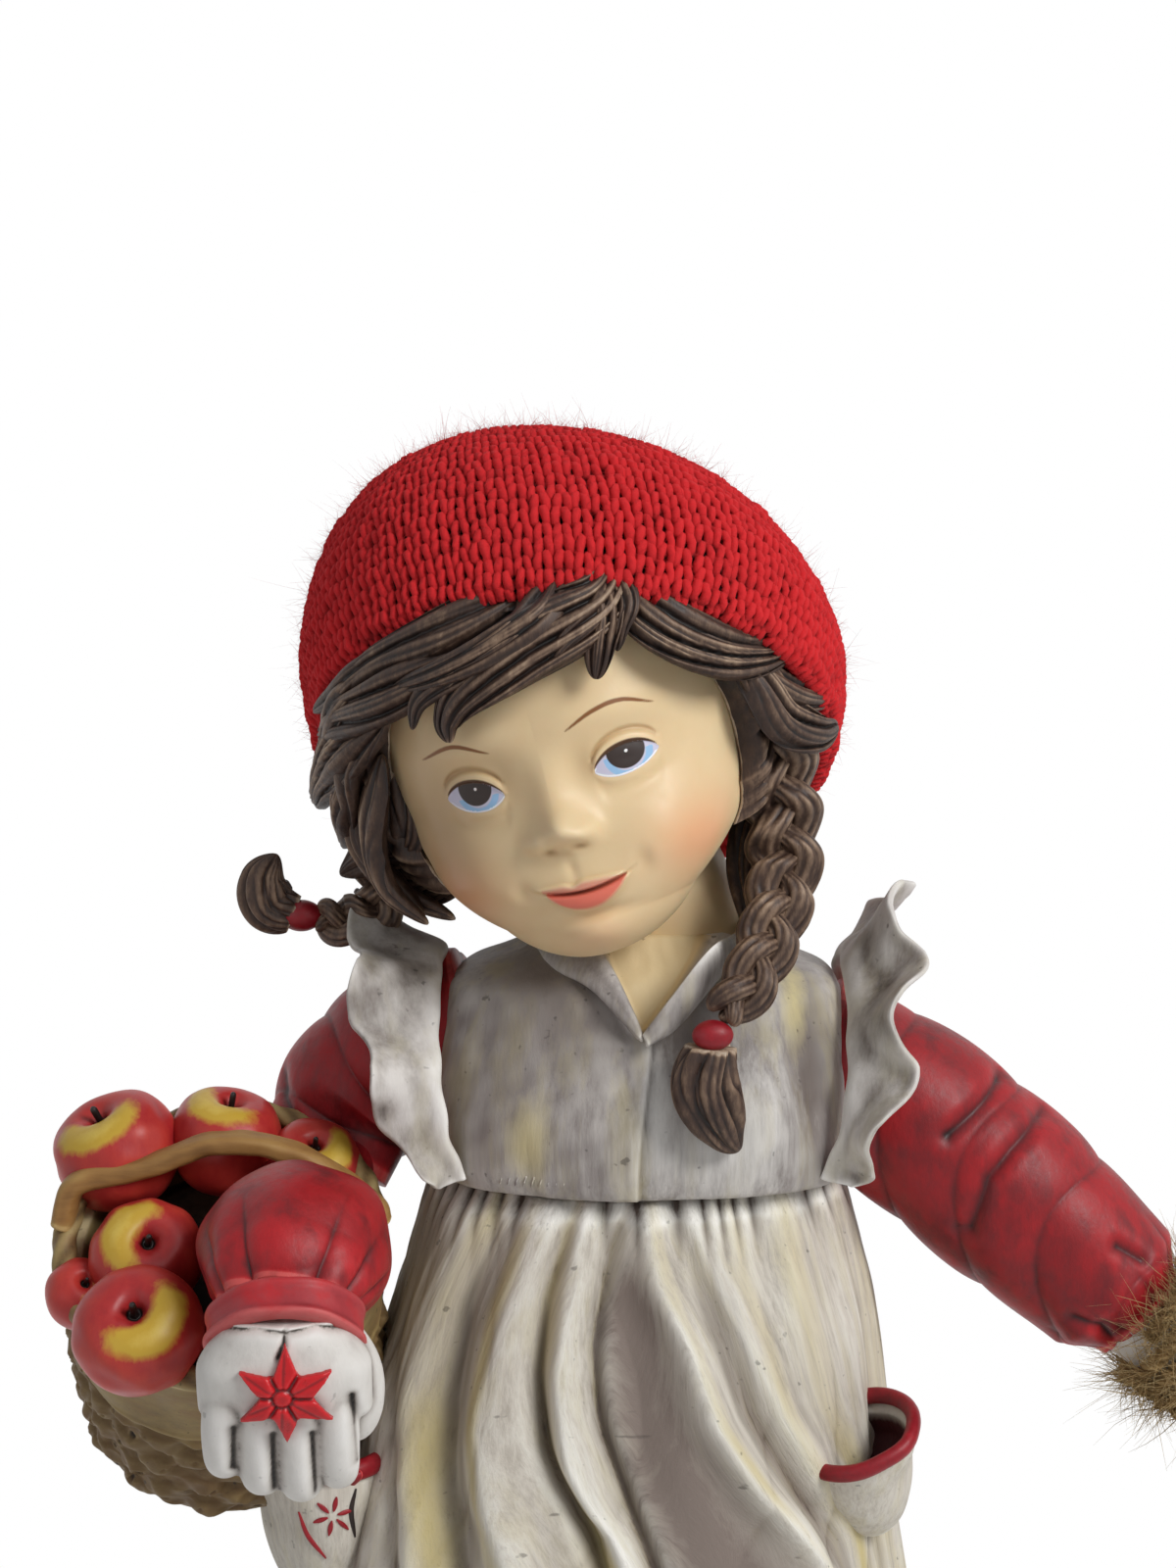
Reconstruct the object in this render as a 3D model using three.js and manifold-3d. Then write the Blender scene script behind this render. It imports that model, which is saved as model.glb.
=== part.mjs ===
// A cast and painted resin girl in a pinafore, with a basket of apples on one arm, a jute binding
// on the other wrist and a real knitted cap. Millimetres, +Z up, the girl faces -Y, and the origin
// is the centre of the felt under her plinth. Her own right side is at -X.
import * as THREE from "three";
import { mergeVertices } from "three/addons/utils/BufferGeometryUtils.js";
import Module from "manifold-3d";

const wasm = await Module();
wasm.setup();

// Driving sizes: the stack from the shelf up
const FELT_THICK = 1.2;
const PLINTH_HIGH = 11.3;
const PLINTH_WIDE = 108;
const PLINTH_DEEP = 88;
const FELT_INSET = 4;
const LEG_SHOWN = 58; // plinth to the hem of the dress
const BOOT_HIGH = 33;
const BOOT_LONG = 37;
const LEG_THICK = 15;
const PIN_THICK = 3;
const STANCE = 27; // between the two legs
const DRESS_SHOWN = 9; // dress that shows below the pinafore
const SKIRT_HIGH = 118;
const SKIRT_WALL = 7;
const WAIST_WIDE = 57;
const WAIST_DEEP = 42;
const BAND_HIGH = 3;
const BODICE_HIGH = 34;
const NECK_THICK = 19;
const HEAD_WIDE = 51;
const HEAD_HIGH = 61;
const HAIR_THICK = 3;
const KNIT_THICK = 4.2;
const HAIR_ROOM = 12.75; // from the side of the skull to the outside of the cap
const CAP_WIDE = HEAD_WIDE + 2 * HAIR_ROOM;
const CAP_HIGH = 37; // square to its brim
const SLEEVE_THICK = 25;
const WRIST_THICK = 12.8;
const PEG_THICK = 9;
const PEG_LONG = 8;
const TWINE_THICK = 2.3;
const TWINE_TURNS = 4;
const APPLE_THICK = 15.4;
const BASKET_WIDE = 43;
const BASKET_DEEP = 36;
const BASKET_WALL = 2;
const BASKET_FILL = 9; // how far down the tub is hollow, under the apples
const HANDLE_WIDE = 4.8;
const HANDLE_THICK = 3;
const GAP = 0.32; // glue line between neighbouring castings

// Poses of the girl
const HEAD_TILT = -15.5; // towards her right shoulder
const HEAD_TURN = -8;
const BASKET_TIP = 40; // its open top leans to the front

const DEG = Math.PI / 180;
const RING = 2 * Math.PI;
const UP = new THREE.Vector3(0, 0, 1);

// Heights that follow from the stack
const SOLE_Z = FELT_THICK + PLINTH_HIGH;
const HEM_Z = SOLE_Z + LEG_SHOWN;
const APRON_Z = HEM_Z + DRESS_SHOWN;
const WAIST_Z = APRON_Z + SKIRT_HIGH;

// Finishes
const paint = (color, roughness) => new THREE.MeshStandardMaterial({ color, roughness, metalness: 0 });
const skin = paint("#dcc7a0", 0.42);
const hairPaint = paint("#3d2f2a", 0.55);
const wool = paint("#b3151b", 1);
const cream = paint("#b9b2a8", 0.6);
const redPaint = paint("#a3171d", 0.45);
const redTrim = paint("#8c1220", 0.45);
const gloveWhite = paint("#c4bdb4", 0.6);
const appleSkin = paint("#a82a22", 0.35);
const cane = paint("#8d6a38", 0.6);
const jute = paint("#a08355", 0.95);
const stocking = paint("#a8a29a", 0.7);
const bootBrown = paint("#4a3226", 0.5);
const snow = paint("#d8d6d0", 0.7);
const felt = paint("#3f4a3a", 1);
const steel = new THREE.MeshStandardMaterial({ color: "#9a9a9a", roughness: 0.35, metalness: 1 });

// The assembly's frames
const figure = new THREE.Group();
const upper = new THREE.Group(); // everything above the waist seam
upper.position.set(0, 0, WAIST_Z);
const head = new THREE.Group();
head.position.set(-9.6, -2, BODICE_HIGH + 0.472 * HEAD_HIGH);
head.quaternion
  .setFromAxisAngle(new THREE.Vector3(0, 1, 0), HEAD_TILT * DEG)
  .multiply(new THREE.Quaternion().setFromAxisAngle(UP, HEAD_TURN * DEG));
const basket = new THREE.Group();
basket.position.set(-0.5 * WAIST_WIDE - 0.63 * BASKET_WIDE, -20, -6.5);
basket.rotation.x = BASKET_TIP * DEG;
figure.add(upper);
upper.add(head, basket);
figure.updateMatrixWorld(true);

// Small shaping functions
const clamp = (x) => Math.min(1, Math.max(0, x));
const ease = (a, b, x) => {
  const t = clamp((x - a) / (b - a));
  return t * t * (3 - 2 * t);
};
const hump = (x, middle, reach) => Math.exp(-(((x - middle) / reach) ** 2));
const vector = (p) => new THREE.Vector3(...p);

// A smooth curve through stations of three numbers each, read from 0 to 1.
function through(stations) {
  const curve = new THREE.CatmullRomCurve3(stations.map(vector), false, "catmullrom", 0.5);
  return (t) => curve.getPoint(t);
}

// A closed skin: place(u, v) is a point for u, an angle once round, and v from end to end.
function wrap(rounds, steps, place) {
  const points = [];
  for (let j = 0; j <= steps; j++) {
    for (let i = 0; i < rounds; i++) points.push(place((i / rounds) * RING, j / steps));
  }
  const faces = [];
  for (let j = 0; j < steps; j++) {
    for (let i = 0; i < rounds; i++) {
      const a = j * rounds + i;
      const b = j * rounds + ((i + 1) % rounds);
      faces.push(a, b, b + rounds, a, b + rounds, a + rounds);
    }
  }
  for (const [first, turn] of [[0, true], [steps * rounds, false]]) {
    const middle = new THREE.Vector3();
    for (let i = 0; i < rounds; i++) middle.addScaledVector(points[first + i], 1 / rounds);
    const tip = points.push(middle) - 1;
    for (let i = 0; i < rounds; i++) {
      const a = first + i;
      const b = first + ((i + 1) % rounds);
      faces.push(...(turn ? [b, a, tip] : [a, b, tip]));
    }
  }
  const made = new THREE.BufferGeometry().setFromPoints(points);
  made.setIndex(faces);
  return made;
}

// The same geometry with its faces pointing out.
function outward(geometry) {
  const at = geometry.attributes.position;
  const index = geometry.index.array;
  const [a, b, c] = [new THREE.Vector3(), new THREE.Vector3(), new THREE.Vector3()];
  let volume = 0;
  for (let i = 0; i < index.length; i += 3) {
    a.fromBufferAttribute(at, index[i]);
    b.fromBufferAttribute(at, index[i + 1]);
    c.fromBufferAttribute(at, index[i + 2]);
    volume += a.dot(b.cross(c));
  }
  if (volume < 0) {
    for (let i = 0; i < index.length; i += 3) [index[i + 1], index[i + 2]] = [index[i + 2], index[i + 1]];
  }
  return geometry;
}

// A bar swept along a smooth line. out(place) is the way its upper side faces, and section(u, v)
// gives the offset to the side and outwards.
function sweep({ line, out = () => UP, rounds = 8, steps = 10, section }) {
  const curve = new THREE.CatmullRomCurve3(line.map(vector), false, "catmullrom", 0.5);
  const frames = [];
  for (let j = 0; j <= steps; j++) {
    const at = curve.getPointAt(j / steps);
    const along = curve.getTangentAt(j / steps);
    const side = new THREE.Vector3().crossVectors(along, out(at)).normalize();
    frames.push({ at, side, rise: new THREE.Vector3().crossVectors(side, along) });
  }
  return wrap(rounds, steps, (u, v) => {
    const { at, side, rise } = frames[Math.round(v * steps)];
    const [x, y] = section(u, v);
    return at.clone().addScaledVector(side, x).addScaledVector(rise, y);
  });
}

// Solids, all in the figure's own frame
function solidOf(geometry, group = figure) {
  const bare = geometry.index ? geometry.toNonIndexed() : geometry.clone();
  for (const name of Object.keys(bare.attributes)) if (name !== "position") bare.deleteAttribute(name);
  const merged = outward(mergeVertices(bare.applyMatrix4(group.matrixWorld), 1e-3));
  const faces = [];
  for (let i = 0; i < merged.index.count; i += 3) {
    const [a, b, c] = merged.index.array.slice(i, i + 3);
    if (a !== b && b !== c && c !== a) faces.push(a, b, c);
  }
  return new wasm.Manifold(
    new wasm.Mesh({
      numProp: 3,
      vertProperties: merged.attributes.position.array,
      triVerts: new Uint32Array(faces),
    }),
  );
}

function geometryOf(solid) {
  const { vertProperties, triVerts, numProp, numVert } = solid.getMesh();
  const places = new Float32Array(3 * numVert);
  for (let i = 0; i < numVert; i++) {
    places.set(vertProperties.subarray(i * numProp, i * numProp + 3), 3 * i);
  }
  const made = new THREE.BufferGeometry().setAttribute("position", new THREE.BufferAttribute(places, 3));
  made.setIndex(new THREE.BufferAttribute(new Uint32Array(triVerts), 1));
  return made;
}

// The solid with every face moved out by a gap, for cutting its neighbours. Where faces meet at a
// sharp edge the corner moves further, so that each face still clears by the gap.
function swollen(solid, gap = GAP) {
  const geometry = geometryOf(solid);
  geometry.computeVertexNormals();
  const { position, normal } = geometry.attributes;
  const reach = new Float32Array(position.count).fill(1);
  const corners = [0, 1, 2].map(() => new THREE.Vector3());
  const flat = new THREE.Vector3();
  const rounded = new THREE.Vector3();
  for (let i = 0; i < geometry.index.count; i += 3) {
    corners.forEach((c, k) => c.fromBufferAttribute(position, geometry.index.getX(i + k)));
    new THREE.Triangle(...corners).getNormal(flat);
    for (let k = 0; k < 3; k++) {
      const at = geometry.index.getX(i + k);
      rounded.fromBufferAttribute(normal, at);
      reach[at] = Math.min(reach[at], Math.max(0.45, flat.dot(rounded)));
    }
  }
  for (let i = 0; i < position.count; i++) {
    const far = gap / reach[i];
    position.setXYZ(
      i,
      position.getX(i) + far * normal.getX(i),
      position.getY(i) + far * normal.getY(i),
      position.getZ(i) + far * normal.getZ(i),
    );
  }
  return solidOf(geometry);
}

const join = (...solids) => solids.reduce((a, b) => a.add(b));
const cut = (solid, ...tools) => tools.reduce((a, b) => a.subtract(b), solid);
const touches = (a, b) => a.intersect(b).volume() > 1e-3;
const clear = (solid, ...neighbours) => {
  const room = neighbours.map((n) => swollen(n)).filter((n) => touches(solid, n));
  const freed = biggest(cut(solid, ...room));
  return biggest(cut(freed, ...neighbours.filter((n) => touches(freed, n))), 0);
};
const biggest = (solid, fine = 0.1) =>
  solid.decompose().reduce((a, b) => (b.volume() > a.volume() ? b : a)).simplify(fine);

const made = new Map();
function put(name, solid, material, group = figure) {
  solid = biggest(solidOf(geometryOf(solid)), 0);
  const local = geometryOf(solid).applyMatrix4(group.matrixWorld.clone().invert());
  local.computeVertexNormals();
  const mesh = new THREE.Mesh(local, material);
  mesh.name = name;
  group.add(mesh);
  made.set(name, solid);
  return solid;
}

// A round bar from one height to another.
function bar(thick, low, high, x, y, group = figure) {
  const shape = new THREE.CylinderGeometry(thick / 2, thick / 2, high - low, 14);
  return solidOf(shape.rotateX(Math.PI / 2).translate(x, y, (low + high) / 2), group);
}

// An oval that is boxier than an ellipse: the point at angle u for half widths a and b.
function oval(u, a, b, power = 2.4) {
  const r = (Math.abs(Math.cos(u)) ** power + Math.abs(Math.sin(u)) ** power) ** (-1 / power);
  return [a * r * Math.cos(u), b * r * Math.sin(u)];
}

// Plinth: an oval block with a snow-like dished edge, and the felt glued under it
function plinthSolid() {
  const profile = through([
    [0.96, 0, 0],
    [1, 0.1, 0],
    [1, 0.7, 0],
    [0.97, 0.92, 0],
    [0.9, 1, 0],
  ]);
  return solidOf(
    wrap(20, 5, (u, v) => {
      const { x: wide, y: high } = profile(v);
      const drift = 1 + 0.018 * Math.sin(3 * u + 0.6) + 0.012 * Math.sin(5 * u);
      const [x, y] = oval(u, (PLINTH_WIDE / 2) * wide * drift, (PLINTH_DEEP / 2) * wide * drift);
      return new THREE.Vector3(x, y, FELT_THICK + PLINTH_HIGH * high);
    }),
  );
}

const legs = [
  { side: "right", x: -STANCE / 2, y: -3, turn: -12 },
  { side: "left", x: STANCE / 2, y: 4, turn: 14 },
];
const pinTop = HEM_Z + 26;
const pins = legs.map(({ x, y }) => bar(PIN_THICK, FELT_THICK + 3, pinTop, x, y));
const pinHoles = pins.map((pin) => swollen(pin));

const feltShape = new THREE.Shape().absellipse(
  0, 0, PLINTH_WIDE / 2 - FELT_INSET, PLINTH_DEEP / 2 - FELT_INSET, 0, RING, false, 0,
);
const feltBody = new THREE.ExtrudeGeometry(feltShape, { depth: FELT_THICK, bevelEnabled: false, curveSegments: 14 });
put("felt_pad", solidOf(feltBody), felt);
put("plinth", cut(plinthSolid(), ...pinHoles), snow);

// Boots: an upright shaft, a foot with a rounded toe, and a thicker sole line
function bootSolid(x, y, turn) {
  const frame = new THREE.Group();
  frame.position.set(x, y, SOLE_Z);
  frame.rotation.z = turn * DEG;
  frame.updateMatrixWorld(true);
  const shaftWide = LEG_THICK / 2 + 2.6;
  const shaft = wrap(11, 5, (u, v) => {
    const fold = 0.7 * Math.sin(RING * 2.2 * v + Math.sin(u));
    const lip = 1.4 * hump(v, 0.94, 0.08);
    const wide = shaftWide - 1.2 * hump(v, 0.4, 0.3) + fold * hump(v, 0.45, 0.3) + lip;
    return new THREE.Vector3(wide * Math.cos(u), 1.05 * wide * Math.sin(u), 0.4 + (BOOT_HIGH - 0.4) * v);
  });
  const heel = shaftWide + 1.5;
  const foot = wrap(11, 5, (u, v) => {
    const along = heel - BOOT_LONG * v;
    const wide = (8 + 2.2 * hump(v, 0.72, 0.25)) * Math.sqrt(1 - Math.abs(2 * v - 1) ** 3.4 + 0.02);
    const high = 15.5 - 6.5 * ease(0.35, 0.75, v);
    const top = high * Math.sqrt(1 - Math.abs(2 * v - 1) ** 5 + 0.02);
    const [side, rise] = oval(u, wide, top / 2, 2.8);
    return new THREE.Vector3(side, along, Math.max(0, rise + top / 2));
  });
  const outline = new THREE.Shape().absellipse(0, 0, 11, BOOT_LONG / 2 + 0.6, 0, RING, false, 0);
  const sole = new THREE.ExtrudeGeometry(outline, { depth: 3, bevelEnabled: false, curveSegments: 8 });
  sole.translate(0, heel - BOOT_LONG / 2, 0);
  return join(solidOf(shaft, frame), solidOf(foot, frame), solidOf(sole, frame));
}

function stockingSolid(x, y) {
  const low = SOLE_Z + 0.35 * BOOT_HIGH;
  const high = HEM_Z + 20;
  return solidOf(
    wrap(14, 6, (u, v) => {
      const wide = LEG_THICK / 2 - 1 + 1 * ease(0.2, 0.9, v);
      return new THREE.Vector3(x + wide * Math.cos(u), y + wide * Math.sin(u), low + (high - low) * v);
    }),
  );
}

const stockings = legs.map(({ x, y }) => stockingSolid(x, y));
legs.forEach(({ side, x, y, turn }, i) => {
  put(`${side}_leg_pin`, pins[i], steel);
  put(`${side}_stocking`, biggest(cut(stockings[i], pinHoles[i])), stocking);
  const boot = cut(bootSolid(x, y, turn), pinHoles[i], swollen(stockings[i]));
  put(`${side}_boot`, biggest(boot), bootBrown);
});

// Skirt: the outline of the pinafore's skirt at height v, 0 at the waist and 1 at its hem.
// Stations are the half width at her right, at her left, and the half depth.
const skirtRight = through([[WAIST_WIDE / 2, 0, 0], [35, 0, 0], [43, 0, 0], [51, 0, 0], [55, 0, 0], [57, 0, 0]]);
const skirtLeft = through([[WAIST_WIDE / 2, 0, 0], [34, 0, 0], [35.5, 0, 0], [38, 0, 0], [45, 0, 0], [50, 0, 0]]);
const skirtDeep = through([[WAIST_DEEP / 2, 0, 0], [27, 0, 0], [31, 0, 0], [35, 0, 0], [38, 0, 0], [40, 0, 0]]);
const FOLDS = 14;

// The folds that show in front: x at drops of 0, 30, 49 and 118 mm below the waist, then the fold's
// half width and how far it stands out, or lies in where that is below zero.
const frontFolds = [
  { at: [-20, -30.5, -29.5, -26], wide: 3, high: 2.1 },
  { at: [-17.3, -25, -23.7, -19], wide: 2.1, high: -2.1 },
  { at: [-11.3, -19.5, -15.4, -6], wide: 3.4, high: 2.8 },
  { at: [-8.1, -12.6, -4.2, 8], wide: 1.7, high: -2.3 },
  { at: [-6.8, -9.4, -0.8, 13], wide: 2, high: 1.9 },
  { at: [-1.5, -4.8, 2.2, 18], wide: 1.5, high: -2 },
  { at: [0.1, 10.2, 23.2, 35], wide: 2.6, high: 3 },
];
const FOLD_DROPS = [0, 30, 49, 118];

function frontOut(x, drop) {
  let out = 0;
  for (const { at, wide, high } of frontFolds) {
    const k = drop < FOLD_DROPS[1] ? 0 : drop < FOLD_DROPS[2] ? 1 : 2;
    const share = (drop - FOLD_DROPS[k]) / (FOLD_DROPS[k + 1] - FOLD_DROPS[k]);
    const middle = at[k] + (at[k + 1] - at[k]) * share;
    out += high * Math.exp(-(Math.abs((x - middle) / wide) ** 1.7));
  }
  return out;
}

// How far a fold stands out at angle u and height v: round ridges with sharp valleys, which sway.
function foldOut(u, v) {
  const sway = 0.3 * Math.sin(Math.PI * Math.min(1, v / 0.5)) * hump(u, -Math.PI / 2, 1) - 0.25 * v * v;
  const across = u + 0.1 * Math.sin(3 * u + 1) - sway;
  const ridge = Math.abs(Math.sin((FOLDS / 2) * across)) ** 0.75;
  const big = Math.sin(3 * across + 0.7);
  return (0.9 + 3.3 * ease(0, 0.75, v)) * (ridge - 0.6) + 1.6 * v * big;
}

function skirtPoint(u, v, grow, folded) {
  const half = Math.cos(u) < 0 ? skirtRight(v).x : skirtLeft(v).x;
  const out = grow + folded * foldOut(u > Math.PI ? u - RING : u, v);
  const [x, y] = oval(u, half + out, skirtDeep(v).x + out, 2.1);
  return [x, y];
}

// Columns gather at the front, where the pleats are finest.
const skirtBody = wrap(66, 8, (w, v) => {
  const u = w - 0.42 * Math.cos(w);
  const facing = ease(0.1, 0.55, -Math.sin(u));
  const roll = 1.2 * hump(v, 1, 0.03);
  const [bare] = skirtPoint(u, v, 0, 0);
  const drop = SKIRT_HIGH * v;
  const pleat = facing * frontOut(bare, drop) * (0.55 + 0.45 * ease(0, 0.25, v));
  const [x, y] = skirtPoint(u, v, roll + pleat, 1 - 0.65 * facing);
  return new THREE.Vector3(x, y, WAIST_Z - drop);
});
const skirtSolid = solidOf(skirtBody);

// Dress: a plainer skirt whose hem shows under the pinafore, plugged up into it
function dressSolid() {
  const plug = 16;
  const outer = wrap(22, 3, (u, v) => {
    const below = v * (DRESS_SHOWN + plug);
    const at = 1 - (plug - below) / SKIRT_HIGH;
    const wave = 1.1 * Math.sin(11 * u) * ease(0.4, 1, v);
    const [x, y] = skirtPoint(u, Math.min(1, at), -SKIRT_WALL + 2.5 * ease(0.6, 1, v) + wave, 0.25);
    return new THREE.Vector3(x, y, APRON_Z + plug - below);
  });
  return solidOf(outer);
}
const socketTools = [...stockings.map((s) => swollen(s)), ...pinHoles];
const dress = put("dress_hem", biggest(cut(dressSolid(), ...socketTools)), cream);

// Side pockets: a rounded pouch on each hip, its mouth standing open under a red binding
function pocketPieces({ sign, drop, inset, y, turn, lean, wide, high }) {
  const z = WAIST_Z - drop;
  const v = (WAIST_Z - z) / SKIRT_HIGH;
  const half = (sign < 0 ? skirtRight(v).x : skirtLeft(v).x) + 0.5;
  const frame = new THREE.Group();
  frame.position.set(sign * (half - inset), y, z);
  frame.rotation.set(lean * DEG, 0, turn * DEG, "ZYX");
  frame.updateMatrixWorld(true);
  const pouch = wrap(12, 6, (u, w) => {
    const round = Math.sqrt(1 - (0.92 * (1 - w)) ** 2.4);
    const deep = 8 * round + 1.5 * ease(0.6, 1, w);
    return new THREE.Vector3(deep * Math.cos(u), (wide / 2) * round * Math.sin(u), high * (w - 0.5));
  });
  const mouth = wrap(12, 1, (u, w) => {
    const deep = 7 + 0.5 * w;
    return new THREE.Vector3(deep * Math.cos(u), (wide / 2 - 2) * Math.sin(u), high * 0.5 - 6 + 8 * w);
  });
  const edge = wrap(14, 2, (u, w) => {
    const deep = 9.9 + 0.6 * hump(w, 0.5, 0.4);
    const side = wide / 2 + 0.4 + 0.6 * hump(w, 0.5, 0.4);
    return new THREE.Vector3(deep * Math.cos(u), side * Math.sin(u), high / 2 + GAP + 2.6 * w);
  });
  const bore = wrap(14, 1, (u, w) => {
    return new THREE.Vector3(7.5 * Math.cos(u), (wide / 2 - 2) * Math.sin(u), high / 2 - 1 + 6 * w);
  });
  return {
    pouch: cut(solidOf(pouch, frame), solidOf(mouth, frame)),
    binding: cut(solidOf(edge, frame), solidOf(bore, frame)),
  };
}
const skirt = put("pinafore_skirt", biggest(cut(skirtSolid, swollen(dress), ...socketTools)), cream);
const pockets = [
  { side: "right", sign: -1, drop: 49, inset: 2, y: -10, turn: 24, lean: 0, wide: 22, high: 20 },
  { side: "left", sign: 1, drop: 40.5, inset: 5.5, y: -15, turn: -32, lean: 24, wide: 18, high: 16 },
];
for (const pocket of pockets) {
  const { side } = pocket;
  const { pouch, binding } = pocketPieces(pocket);
  put(`${side}_pocket`, clear(pouch, skirt), cream);
  put(`${side}_pocket_binding`, clear(binding, skirt), redTrim);
}

// Waistband: the seam the skirt is gathered to
const bandSolid = solidOf(
  wrap(30, 2, (u, v) => {
    const out = 0.5 * hump(v, 0.5, 0.4) - 1;
    const [x, y] = oval(u, WAIST_WIDE / 2 + out, WAIST_DEEP / 2 + out, 2.1);
    return new THREE.Vector3(x, y, BAND_HIGH * v);
  }),
  upper,
);

// Neck and its plug: from inside the skull down into the bodice, in the upper frame
const neckFoot = [2.5, 1, BODICE_HIGH - 13];
const neckRoot = [3, 1.5, BODICE_HIGH - 3];
const neckTop = head.localToWorld(new THREE.Vector3(0.5, 4, -0.3 * HEAD_HIGH)).sub(upper.position);
const neckBar = sweep({
  line: [neckFoot, neckRoot, neckTop.toArray()],
  out: () => new THREE.Vector3(0, -1, 0),
  rounds: 11,
  steps: 5,
  section: (u, v) => {
    const wide = NECK_THICK / 2 + 1.6 * hump(v, 0.42, 0.12) + 0.8 * hump(v, 1, 0.4);
    return [wide * Math.cos(u), 0.94 * wide * Math.sin(u)];
  },
});
const neckSolid = solidOf(neckBar, upper);

// Skull: rings from chin to crown. Stations are half width, front reach and back reach at even
// heights, as shares of the head's half width and half depth.
const SKULL_LOW = -0.487 * HEAD_HIGH;
const skullRings = through([
  [0.14, 0.76, -0.42],
  [0.49, 0.92, -0.08],
  [0.71, 0.98, 0.28],
  [0.85, 1.0, 0.66],
  [0.94, 1.0, 0.92],
  [0.995, 1.01, 1.04],
  [1.0, 1.01, 1.1],
  [0.99, 0.99, 1.1],
  [0.95, 0.93, 1.03],
  [0.83, 0.79, 0.87],
  [0.58, 0.52, 0.58],
  [0.06, 0.06, 0.06],
]);
const HEAD_DEEP = 1.04 * HEAD_WIDE;

// A point on the skull: angle a from the front, towards her left, height z, and a lift off the skin.
function onSkull(a, z, lift) {
  const rings = skullRings(clamp((z - SKULL_LOW) / HEAD_HIGH));
  const wide = (HEAD_WIDE / 2) * rings.x + lift;
  const front = (HEAD_DEEP / 2) * rings.y;
  const back = (HEAD_DEEP / 2) * rings.z;
  const middle = (back - front) / 2;
  const deep = (back + front) / 2 + lift;
  return new THREE.Vector3(wide * Math.sin(a), middle - deep * Math.cos(a), z);
}

// The face, as how far its skin stands forward at x and z
const EYE = { x: 10.2, z: -4.5 };
const NOSE_Z = -11.2;
const MOUTH_Z = -19.2;
function faceOut(x, z) {
  const m = Math.abs(x);
  const spot = (cx, cz, rx, rz) => hump(m, cx, rx) * hump(z, cz, rz);
  const smile = MOUTH_Z + 0.02 * x * x;
  return (
    -2.4 * spot(EYE.x, EYE.z + 0.4, 6, 3.9) +
    2.1 * spot(EYE.x, EYE.z, 3.9, 2.6) -
    0.5 * hump(m, EYE.x, 4.6) * hump(z, EYE.z + 3.2 - 0.05 * (m - EYE.x) ** 2, 0.7) +
    0.8 * spot(8.5, EYE.z + 7.5, 7, 2.8) +
    1.4 * spot(0, NOSE_Z + 5, 2.4, 3.8) +
    4.3 * spot(0, NOSE_Z, 2.9, 2.7) +
    1.9 * spot(3.3, NOSE_Z - 1, 1.8, 1.6) +
    1.6 * spot(14, -15.5, 6.5, 5.5) +
    1.2 * spot(0, MOUTH_Z, 7, 3.8) +
    1.1 * hump(m, 1.2, 4.6) * hump(z, smile + 1.2, 1) +
    1.5 * hump(m, 0, 4.4) * hump(z, smile - 1.5, 1.2) -
    1.5 * hump(m, 0, 6.8) * hump(z, smile, 0.6) -
    0.6 * spot(0, MOUTH_Z - 3.4, 5, 1.1) +
    1.4 * spot(0, MOUTH_Z - 6, 5, 2.4)
  );
}

// The skull's skin: columns gather at the front, where the face is, and rows below the brow.
function skullSkin(rounds, steps, lift, withFace) {
  return wrap(rounds, steps, (u, v) => {
    const spread = withFace ? 0.62 : 0;
    const a = u - Math.PI - spread * Math.sin(u - Math.PI);
    const z = SKULL_LOW + HEAD_HIGH * (v + (withFace ? 0.09 * Math.sin(RING * v) : 0));
    const at = onSkull(a, z, lift);
    if (withFace && Math.cos(a) > 0) at.y -= faceOut(at.x, z) * ease(0.1, 0.5, Math.cos(a));
    return at;
  });
}

function earSolid(side) {
  const ear = wrap(7, 4, (u, v) => {
    const round = Math.sqrt(1 - Math.abs(2 * v - 1) ** 2.4 + 0.02);
    return new THREE.Vector3(1.7 * round * Math.cos(u), 3.6 * round * Math.sin(u), 10 * (v - 0.5));
  });
  ear.rotateZ(side * 24 * DEG).translate(side * (HEAD_WIDE / 2 - 0.3), 3.2, -6);
  return solidOf(ear, head);
}
const skull = solidOf(skullSkin(32, 24, 0, true), head);
const headSolid = join(skull, neckSolid, earSolid(-1), earSolid(1));

// Bodice: blouses over the waistband, narrows to the shoulders and closes round the neck
const bodiceRings = through([
  [0.92, 0.92, BAND_HIGH + GAP],
  [1.03, 1.08, BAND_HIGH + 2.5],
  [1.05, 1.12, BAND_HIGH + 6],
  [1.03, 1.06, BAND_HIGH + 12],
  [1.0, 0.97, BAND_HIGH + 18],
  [0.92, 0.86, BAND_HIGH + 24],
  [0.64, 0.7, BODICE_HIGH - 3.5],
  [0.4, 0.54, BODICE_HIGH - 0.5],
]);
const bodiceSkin = wrap(26, 9, (u, v) => {
  const { x: wide, y: deep, z } = bodiceRings(v);
  const front = hump(u, 1.5 * Math.PI, 0.5);
  const crease = 0.3 * Math.sin(9 * u) * hump(v, 0.1, 0.15);
  const lap = 0.5 * ease(1.5 * Math.PI + 0.03, 1.5 * Math.PI - 0.03, u) * front * ease(0.9, 0.6, v);
  const [x, y] = oval(u, (WAIST_WIDE / 2) * wide + crease + lap, (WAIST_DEEP / 2) * deep + crease + lap, 2.5);
  return new THREE.Vector3(x + 0.8, y, z);
});
const vNeck = new THREE.Shape([
  new THREE.Vector2(0, BODICE_HIGH - 10),
  new THREE.Vector2(9.5, BODICE_HIGH + 4),
  new THREE.Vector2(-8.5, BODICE_HIGH + 4),
]);
const vTool = new THREE.ExtrudeGeometry(vNeck, { depth: 30, bevelEnabled: false });
vTool.rotateX(Math.PI / 2).translate(0.8, -5, 0);

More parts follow.
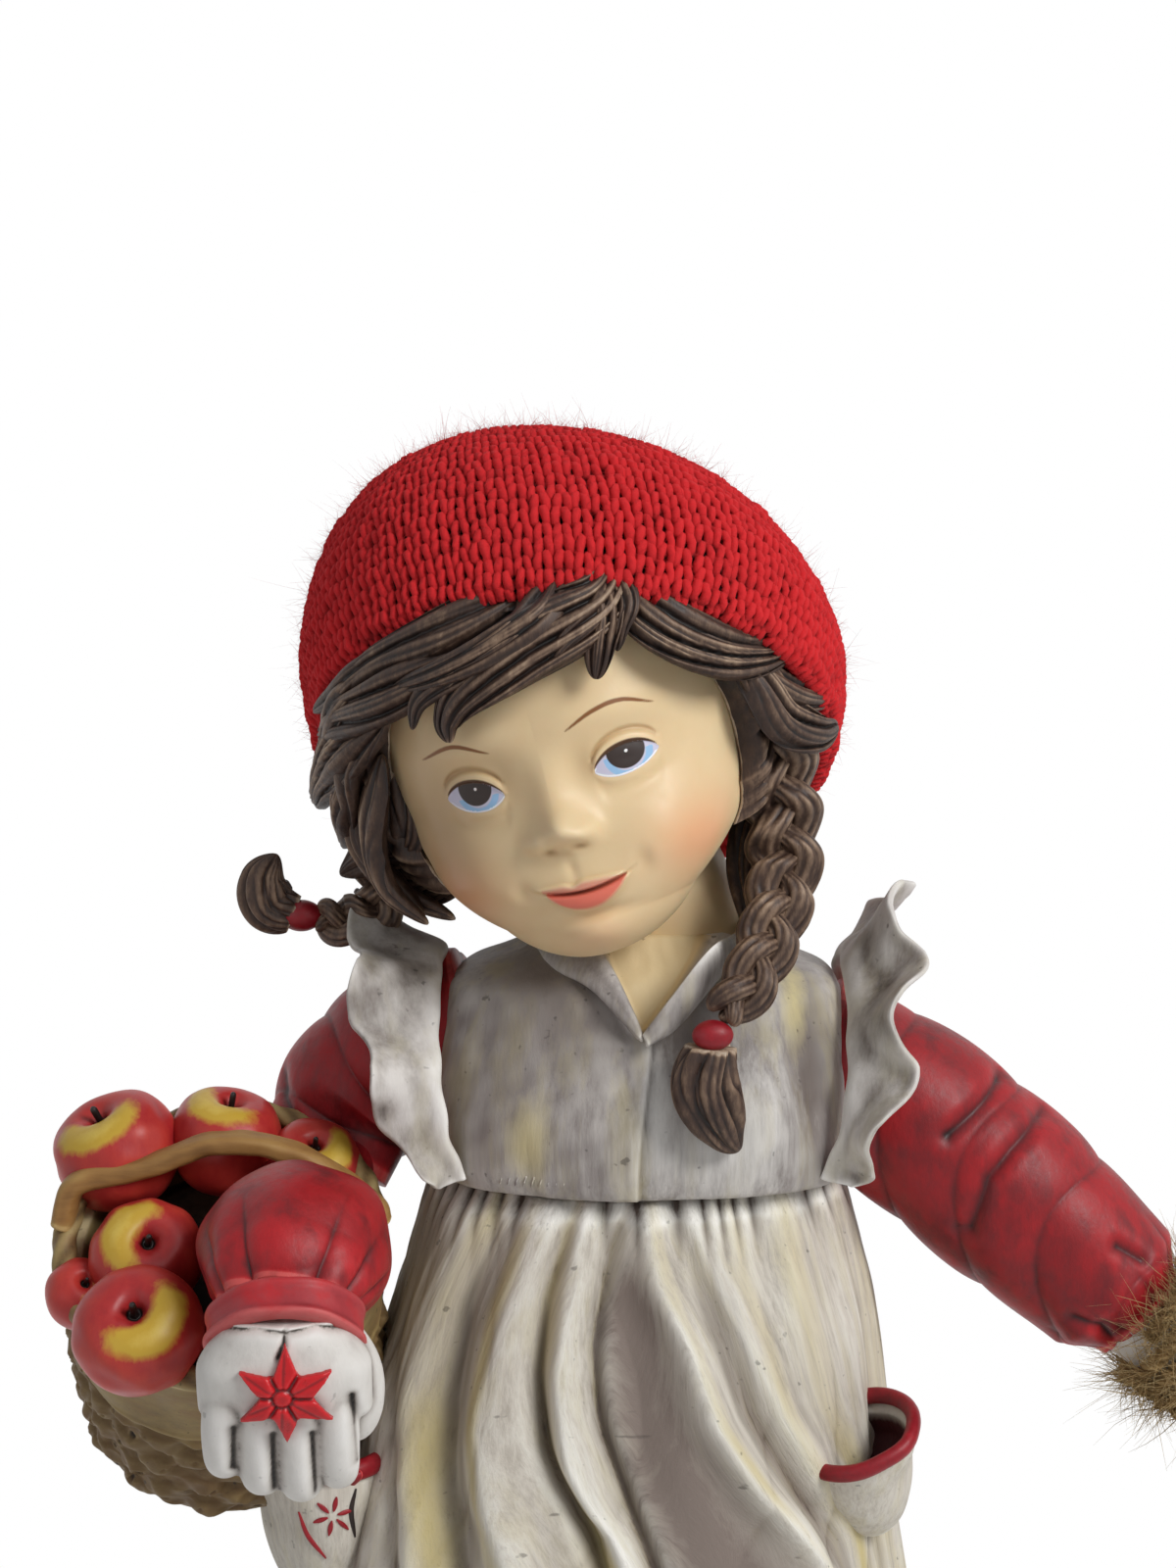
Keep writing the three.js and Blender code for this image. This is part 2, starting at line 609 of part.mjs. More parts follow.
// Sleeves and their pegs, in the upper frame
const shoulderX = WAIST_WIDE / 2;
const rightPeg = solidOf(
  new THREE.CylinderGeometry(PEG_THICK / 2, PEG_THICK / 2, 2 * PEG_LONG, 10)
    .rotateZ(Math.PI / 2)
    .translate(-shoulderX + 1, 1, 19),
  upper,
);
const leftPeg = solidOf(
  new THREE.CylinderGeometry(PEG_THICK / 2, PEG_THICK / 2, 2 * PEG_LONG, 10)
    .rotateZ(Math.PI / 2)
    .translate(shoulderX - 0.5, 1, 14),
  upper,
);
const bodiceSolid = biggest(
  cut(
    solidOf(bodiceSkin, upper),
    solidOf(vTool, upper),
    swollen(neckSolid),
    swollen(rightPeg),
    swollen(leftPeg),
  ),
);
const bodice = put("pinafore_bodice", bodiceSolid, cream, upper);
put("waistband", bandSolid, cream, upper);
const headPiece = put("head", biggest(cut(headSolid, swollen(bodice)), 0.05), skin, head);

// Creases that run round a sleeve
const creased = (u, v, turns, lean) => {
  const wave = Math.sin(RING * turns * v + lean * Math.sin(u) + 0.8 * Math.cos(2 * u));
  return Math.abs(wave) ** 0.7 - 0.6;
};

const rightUpperArm = sweep({
  line: [
    [-shoulderX + 7, 2, 19.5],
    [-shoulderX - 2, 2.5, 15.8],
    [-shoulderX - 11, 2, 8],
    [-shoulderX - 15, -1, 1],
  ],
  out: () => new THREE.Vector3(0, -1, 0),
  rounds: 12,
  steps: 7,
  section: (u, v) => {
    const wide = (SLEEVE_THICK / 2) * (0.86 + 0.1 * hump(v, 0.45, 0.3) - 0.12 * ease(0.7, 1, v));
    const r = wide + 0.9 * creased(u, v, 1.6, 1.2);
    return [r * Math.cos(u), r * Math.sin(u)];
  },
});
const elbow = [-shoulderX - 15.5, 1, 2];
const wrist = [-shoulderX - 15.8, -46.5, -6.4];
const forearm = sweep({
  line: [
    elbow,
    [-shoulderX - 16.5, -12, -2],
    [-shoulderX - 16.4, -24, -3],
    [-shoulderX - 15.6, -35, -2],
    [-shoulderX - 15.6, -42, -3.4],
    wrist,
  ],
  rounds: 12,
  steps: 9,
  section: (u, v) => {
    const puff = 3.9 * hump(v, 0.74, 0.2);
    const tuck = 1.6 * ease(0.9, 1, v);
    const gather = 0.5 * Math.sin(9 * u + 0.5) * ease(0.55, 0.95, v);
    const r = 8.4 + puff - tuck + gather + 0.5 * creased(u, v, 1.5, 1);
    return [r * Math.cos(u), 0.9 * r * Math.sin(u)];
  },
});
const rightArm = clear(join(solidOf(rightUpperArm, upper), rightPeg), bodice);
const upperSleeve = put("right_upper_sleeve", biggest(join(rightArm, rightPeg)), redPaint, upper);

// Glove: a drooping back of the hand, four fingers and a thumb, joined
function gloveSolid(frame, spread, curl) {
  const palm = wrap(11, 5, (u, v) => {
    const wide = (8.6 + 2.6 * ease(0, 0.5, v)) * Math.sqrt(1.02 - ease(0.86, 1, v) ** 2);
    const thick = (5.4 - 0.9 * ease(0.3, 1, v)) * Math.sqrt(1.02 - ease(0.86, 1, v) ** 2);
    const bow = 2.2 * Math.sin(Math.PI * Math.min(1, v * 1.1));
    const [x, y] = oval(u, wide, thick, 2.2);
    return new THREE.Vector3(x, y - bow, -15.5 * v);
  });
  const finger = (x, long, lean, thick) =>
    solidOf(
      sweep({
        line: [
          [0.75 * x, -1.6, -8],
          [x, -1.4, -13.5],
          [x + lean * spread, -0.4 + 0.4 * curl, -13.5 - 0.6 * long],
          [x + 1.4 * lean * spread, 0.8 + curl, -13.5 - long],
        ],
        out: () => new THREE.Vector3(0, -1, 0),
        rounds: 6,
        steps: 4,
        section: (u, v) => {
          const r = (thick / 2) * Math.sqrt(1.03 - v ** 7);
          return [r * Math.cos(u), r * Math.sin(u)];
        },
      }),
      frame,
    );
  return join(
    solidOf(palm, frame),
    finger(-8.6, 6.4, -0.3, 5.2),
    finger(-4, 10.4, -0.15, 5.5),
    finger(0.9, 12.6, 0, 5.7),
    finger(5.7, 11, 0.15, 5.6),
    solidOf(
      sweep({
        line: [[6, 1, -3], [9.6, 1.6, -8], [10.6, 1.8, -13.5], [9.8, 2.4, -20]],
        out: () => new THREE.Vector3(0, -1, 0),
        rounds: 6,
        steps: 4,
        section: (u, v) => {
          const r = (3.3 - 0.5 * v) * Math.sqrt(1.03 - v ** 7);
          return [r * Math.cos(u), r * Math.sin(u)];
        },
      }),
      frame,
    ),
  );
}

// A six-petalled star, laid on the back of a glove
function starShape(reach) {
  const star = new THREE.Shape();
  for (let i = 0; i < 12; i++) {
    const r = i % 2 ? 0.47 * reach : reach;
    const a = Math.PI / 2 + (i * Math.PI) / 6;
    if (i) star.lineTo(r * Math.cos(a), r * Math.sin(a));
    else star.moveTo(r * Math.cos(a), r * Math.sin(a));
  }
  star.closePath();
  return star;
}
const STAR_REACH = 6.2;
function starSolid(frame, glove, tip) {
  const plate = new THREE.ExtrudeGeometry(starShape(STAR_REACH), { depth: 12, bevelEnabled: false });
  plate.rotateX(Math.PI / 2).rotateZ(tip * DEG).translate(0, 0, -7.5);
  const block = solidOf(plate, frame);
  const shell = swollen(glove, GAP + 1).intersect(block);
  return biggest(cut(shell, swollen(glove, GAP)));
}

// A band round a wrist: a short tube that turns from the sleeve's end into the glove
function bandAround(line, wide, thick, rounds, out) {
  const ring = (r) =>
    sweep({ line, rounds, steps: 2, out, section: (u) => [r * Math.cos(u), r * Math.sin(u)] });
  const hole = line.map((p, i) => {
    const next = line[Math.min(i + 1, line.length - 1)];
    const last = line[Math.max(i - 1, 0)];
    const along = vector(next).sub(vector(last)).normalize();
    const push = i === 0 ? -2 : i === line.length - 1 ? 2 : 0;
    return vector(p).addScaledVector(along, push).toArray();
  });
  return cut(
    solidOf(ring(wide), upper),
    solidOf(
      sweep({
        line: hole,
        rounds,
        steps: 1,
        out,
        section: (u) => [(wide - thick) * Math.cos(u), (wide - thick) * Math.sin(u)],
      }),
      upper,
    ),
  );
}

const forwards = () => new THREE.Vector3(0, -1, 0.2);
const rightGloveFrame = new THREE.Group();
rightGloveFrame.position.set(wrist[0] + 0.3, wrist[1] - 4.6, wrist[2] + 1.6);
rightGloveFrame.rotation.set(4 * DEG, 0, 4 * DEG);
upper.add(rightGloveFrame);
rightGloveFrame.updateMatrixWorld(true);
const rightWristStub = solidOf(
  sweep({
    line: [[wrist[0], wrist[1] + 2.4, wrist[2] + 0.4], wrist, [wrist[0] + 0.5, wrist[1] - 3.4, wrist[2] - 4.5]],
    rounds: 10,
    steps: 2,
    section: (u) => [5.8 * Math.cos(u), 5.8 * Math.sin(u)],
  }),
  upper,
);
const cuffBand = bandAround(
  [
    [wrist[0], wrist[1] - 0.2, wrist[2] - 0.3],
    [wrist[0] + 0.2, wrist[1] - 1.9, wrist[2] - 1.9],
    [wrist[0] + 0.3, wrist[1] - 3.6, wrist[2] - 3.5],
  ],
  10.2,
  2.6,
  16,
  () => UP,
);
const rightCuff = put("right_cuff_band", biggest(cuffBand), redTrim, upper);
const rightHand = clear(join(gloveSolid(rightGloveFrame, 1.4, 1), rightWristStub), rightCuff);
const rightGlove = put("right_glove", rightHand, gloveWhite, upper);
const forearmPiece = clear(solidOf(forearm, upper), upperSleeve, bandSolid, skirt, rightCuff, rightGlove);
const forearmSolid = put("right_forearm_sleeve", forearmPiece, redPaint, upper);
put("right_glove_star", clear(starSolid(rightGloveFrame, rightGlove, 3), rightCuff), redTrim, upper);

// Left arm: stretched out to the side and down
const leftLine = [
  [shoulderX - 5, 1, 14],
  [shoulderX + 8, 0, 8],
  [shoulderX + 24, -3, -4.5],
  [shoulderX + 35, -5.5, -14],
  [shoulderX + 41.5, -7, -20.3],
];
const leftSleeve = sweep({
  line: leftLine,
  rounds: 12,
  steps: 10,
  section: (u, v) => {
    const taper = 0.13 * ease(0.6, 0.9, v) + 0.32 * ease(0.9, 1, v);
    const wide = (SLEEVE_THICK / 2) * (1 + 0.03 * hump(v, 0.45, 0.25) - taper);
    const gather = 0.6 * Math.sin(8 * u) * ease(0.75, 0.97, v);
    const r = wide + gather + 1.1 * creased(u, v, 2, 1.6);
    return [r * Math.cos(u), r * Math.sin(u)];
  },
});
const leftAlong = new THREE.Vector3(0.82, -0.15, -0.55).normalize();
const leftWrist = vector(leftLine[leftLine.length - 1]);
const leftGloveFrame = new THREE.Group();
leftGloveFrame.position.copy(leftWrist).addScaledVector(leftAlong, 14);
leftGloveFrame.quaternion
  .setFromUnitVectors(new THREE.Vector3(0, 0, -1), leftAlong)
  .multiply(new THREE.Quaternion().setFromAxisAngle(UP, -20 * DEG));
upper.add(leftGloveFrame);
leftGloveFrame.updateMatrixWorld(true);
const leftStub = solidOf(
  sweep({
    line: [-6, 5, 16].map((d) => leftWrist.clone().addScaledVector(leftAlong, d).toArray()),
    rounds: 16,
    steps: 3,
    section: (u) => [WRIST_THICK / 2 * Math.cos(u), WRIST_THICK / 2 * Math.sin(u)],
  }),
  upper,
);
const leftGloveRaw = biggest(join(gloveSolid(leftGloveFrame, 1.6, 3), leftStub));
const leftSleeveSolid = biggest(
  join(clear(solidOf(leftSleeve, upper), bodice, leftGloveRaw, bandSolid, skirt), leftPeg),
);
put("left_sleeve", leftSleeveSolid, redPaint, upper);
const leftGlove = put("left_glove", leftGloveRaw, gloveWhite, upper);
put("left_glove_star", starSolid(leftGloveFrame, leftGlove, 0), redTrim, upper);

// Jute binding: one unbroken length of twine wound round the left wrist
function twineSolid() {
  const radius = (WRIST_THICK + TWINE_THICK) / 2 + GAP;
  const across = new THREE.Vector3().crossVectors(leftAlong, UP).normalize();
  const rise = new THREE.Vector3().crossVectors(across, leftAlong);
  const pitch = TWINE_THICK + 0.45;
  const steps = 24 * TWINE_TURNS;
  const start = 2.4;
  const centre = (v) => {
    const a = RING * TWINE_TURNS * v;
    return leftWrist
      .clone()
      .addScaledVector(leftAlong, start + pitch * TWINE_TURNS * v)
      .addScaledVector(across, radius * Math.cos(a))
      .addScaledVector(rise, radius * Math.sin(a));
  };
  let least = Infinity;
  for (let i = 0; i <= steps - 24; i++) {
    for (let j = i + 12; j <= steps; j++) {
      least = Math.min(least, centre(i / steps).distanceTo(centre(j / steps)) - TWINE_THICK);
    }
  }
  console.log(`least gap between turns of twine: ${least.toFixed(2)} mm`);
  const coil = wrap(6, steps, (u, v) => {
    const a = RING * TWINE_TURNS * v;
    const out = new THREE.Vector3().addScaledVector(across, Math.cos(a)).addScaledVector(rise, Math.sin(a));
    return centre(v)
      .addScaledVector(out, (TWINE_THICK / 2) * Math.cos(u))
      .addScaledVector(leftAlong, (TWINE_THICK / 2) * Math.sin(u));
  });
  return solidOf(coil, upper);
}
put("jute_binding", twineSolid(), jute, upper);

// Collar: two flat points that turn down from the nape to the foot of the V
const neckHalf = NECK_THICK / 2;
function collarSolid(side) {
  const flap = sweep({
    line: [
      [side * 1.2 + 2, neckHalf + 3.5, BODICE_HIGH + 1.5],
      [side * (neckHalf + 1.5) + 2, neckHalf - 2, BODICE_HIGH + 1.5],
      [side * (neckHalf + 3) + 2, -5, BODICE_HIGH - 0.5],
      [side * (neckHalf - 1) + 1, 5 - WAIST_DEEP / 2, BODICE_HIGH - 5],
      [side * 1.8 + 0.8, -1.4 - WAIST_DEEP / 2, BODICE_HIGH - 11.5],
    ],
    out: (at) => new THREE.Vector3(at.x - 2, at.y - 1, 9),
    rounds: 7,
    steps: 8,
    section: (u, v) => {
      const wide = (4.2 + 1 * hump(v, 0.7, 0.2)) * Math.sqrt(1.02 - v ** 6);
      return oval(u, wide, 1.05, 2.6);
    },
  });
  return clear(solidOf(flap, upper), bodice, headPiece);
}
const rightCollar = put("right_collar", collarSolid(-1), cream, upper);
const leftCollar = put("left_collar", clear(collarSolid(1), rightCollar), cream, upper);

// Shoulder ruffles: a frill that runs from the front of the waist over the shoulder to the back
function ruffleSolid(side, sleeve, tilt) {
  const x0 = side * shoulderX + 0.8;
  const line = [
    [x0 - side * 3, -17.5, 2],
    [x0 - side * 0.5, -18, 10],
    [x0 + side * 0.5, -14, 20],
    [x0 + side * 0.5, -5, 28.5],
    [x0 + side * 0.5, 5, 28.5],
    [x0, 14, 19],
    [x0 - side * 3, 16, 7],
  ];
  const middle = new THREE.Vector3(x0, 0, 10);
  const out = (at) => at.clone().sub(middle).setX(0).normalize().addScaledVector(new THREE.Vector3(side, 0, 0), tilt);
  const frill = sweep({
    line,
    out,
    rounds: 7,
    steps: 20,
    section: (u, v) => {
      const long = (4 + 9.5 * Math.sin(Math.PI * v) ** 0.8) * 0.5;
      const [x, y] = oval(u, 0.95, long, 3.5);
      const free = clamp((y + long) / (2 * long));
      return [x + 2 * free * Math.sin(RING * 5.5 * v + 0.5), y + long - 1.5];
    },
  });
  return clear(solidOf(frill, upper), bodice, sleeve, rightCollar, leftCollar);
}
const rightRuffle = put("right_shoulder_ruffle", ruffleSolid(-1, upperSleeve, 2.1), cream, upper);
const leftRuffle = put("left_shoulder_ruffle", ruffleSolid(1, leftSleeveSolid, 0.7), cream, upper);

// Bow at the back of the waist: two loops, two tails and the knot that holds them
const bowY = WAIST_DEEP / 2 + 2.2;
const knot = solidOf(new THREE.SphereGeometry(3.4, 9, 6).scale(1, 0.8, 1.1).translate(0, bowY + 0.8, 1), upper);
function bowSide(side) {
  const ribbon = (line, wide, thick) =>
    solidOf(
      sweep({
        line,
        out: () => new THREE.Vector3(0, 1, 0.15),
        rounds: 8,
        steps: 6,
        section: (u, v) => oval(u, wide(v), thick(v), 2.6),
      }),
      upper,
    );
  const loop = ribbon(
    [[side * 1, bowY, 1], [side * 8, bowY + 2.4, 4], [side * 16, bowY + 2, 3.2], [side * 19, bowY + 0.6, 0.4]],
    (v) => 2.2 + 4 * hump(v, 0.65, 0.3),
    (v) => 1.1 + 1.7 * hump(v, 0.6, 0.25),
  );
  const tail = ribbon(
    [[side * 3.4, bowY + 1, 1], [side * 6.4, bowY + 3.8, -8], [side * 8.6, bowY + 7, -19], [side * 12, bowY + 9, -30]],
    (v) => 1.8 + 2.6 * v,
    () => 0.9,
  );
  return clear(join(loop, tail), knot, skirt, bodice, bandSolid);
}
const rightBow = put("right_bow", bowSide(-1), cream, upper);
put("left_bow", clear(bowSide(1), rightBow), cream, upper);
put("bow_knot", clear(knot, bodice, skirt, bandSolid), cream, upper);

// Cap: knitted, level from side to side, high on the forehead and low on the nape. Its frame
// stands on the brim, and t runs from the brim to the crown.
const CAP_LEAN = -40 * DEG;
const cap = new THREE.Group();
cap.position.set(head.position.x + 1.1, head.position.y + 2.5, head.position.z - 2.8);
cap.rotation.x = CAP_LEAN;
upper.add(cap);
cap.updateMatrixWorld(true);
const CAP_DEEP = 1.05 * CAP_WIDE;
function capSkin(lift, rounds, steps, from) {
  return wrap(rounds, steps, (u, v) => {
    const t = from + (1 - from) * Math.sin((Math.PI / 2) * v);
    const round = Math.sqrt(Math.max(0, 1 - Math.max(0, t) ** 2.7)) + 0.01;
    const belly = 1 - 0.05 * hump(t, -0.02, 0.16);
    const wide = (CAP_WIDE / 2 + lift) * round * belly;
    const deep = (CAP_DEEP / 2 + lift) * round * belly;
    const [x, y] = oval(u, wide, deep, 2.1);
    return new THREE.Vector3(x - 8 * t * t, y - 6 * t * t, (CAP_HIGH + lift) * t);
  });
}
const capOuter = solidOf(capSkin(0, 26, 8, -0.04), cap);
const capHollow = solidOf(capSkin(-KNIT_THICK, 18, 5, -0.2), cap);
const knitted = put("knitted_cap", biggest(cut(capOuter, capHollow)), wool, cap);

// Hair: a close shell over the skull, open at the face, and a plain dome that fills the cap
const HAIRLINE = 17;
const skullRoom = solidOf(skullSkin(18, 11, 1.8, false), head);
function hairSolid() {
  const shell = wrap(16, 5, (u, v) => {
    const z = -0.3 * HEAD_HIGH + 0.62 * HEAD_HIGH * v;
    return onSkull(u, z, HAIR_THICK + 1.2 * ease(0.2, 1, Math.abs(Math.sin(u))));
  });
  const dome = solidOf(capSkin(-KNIT_THICK - 2.5 * GAP, 16, 4, 0.09), cap);
  const outline = new THREE.Shape().absellipse(0, -12, HEAD_WIDE / 2 - 2, HAIRLINE + 12, 0, RING, false, 0);
  const face = new THREE.ExtrudeGeometry(outline, { depth: 60, bevelEnabled: false, curveSegments: 6 });
  face.rotateX(Math.PI / 2).translate(0, -4, 0);
  const ears = [-1, 1].map((side) => swollen(earSolid(side)));
  return cut(join(solidOf(shell, head), dome), solidOf(face, head), skullRoom, ...ears);
}
const hair = put("hair", clear(hairSolid(), knitted, neckSolid, bodice, rightCollar, leftCollar), hairPaint, head);

// Locks: carved tapering strands that follow the skull. Each path is angle, height and lift.
function lockSolid({ path, wide, thick, ridges = 3 }) {
  const line = path.map(([a, z, lift]) => onSkull(a * DEG, z, lift + 1).toArray());
  return solidOf(
    sweep({
      line,
      out: (at) => at.clone().setZ(0.4 * at.z),
      rounds: 8,
      steps: 7,
      section: (u, v) => {
        const taper = (0.62 + 0.38 * ease(0, 0.35, v)) * Math.sqrt(1.015 - v ** 2.6);
        const groove = 1 - 0.2 * Math.abs(Math.cos(ridges * u)) * ease(0, 0.2, v);
        return [(wide / 2) * taper * groove * Math.cos(u), (thick / 2) * taper * groove * Math.sin(u)];
      },
    }),
    head,
  );
}
const locks = [
  { path: [[40, 20, 2.8], [24, 14.5, 3.9], [2, 11.5, 4], [-14, 7.5, 3.5], [-21, 1.8, 3.2]], wide: 9.5, thick: 4.4 },
  { path: [[14, 21, 2.4], [-14, 18, 3.6], [-42, 16.5, 4.4], [-62, 15, 6], [-74, 13.6, 8]], wide: 8.6, thick: 4 },
  { path: [[-7, 13.4, 2.5], [-34, 11, 3.9], [-58, 8.6, 4.9], [-76, 6.4, 6.8]], wide: 7.4, thick: 4.2 },
  { path: [[-44, 8, 2.6], [-62, 4.5, 4.6], [-78, 1, 8], [-90, -2, 12]], wide: 8.4, thick: 4.6 },
  { path: [[28, 19, 2.6], [25, 13.5, 3.4], [22, 8.5, 3], [20, 3.7, 2.4]], wide: 5.6, thick: 3.6 },
  { path: [[34, 21, 2.4], [48, 15, 4], [63, 9, 5.2], [76, 3, 8.4]], wide: 9, thick: 4.4 },
  { path: [[64, 8, 2.6], [78, 0, 5], [88, -6, 8], [95, -11, 12]], wide: 8.2, thick: 4.6 },
  { path: [[-70, 3, 2.4], [-80, -5, 6], [-84, -12, 8], [-80, -20, 7]], wide: 9, thick: 5.4 },
];
const lockMade = [];
locks.forEach((lock, i) => {
  const solid = clear(lockSolid(lock), hair, headPiece, knitted, ...lockMade);
  lockMade.push(put(`lock_${i + 1}`, solid, hairPaint, head));
});

// Braids: three strands plaited along a line, thinner towards the tie
function braidSolid(line, out, wideTop, wideEnd, plaits) {
  return solidOf(
    sweep({
      line,
      out,
      rounds: 8,
      steps: 19,
      section: (u, v) => {
        const wide = wideTop + (wideEnd - wideTop) * v;
        const side = Math.cos(u);
        const beat = Math.abs(Math.sin(Math.PI * plaits * v + (side > 0 ? 0 : Math.PI / 2)));
        const bulge = 0.72 + 0.28 * beat * ease(0.1, 0.7, Math.abs(side));
        const seam = 1 - 0.2 * hump(side, 0, 0.25);
        return [0.5 * wide * bulge * side, 0.38 * wide * bulge * seam * Math.sin(u)];
      },
    }),
    upper,
  );
}

// A tie, and the loose brush of hair beyond it
const tieSolid = (at, r) =>
  solidOf(new THREE.SphereGeometry(r, 9, 6).scale(1.1, 0.9, 0.85).translate(...at), upper);
function brushSolid(line, wide, out) {
  return solidOf(
    sweep({
      line,
      out,
      rounds: 9,
      steps: 6,
      section: (u, v) => {
        const body = (0.42 + 0.58 * Math.sin(Math.PI * Math.min(1, 0.15 + 0.75 * v))) * Math.sqrt(1.02 - v ** 5);
        const groove = 1 - 0.16 * Math.abs(Math.cos(3 * u));
        const r = (wide / 2) * body * groove;
        return [r * Math.cos(u), 0.72 * r * Math.sin(u)];
      },
    }),
    upper,
  );
}

const headNear = (a, z, lift) =>
  head.localToWorld(onSkull(a * DEG, z, lift)).sub(upper.position).toArray();
const front = () => new THREE.Vector3(0.2, -1, 0.1);
const neighbours = [bodice, headPiece, hair, knitted, rightCollar, leftCollar, rightRuffle, leftRuffle];
const chestY = -(WAIST_DEEP / 2) * 1.05;
const leftTie = [9.4, chestY - 5.2, 24.2];
const leftBraid = braidSolid(
  [headNear(84, -9, 4.4), [20.5, -11, 46], [19, -17, 38], [15.2, -23.5, 31], [10.6, chestY - 4.6, 26.3]],
  front, 11, 6.6, 3.2,
);
const leftTieSolid = tieSolid(leftTie, 2.7);
const leftTail = brushSolid([[9.2, chestY - 4.8, 22.6], [8.8, chestY - 4.4, 17], [11, chestY - 3.4, 11.5], [12.6, chestY - 2.6, 9]], 8.6, front);
const leftTieMade = put("left_braid_tie", clear(leftTieSolid, ...neighbours), redTrim, upper);
put("left_braid", clear(leftBraid, ...neighbours, ...lockMade, leftTieMade), hairPaint, upper);
put("left_braid_brush", clear(leftTail, ...neighbours, leftTieMade), hairPaint, upper);

const rightTie = [-shoulderX - 18.1, 1, 34.6];
const rightBraid = braidSolid(
  [
    headNear(-84, -12, 3.4),
    [-shoulderX - 6, 1, 43],
    [-shoulderX - 7, 1.5, 36],
    [-shoulderX - 11.5, 1.2, 33.8],
    [-shoulderX - 16.1, 1, 34.2],
  ],
  front, 11, 6.4, 2.6,
);
const rightTieSolid = tieSolid(rightTie, 2.6);
const rightTail = brushSolid(
  [
    [-shoulderX - 19.1, 1, 34.8],
    [-shoulderX - 22.5, 0.8, 36.2],
    [-shoulderX - 23.1, 0.4, 40],
    [-shoulderX - 21.3, 0.2, 43.4],
  ],
  8.2,
  front,
);
const rightTieMade = put("right_braid_tie", rightTieSolid, redTrim, upper);
const besideRight = [...neighbours, upperSleeve, ...lockMade, rightTieMade];
put("right_braid", clear(rightBraid, ...besideRight), hairPaint, upper);
put("right_braid_brush", clear(rightTail, ...besideRight), hairPaint, upper);

// Basket: a woven tub, a rolled rim and a bent handle that passes over the forearm
const tubTop = BASKET_WIDE / 2;
const tub = wrap(24, 5, (u, v) => {
  const wide = tubTop * (0.8 + 0.14 * ease(0, 0.2, v) + 0.04 * ease(0, 0.9, v));
  const weave = 0.45 * Math.sin(12 * u) * Math.cos(Math.PI * 5 * v) * hump(v, 0.5, 0.5);
  return new THREE.Vector3((wide + weave) * Math.cos(u), (wide + weave) * Math.sin(u), -BASKET_DEEP * (1 - v));
});
const tubHollow = wrap(16, 1, (u, v) => {
  const wide = (tubTop - BASKET_WALL) * (0.86 + 0.1 * v);
  return new THREE.Vector3(wide * Math.cos(u), wide * Math.sin(u), -BASKET_FILL * (1 - v) + 0.5 * v);
});
const rimRadius = 1.7;
const rimRing = new THREE.TorusGeometry(tubTop - 0.8, rimRadius, 6, 20).translate(0, 0, rimRadius + GAP);
const hip = [made.get("right_pocket"), made.get("right_pocket_binding")];
const beside = [rightGlove, rightCuff, forearmSolid, upperSleeve, skirt, bodice, bandSolid, ...hip];
const tubSolid = clear(cut(solidOf(tub, basket), solidOf(tubHollow, basket)), ...beside);
put("basket_tub", tubSolid, cane, basket);
const rimSolid = clear(solidOf(rimRing, basket), tubSolid, ...beside);
put("basket_rim", rimSolid, cane, basket);

const handleFrame = new THREE.Group();
handleFrame.rotation.x = -BASKET_TIP * DEG;
basket.add(handleFrame);
handleFrame.updateMatrixWorld(true);
const handleRise = 14.4;
const handle = solidOf(
  sweep({
    line: [
      [-tubTop + 0.2, 0, 3.2],
      [-tubTop + 2.5, 0, 9],
      [-0.45 * tubTop, 0, handleRise - 3.2],
      [0, 0, handleRise],
      [0.45 * tubTop, 0, handleRise - 1.6],
      [tubTop - 2, 0, handleRise - 8],
      [tubTop - 0.2, 0, 3.2],
    ],
    out: () => new THREE.Vector3(0, -1, 0),
    rounds: 6,
    steps: 14,
    section: (u) => oval(u, HANDLE_THICK / 2, HANDLE_WIDE / 2, 3),
  }),
  handleFrame,
);

// Apples: a lathe profile with a dimple and a stalk, each laid in its own place in the heap
const half = APPLE_THICK / 2;
const appleProfile = [
  [0, -0.86],
  [0.5, -0.8],
  [0.9, -0.44],
  [1, 0.1],
  [0.76, 0.7],
  [0.38, 0.84],
  [0.1, 0.56],
  [0.08, 0.98],
  [0, 1.02],
].map(([r, z]) => new THREE.Vector2(half * r, half * z));
function appleSolid([x, y, z], [lean, turn], size) {
  const apple = new THREE.LatheGeometry(appleProfile, 9).rotateX(Math.PI / 2);
  apple.scale(size, size, size).rotateX(lean * DEG).rotateZ(turn * DEG).translate(x, y, z);
  return solidOf(apple, basket);
}
const apples = [
  { at: [-8.6, -16.5, 5.8], lean: [4, 10], size: 1.08 },
  { at: [-9.6, -3, 2.2], lean: [14, 50], size: 0.98 },
  { at: [-14.6, 12.2, 4.4], lean: [-30, 50], size: 1.08 },
  { at: [-0.6, 14.6, 3.4], lean: [-34, -20], size: 1 },
  { at: [4.6, -14, -1], lean: [30, -20], size: 0.9 },
  { at: [-18, -7.6, 0.4], lean: [20, 90], size: 0.6 },
  { at: [11.4, 11.8, 1.4], lean: [-10, -50], size: 0.84 },
];
const appleMade = [];
const besideApples = [tubSolid, rimSolid, forearmSolid, rightGlove, rightCuff, upperSleeve];
apples.forEach(({ at, lean, size }, i) => {
  const solid = clear(appleSolid(at, lean, size), ...besideApples, ...appleMade);
  appleMade.push(put(`apple_${i + 1}`, solid, appleSkin, basket));
});
put("basket_handle", clear(handle, rimSolid, tubSolid, forearmSolid, upperSleeve, skirt, ...appleMade), cane, basket);

export default figure;
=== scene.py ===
"""A girl in a pinafore, cast in resin and painted by hand, with a basket of apples on her right arm,
a jute binding on her left wrist and a real knitted cap. Sizes are in millimetres and become metres
where a mesh is made. She faces -Y, and her own right side is at -X."""
import math

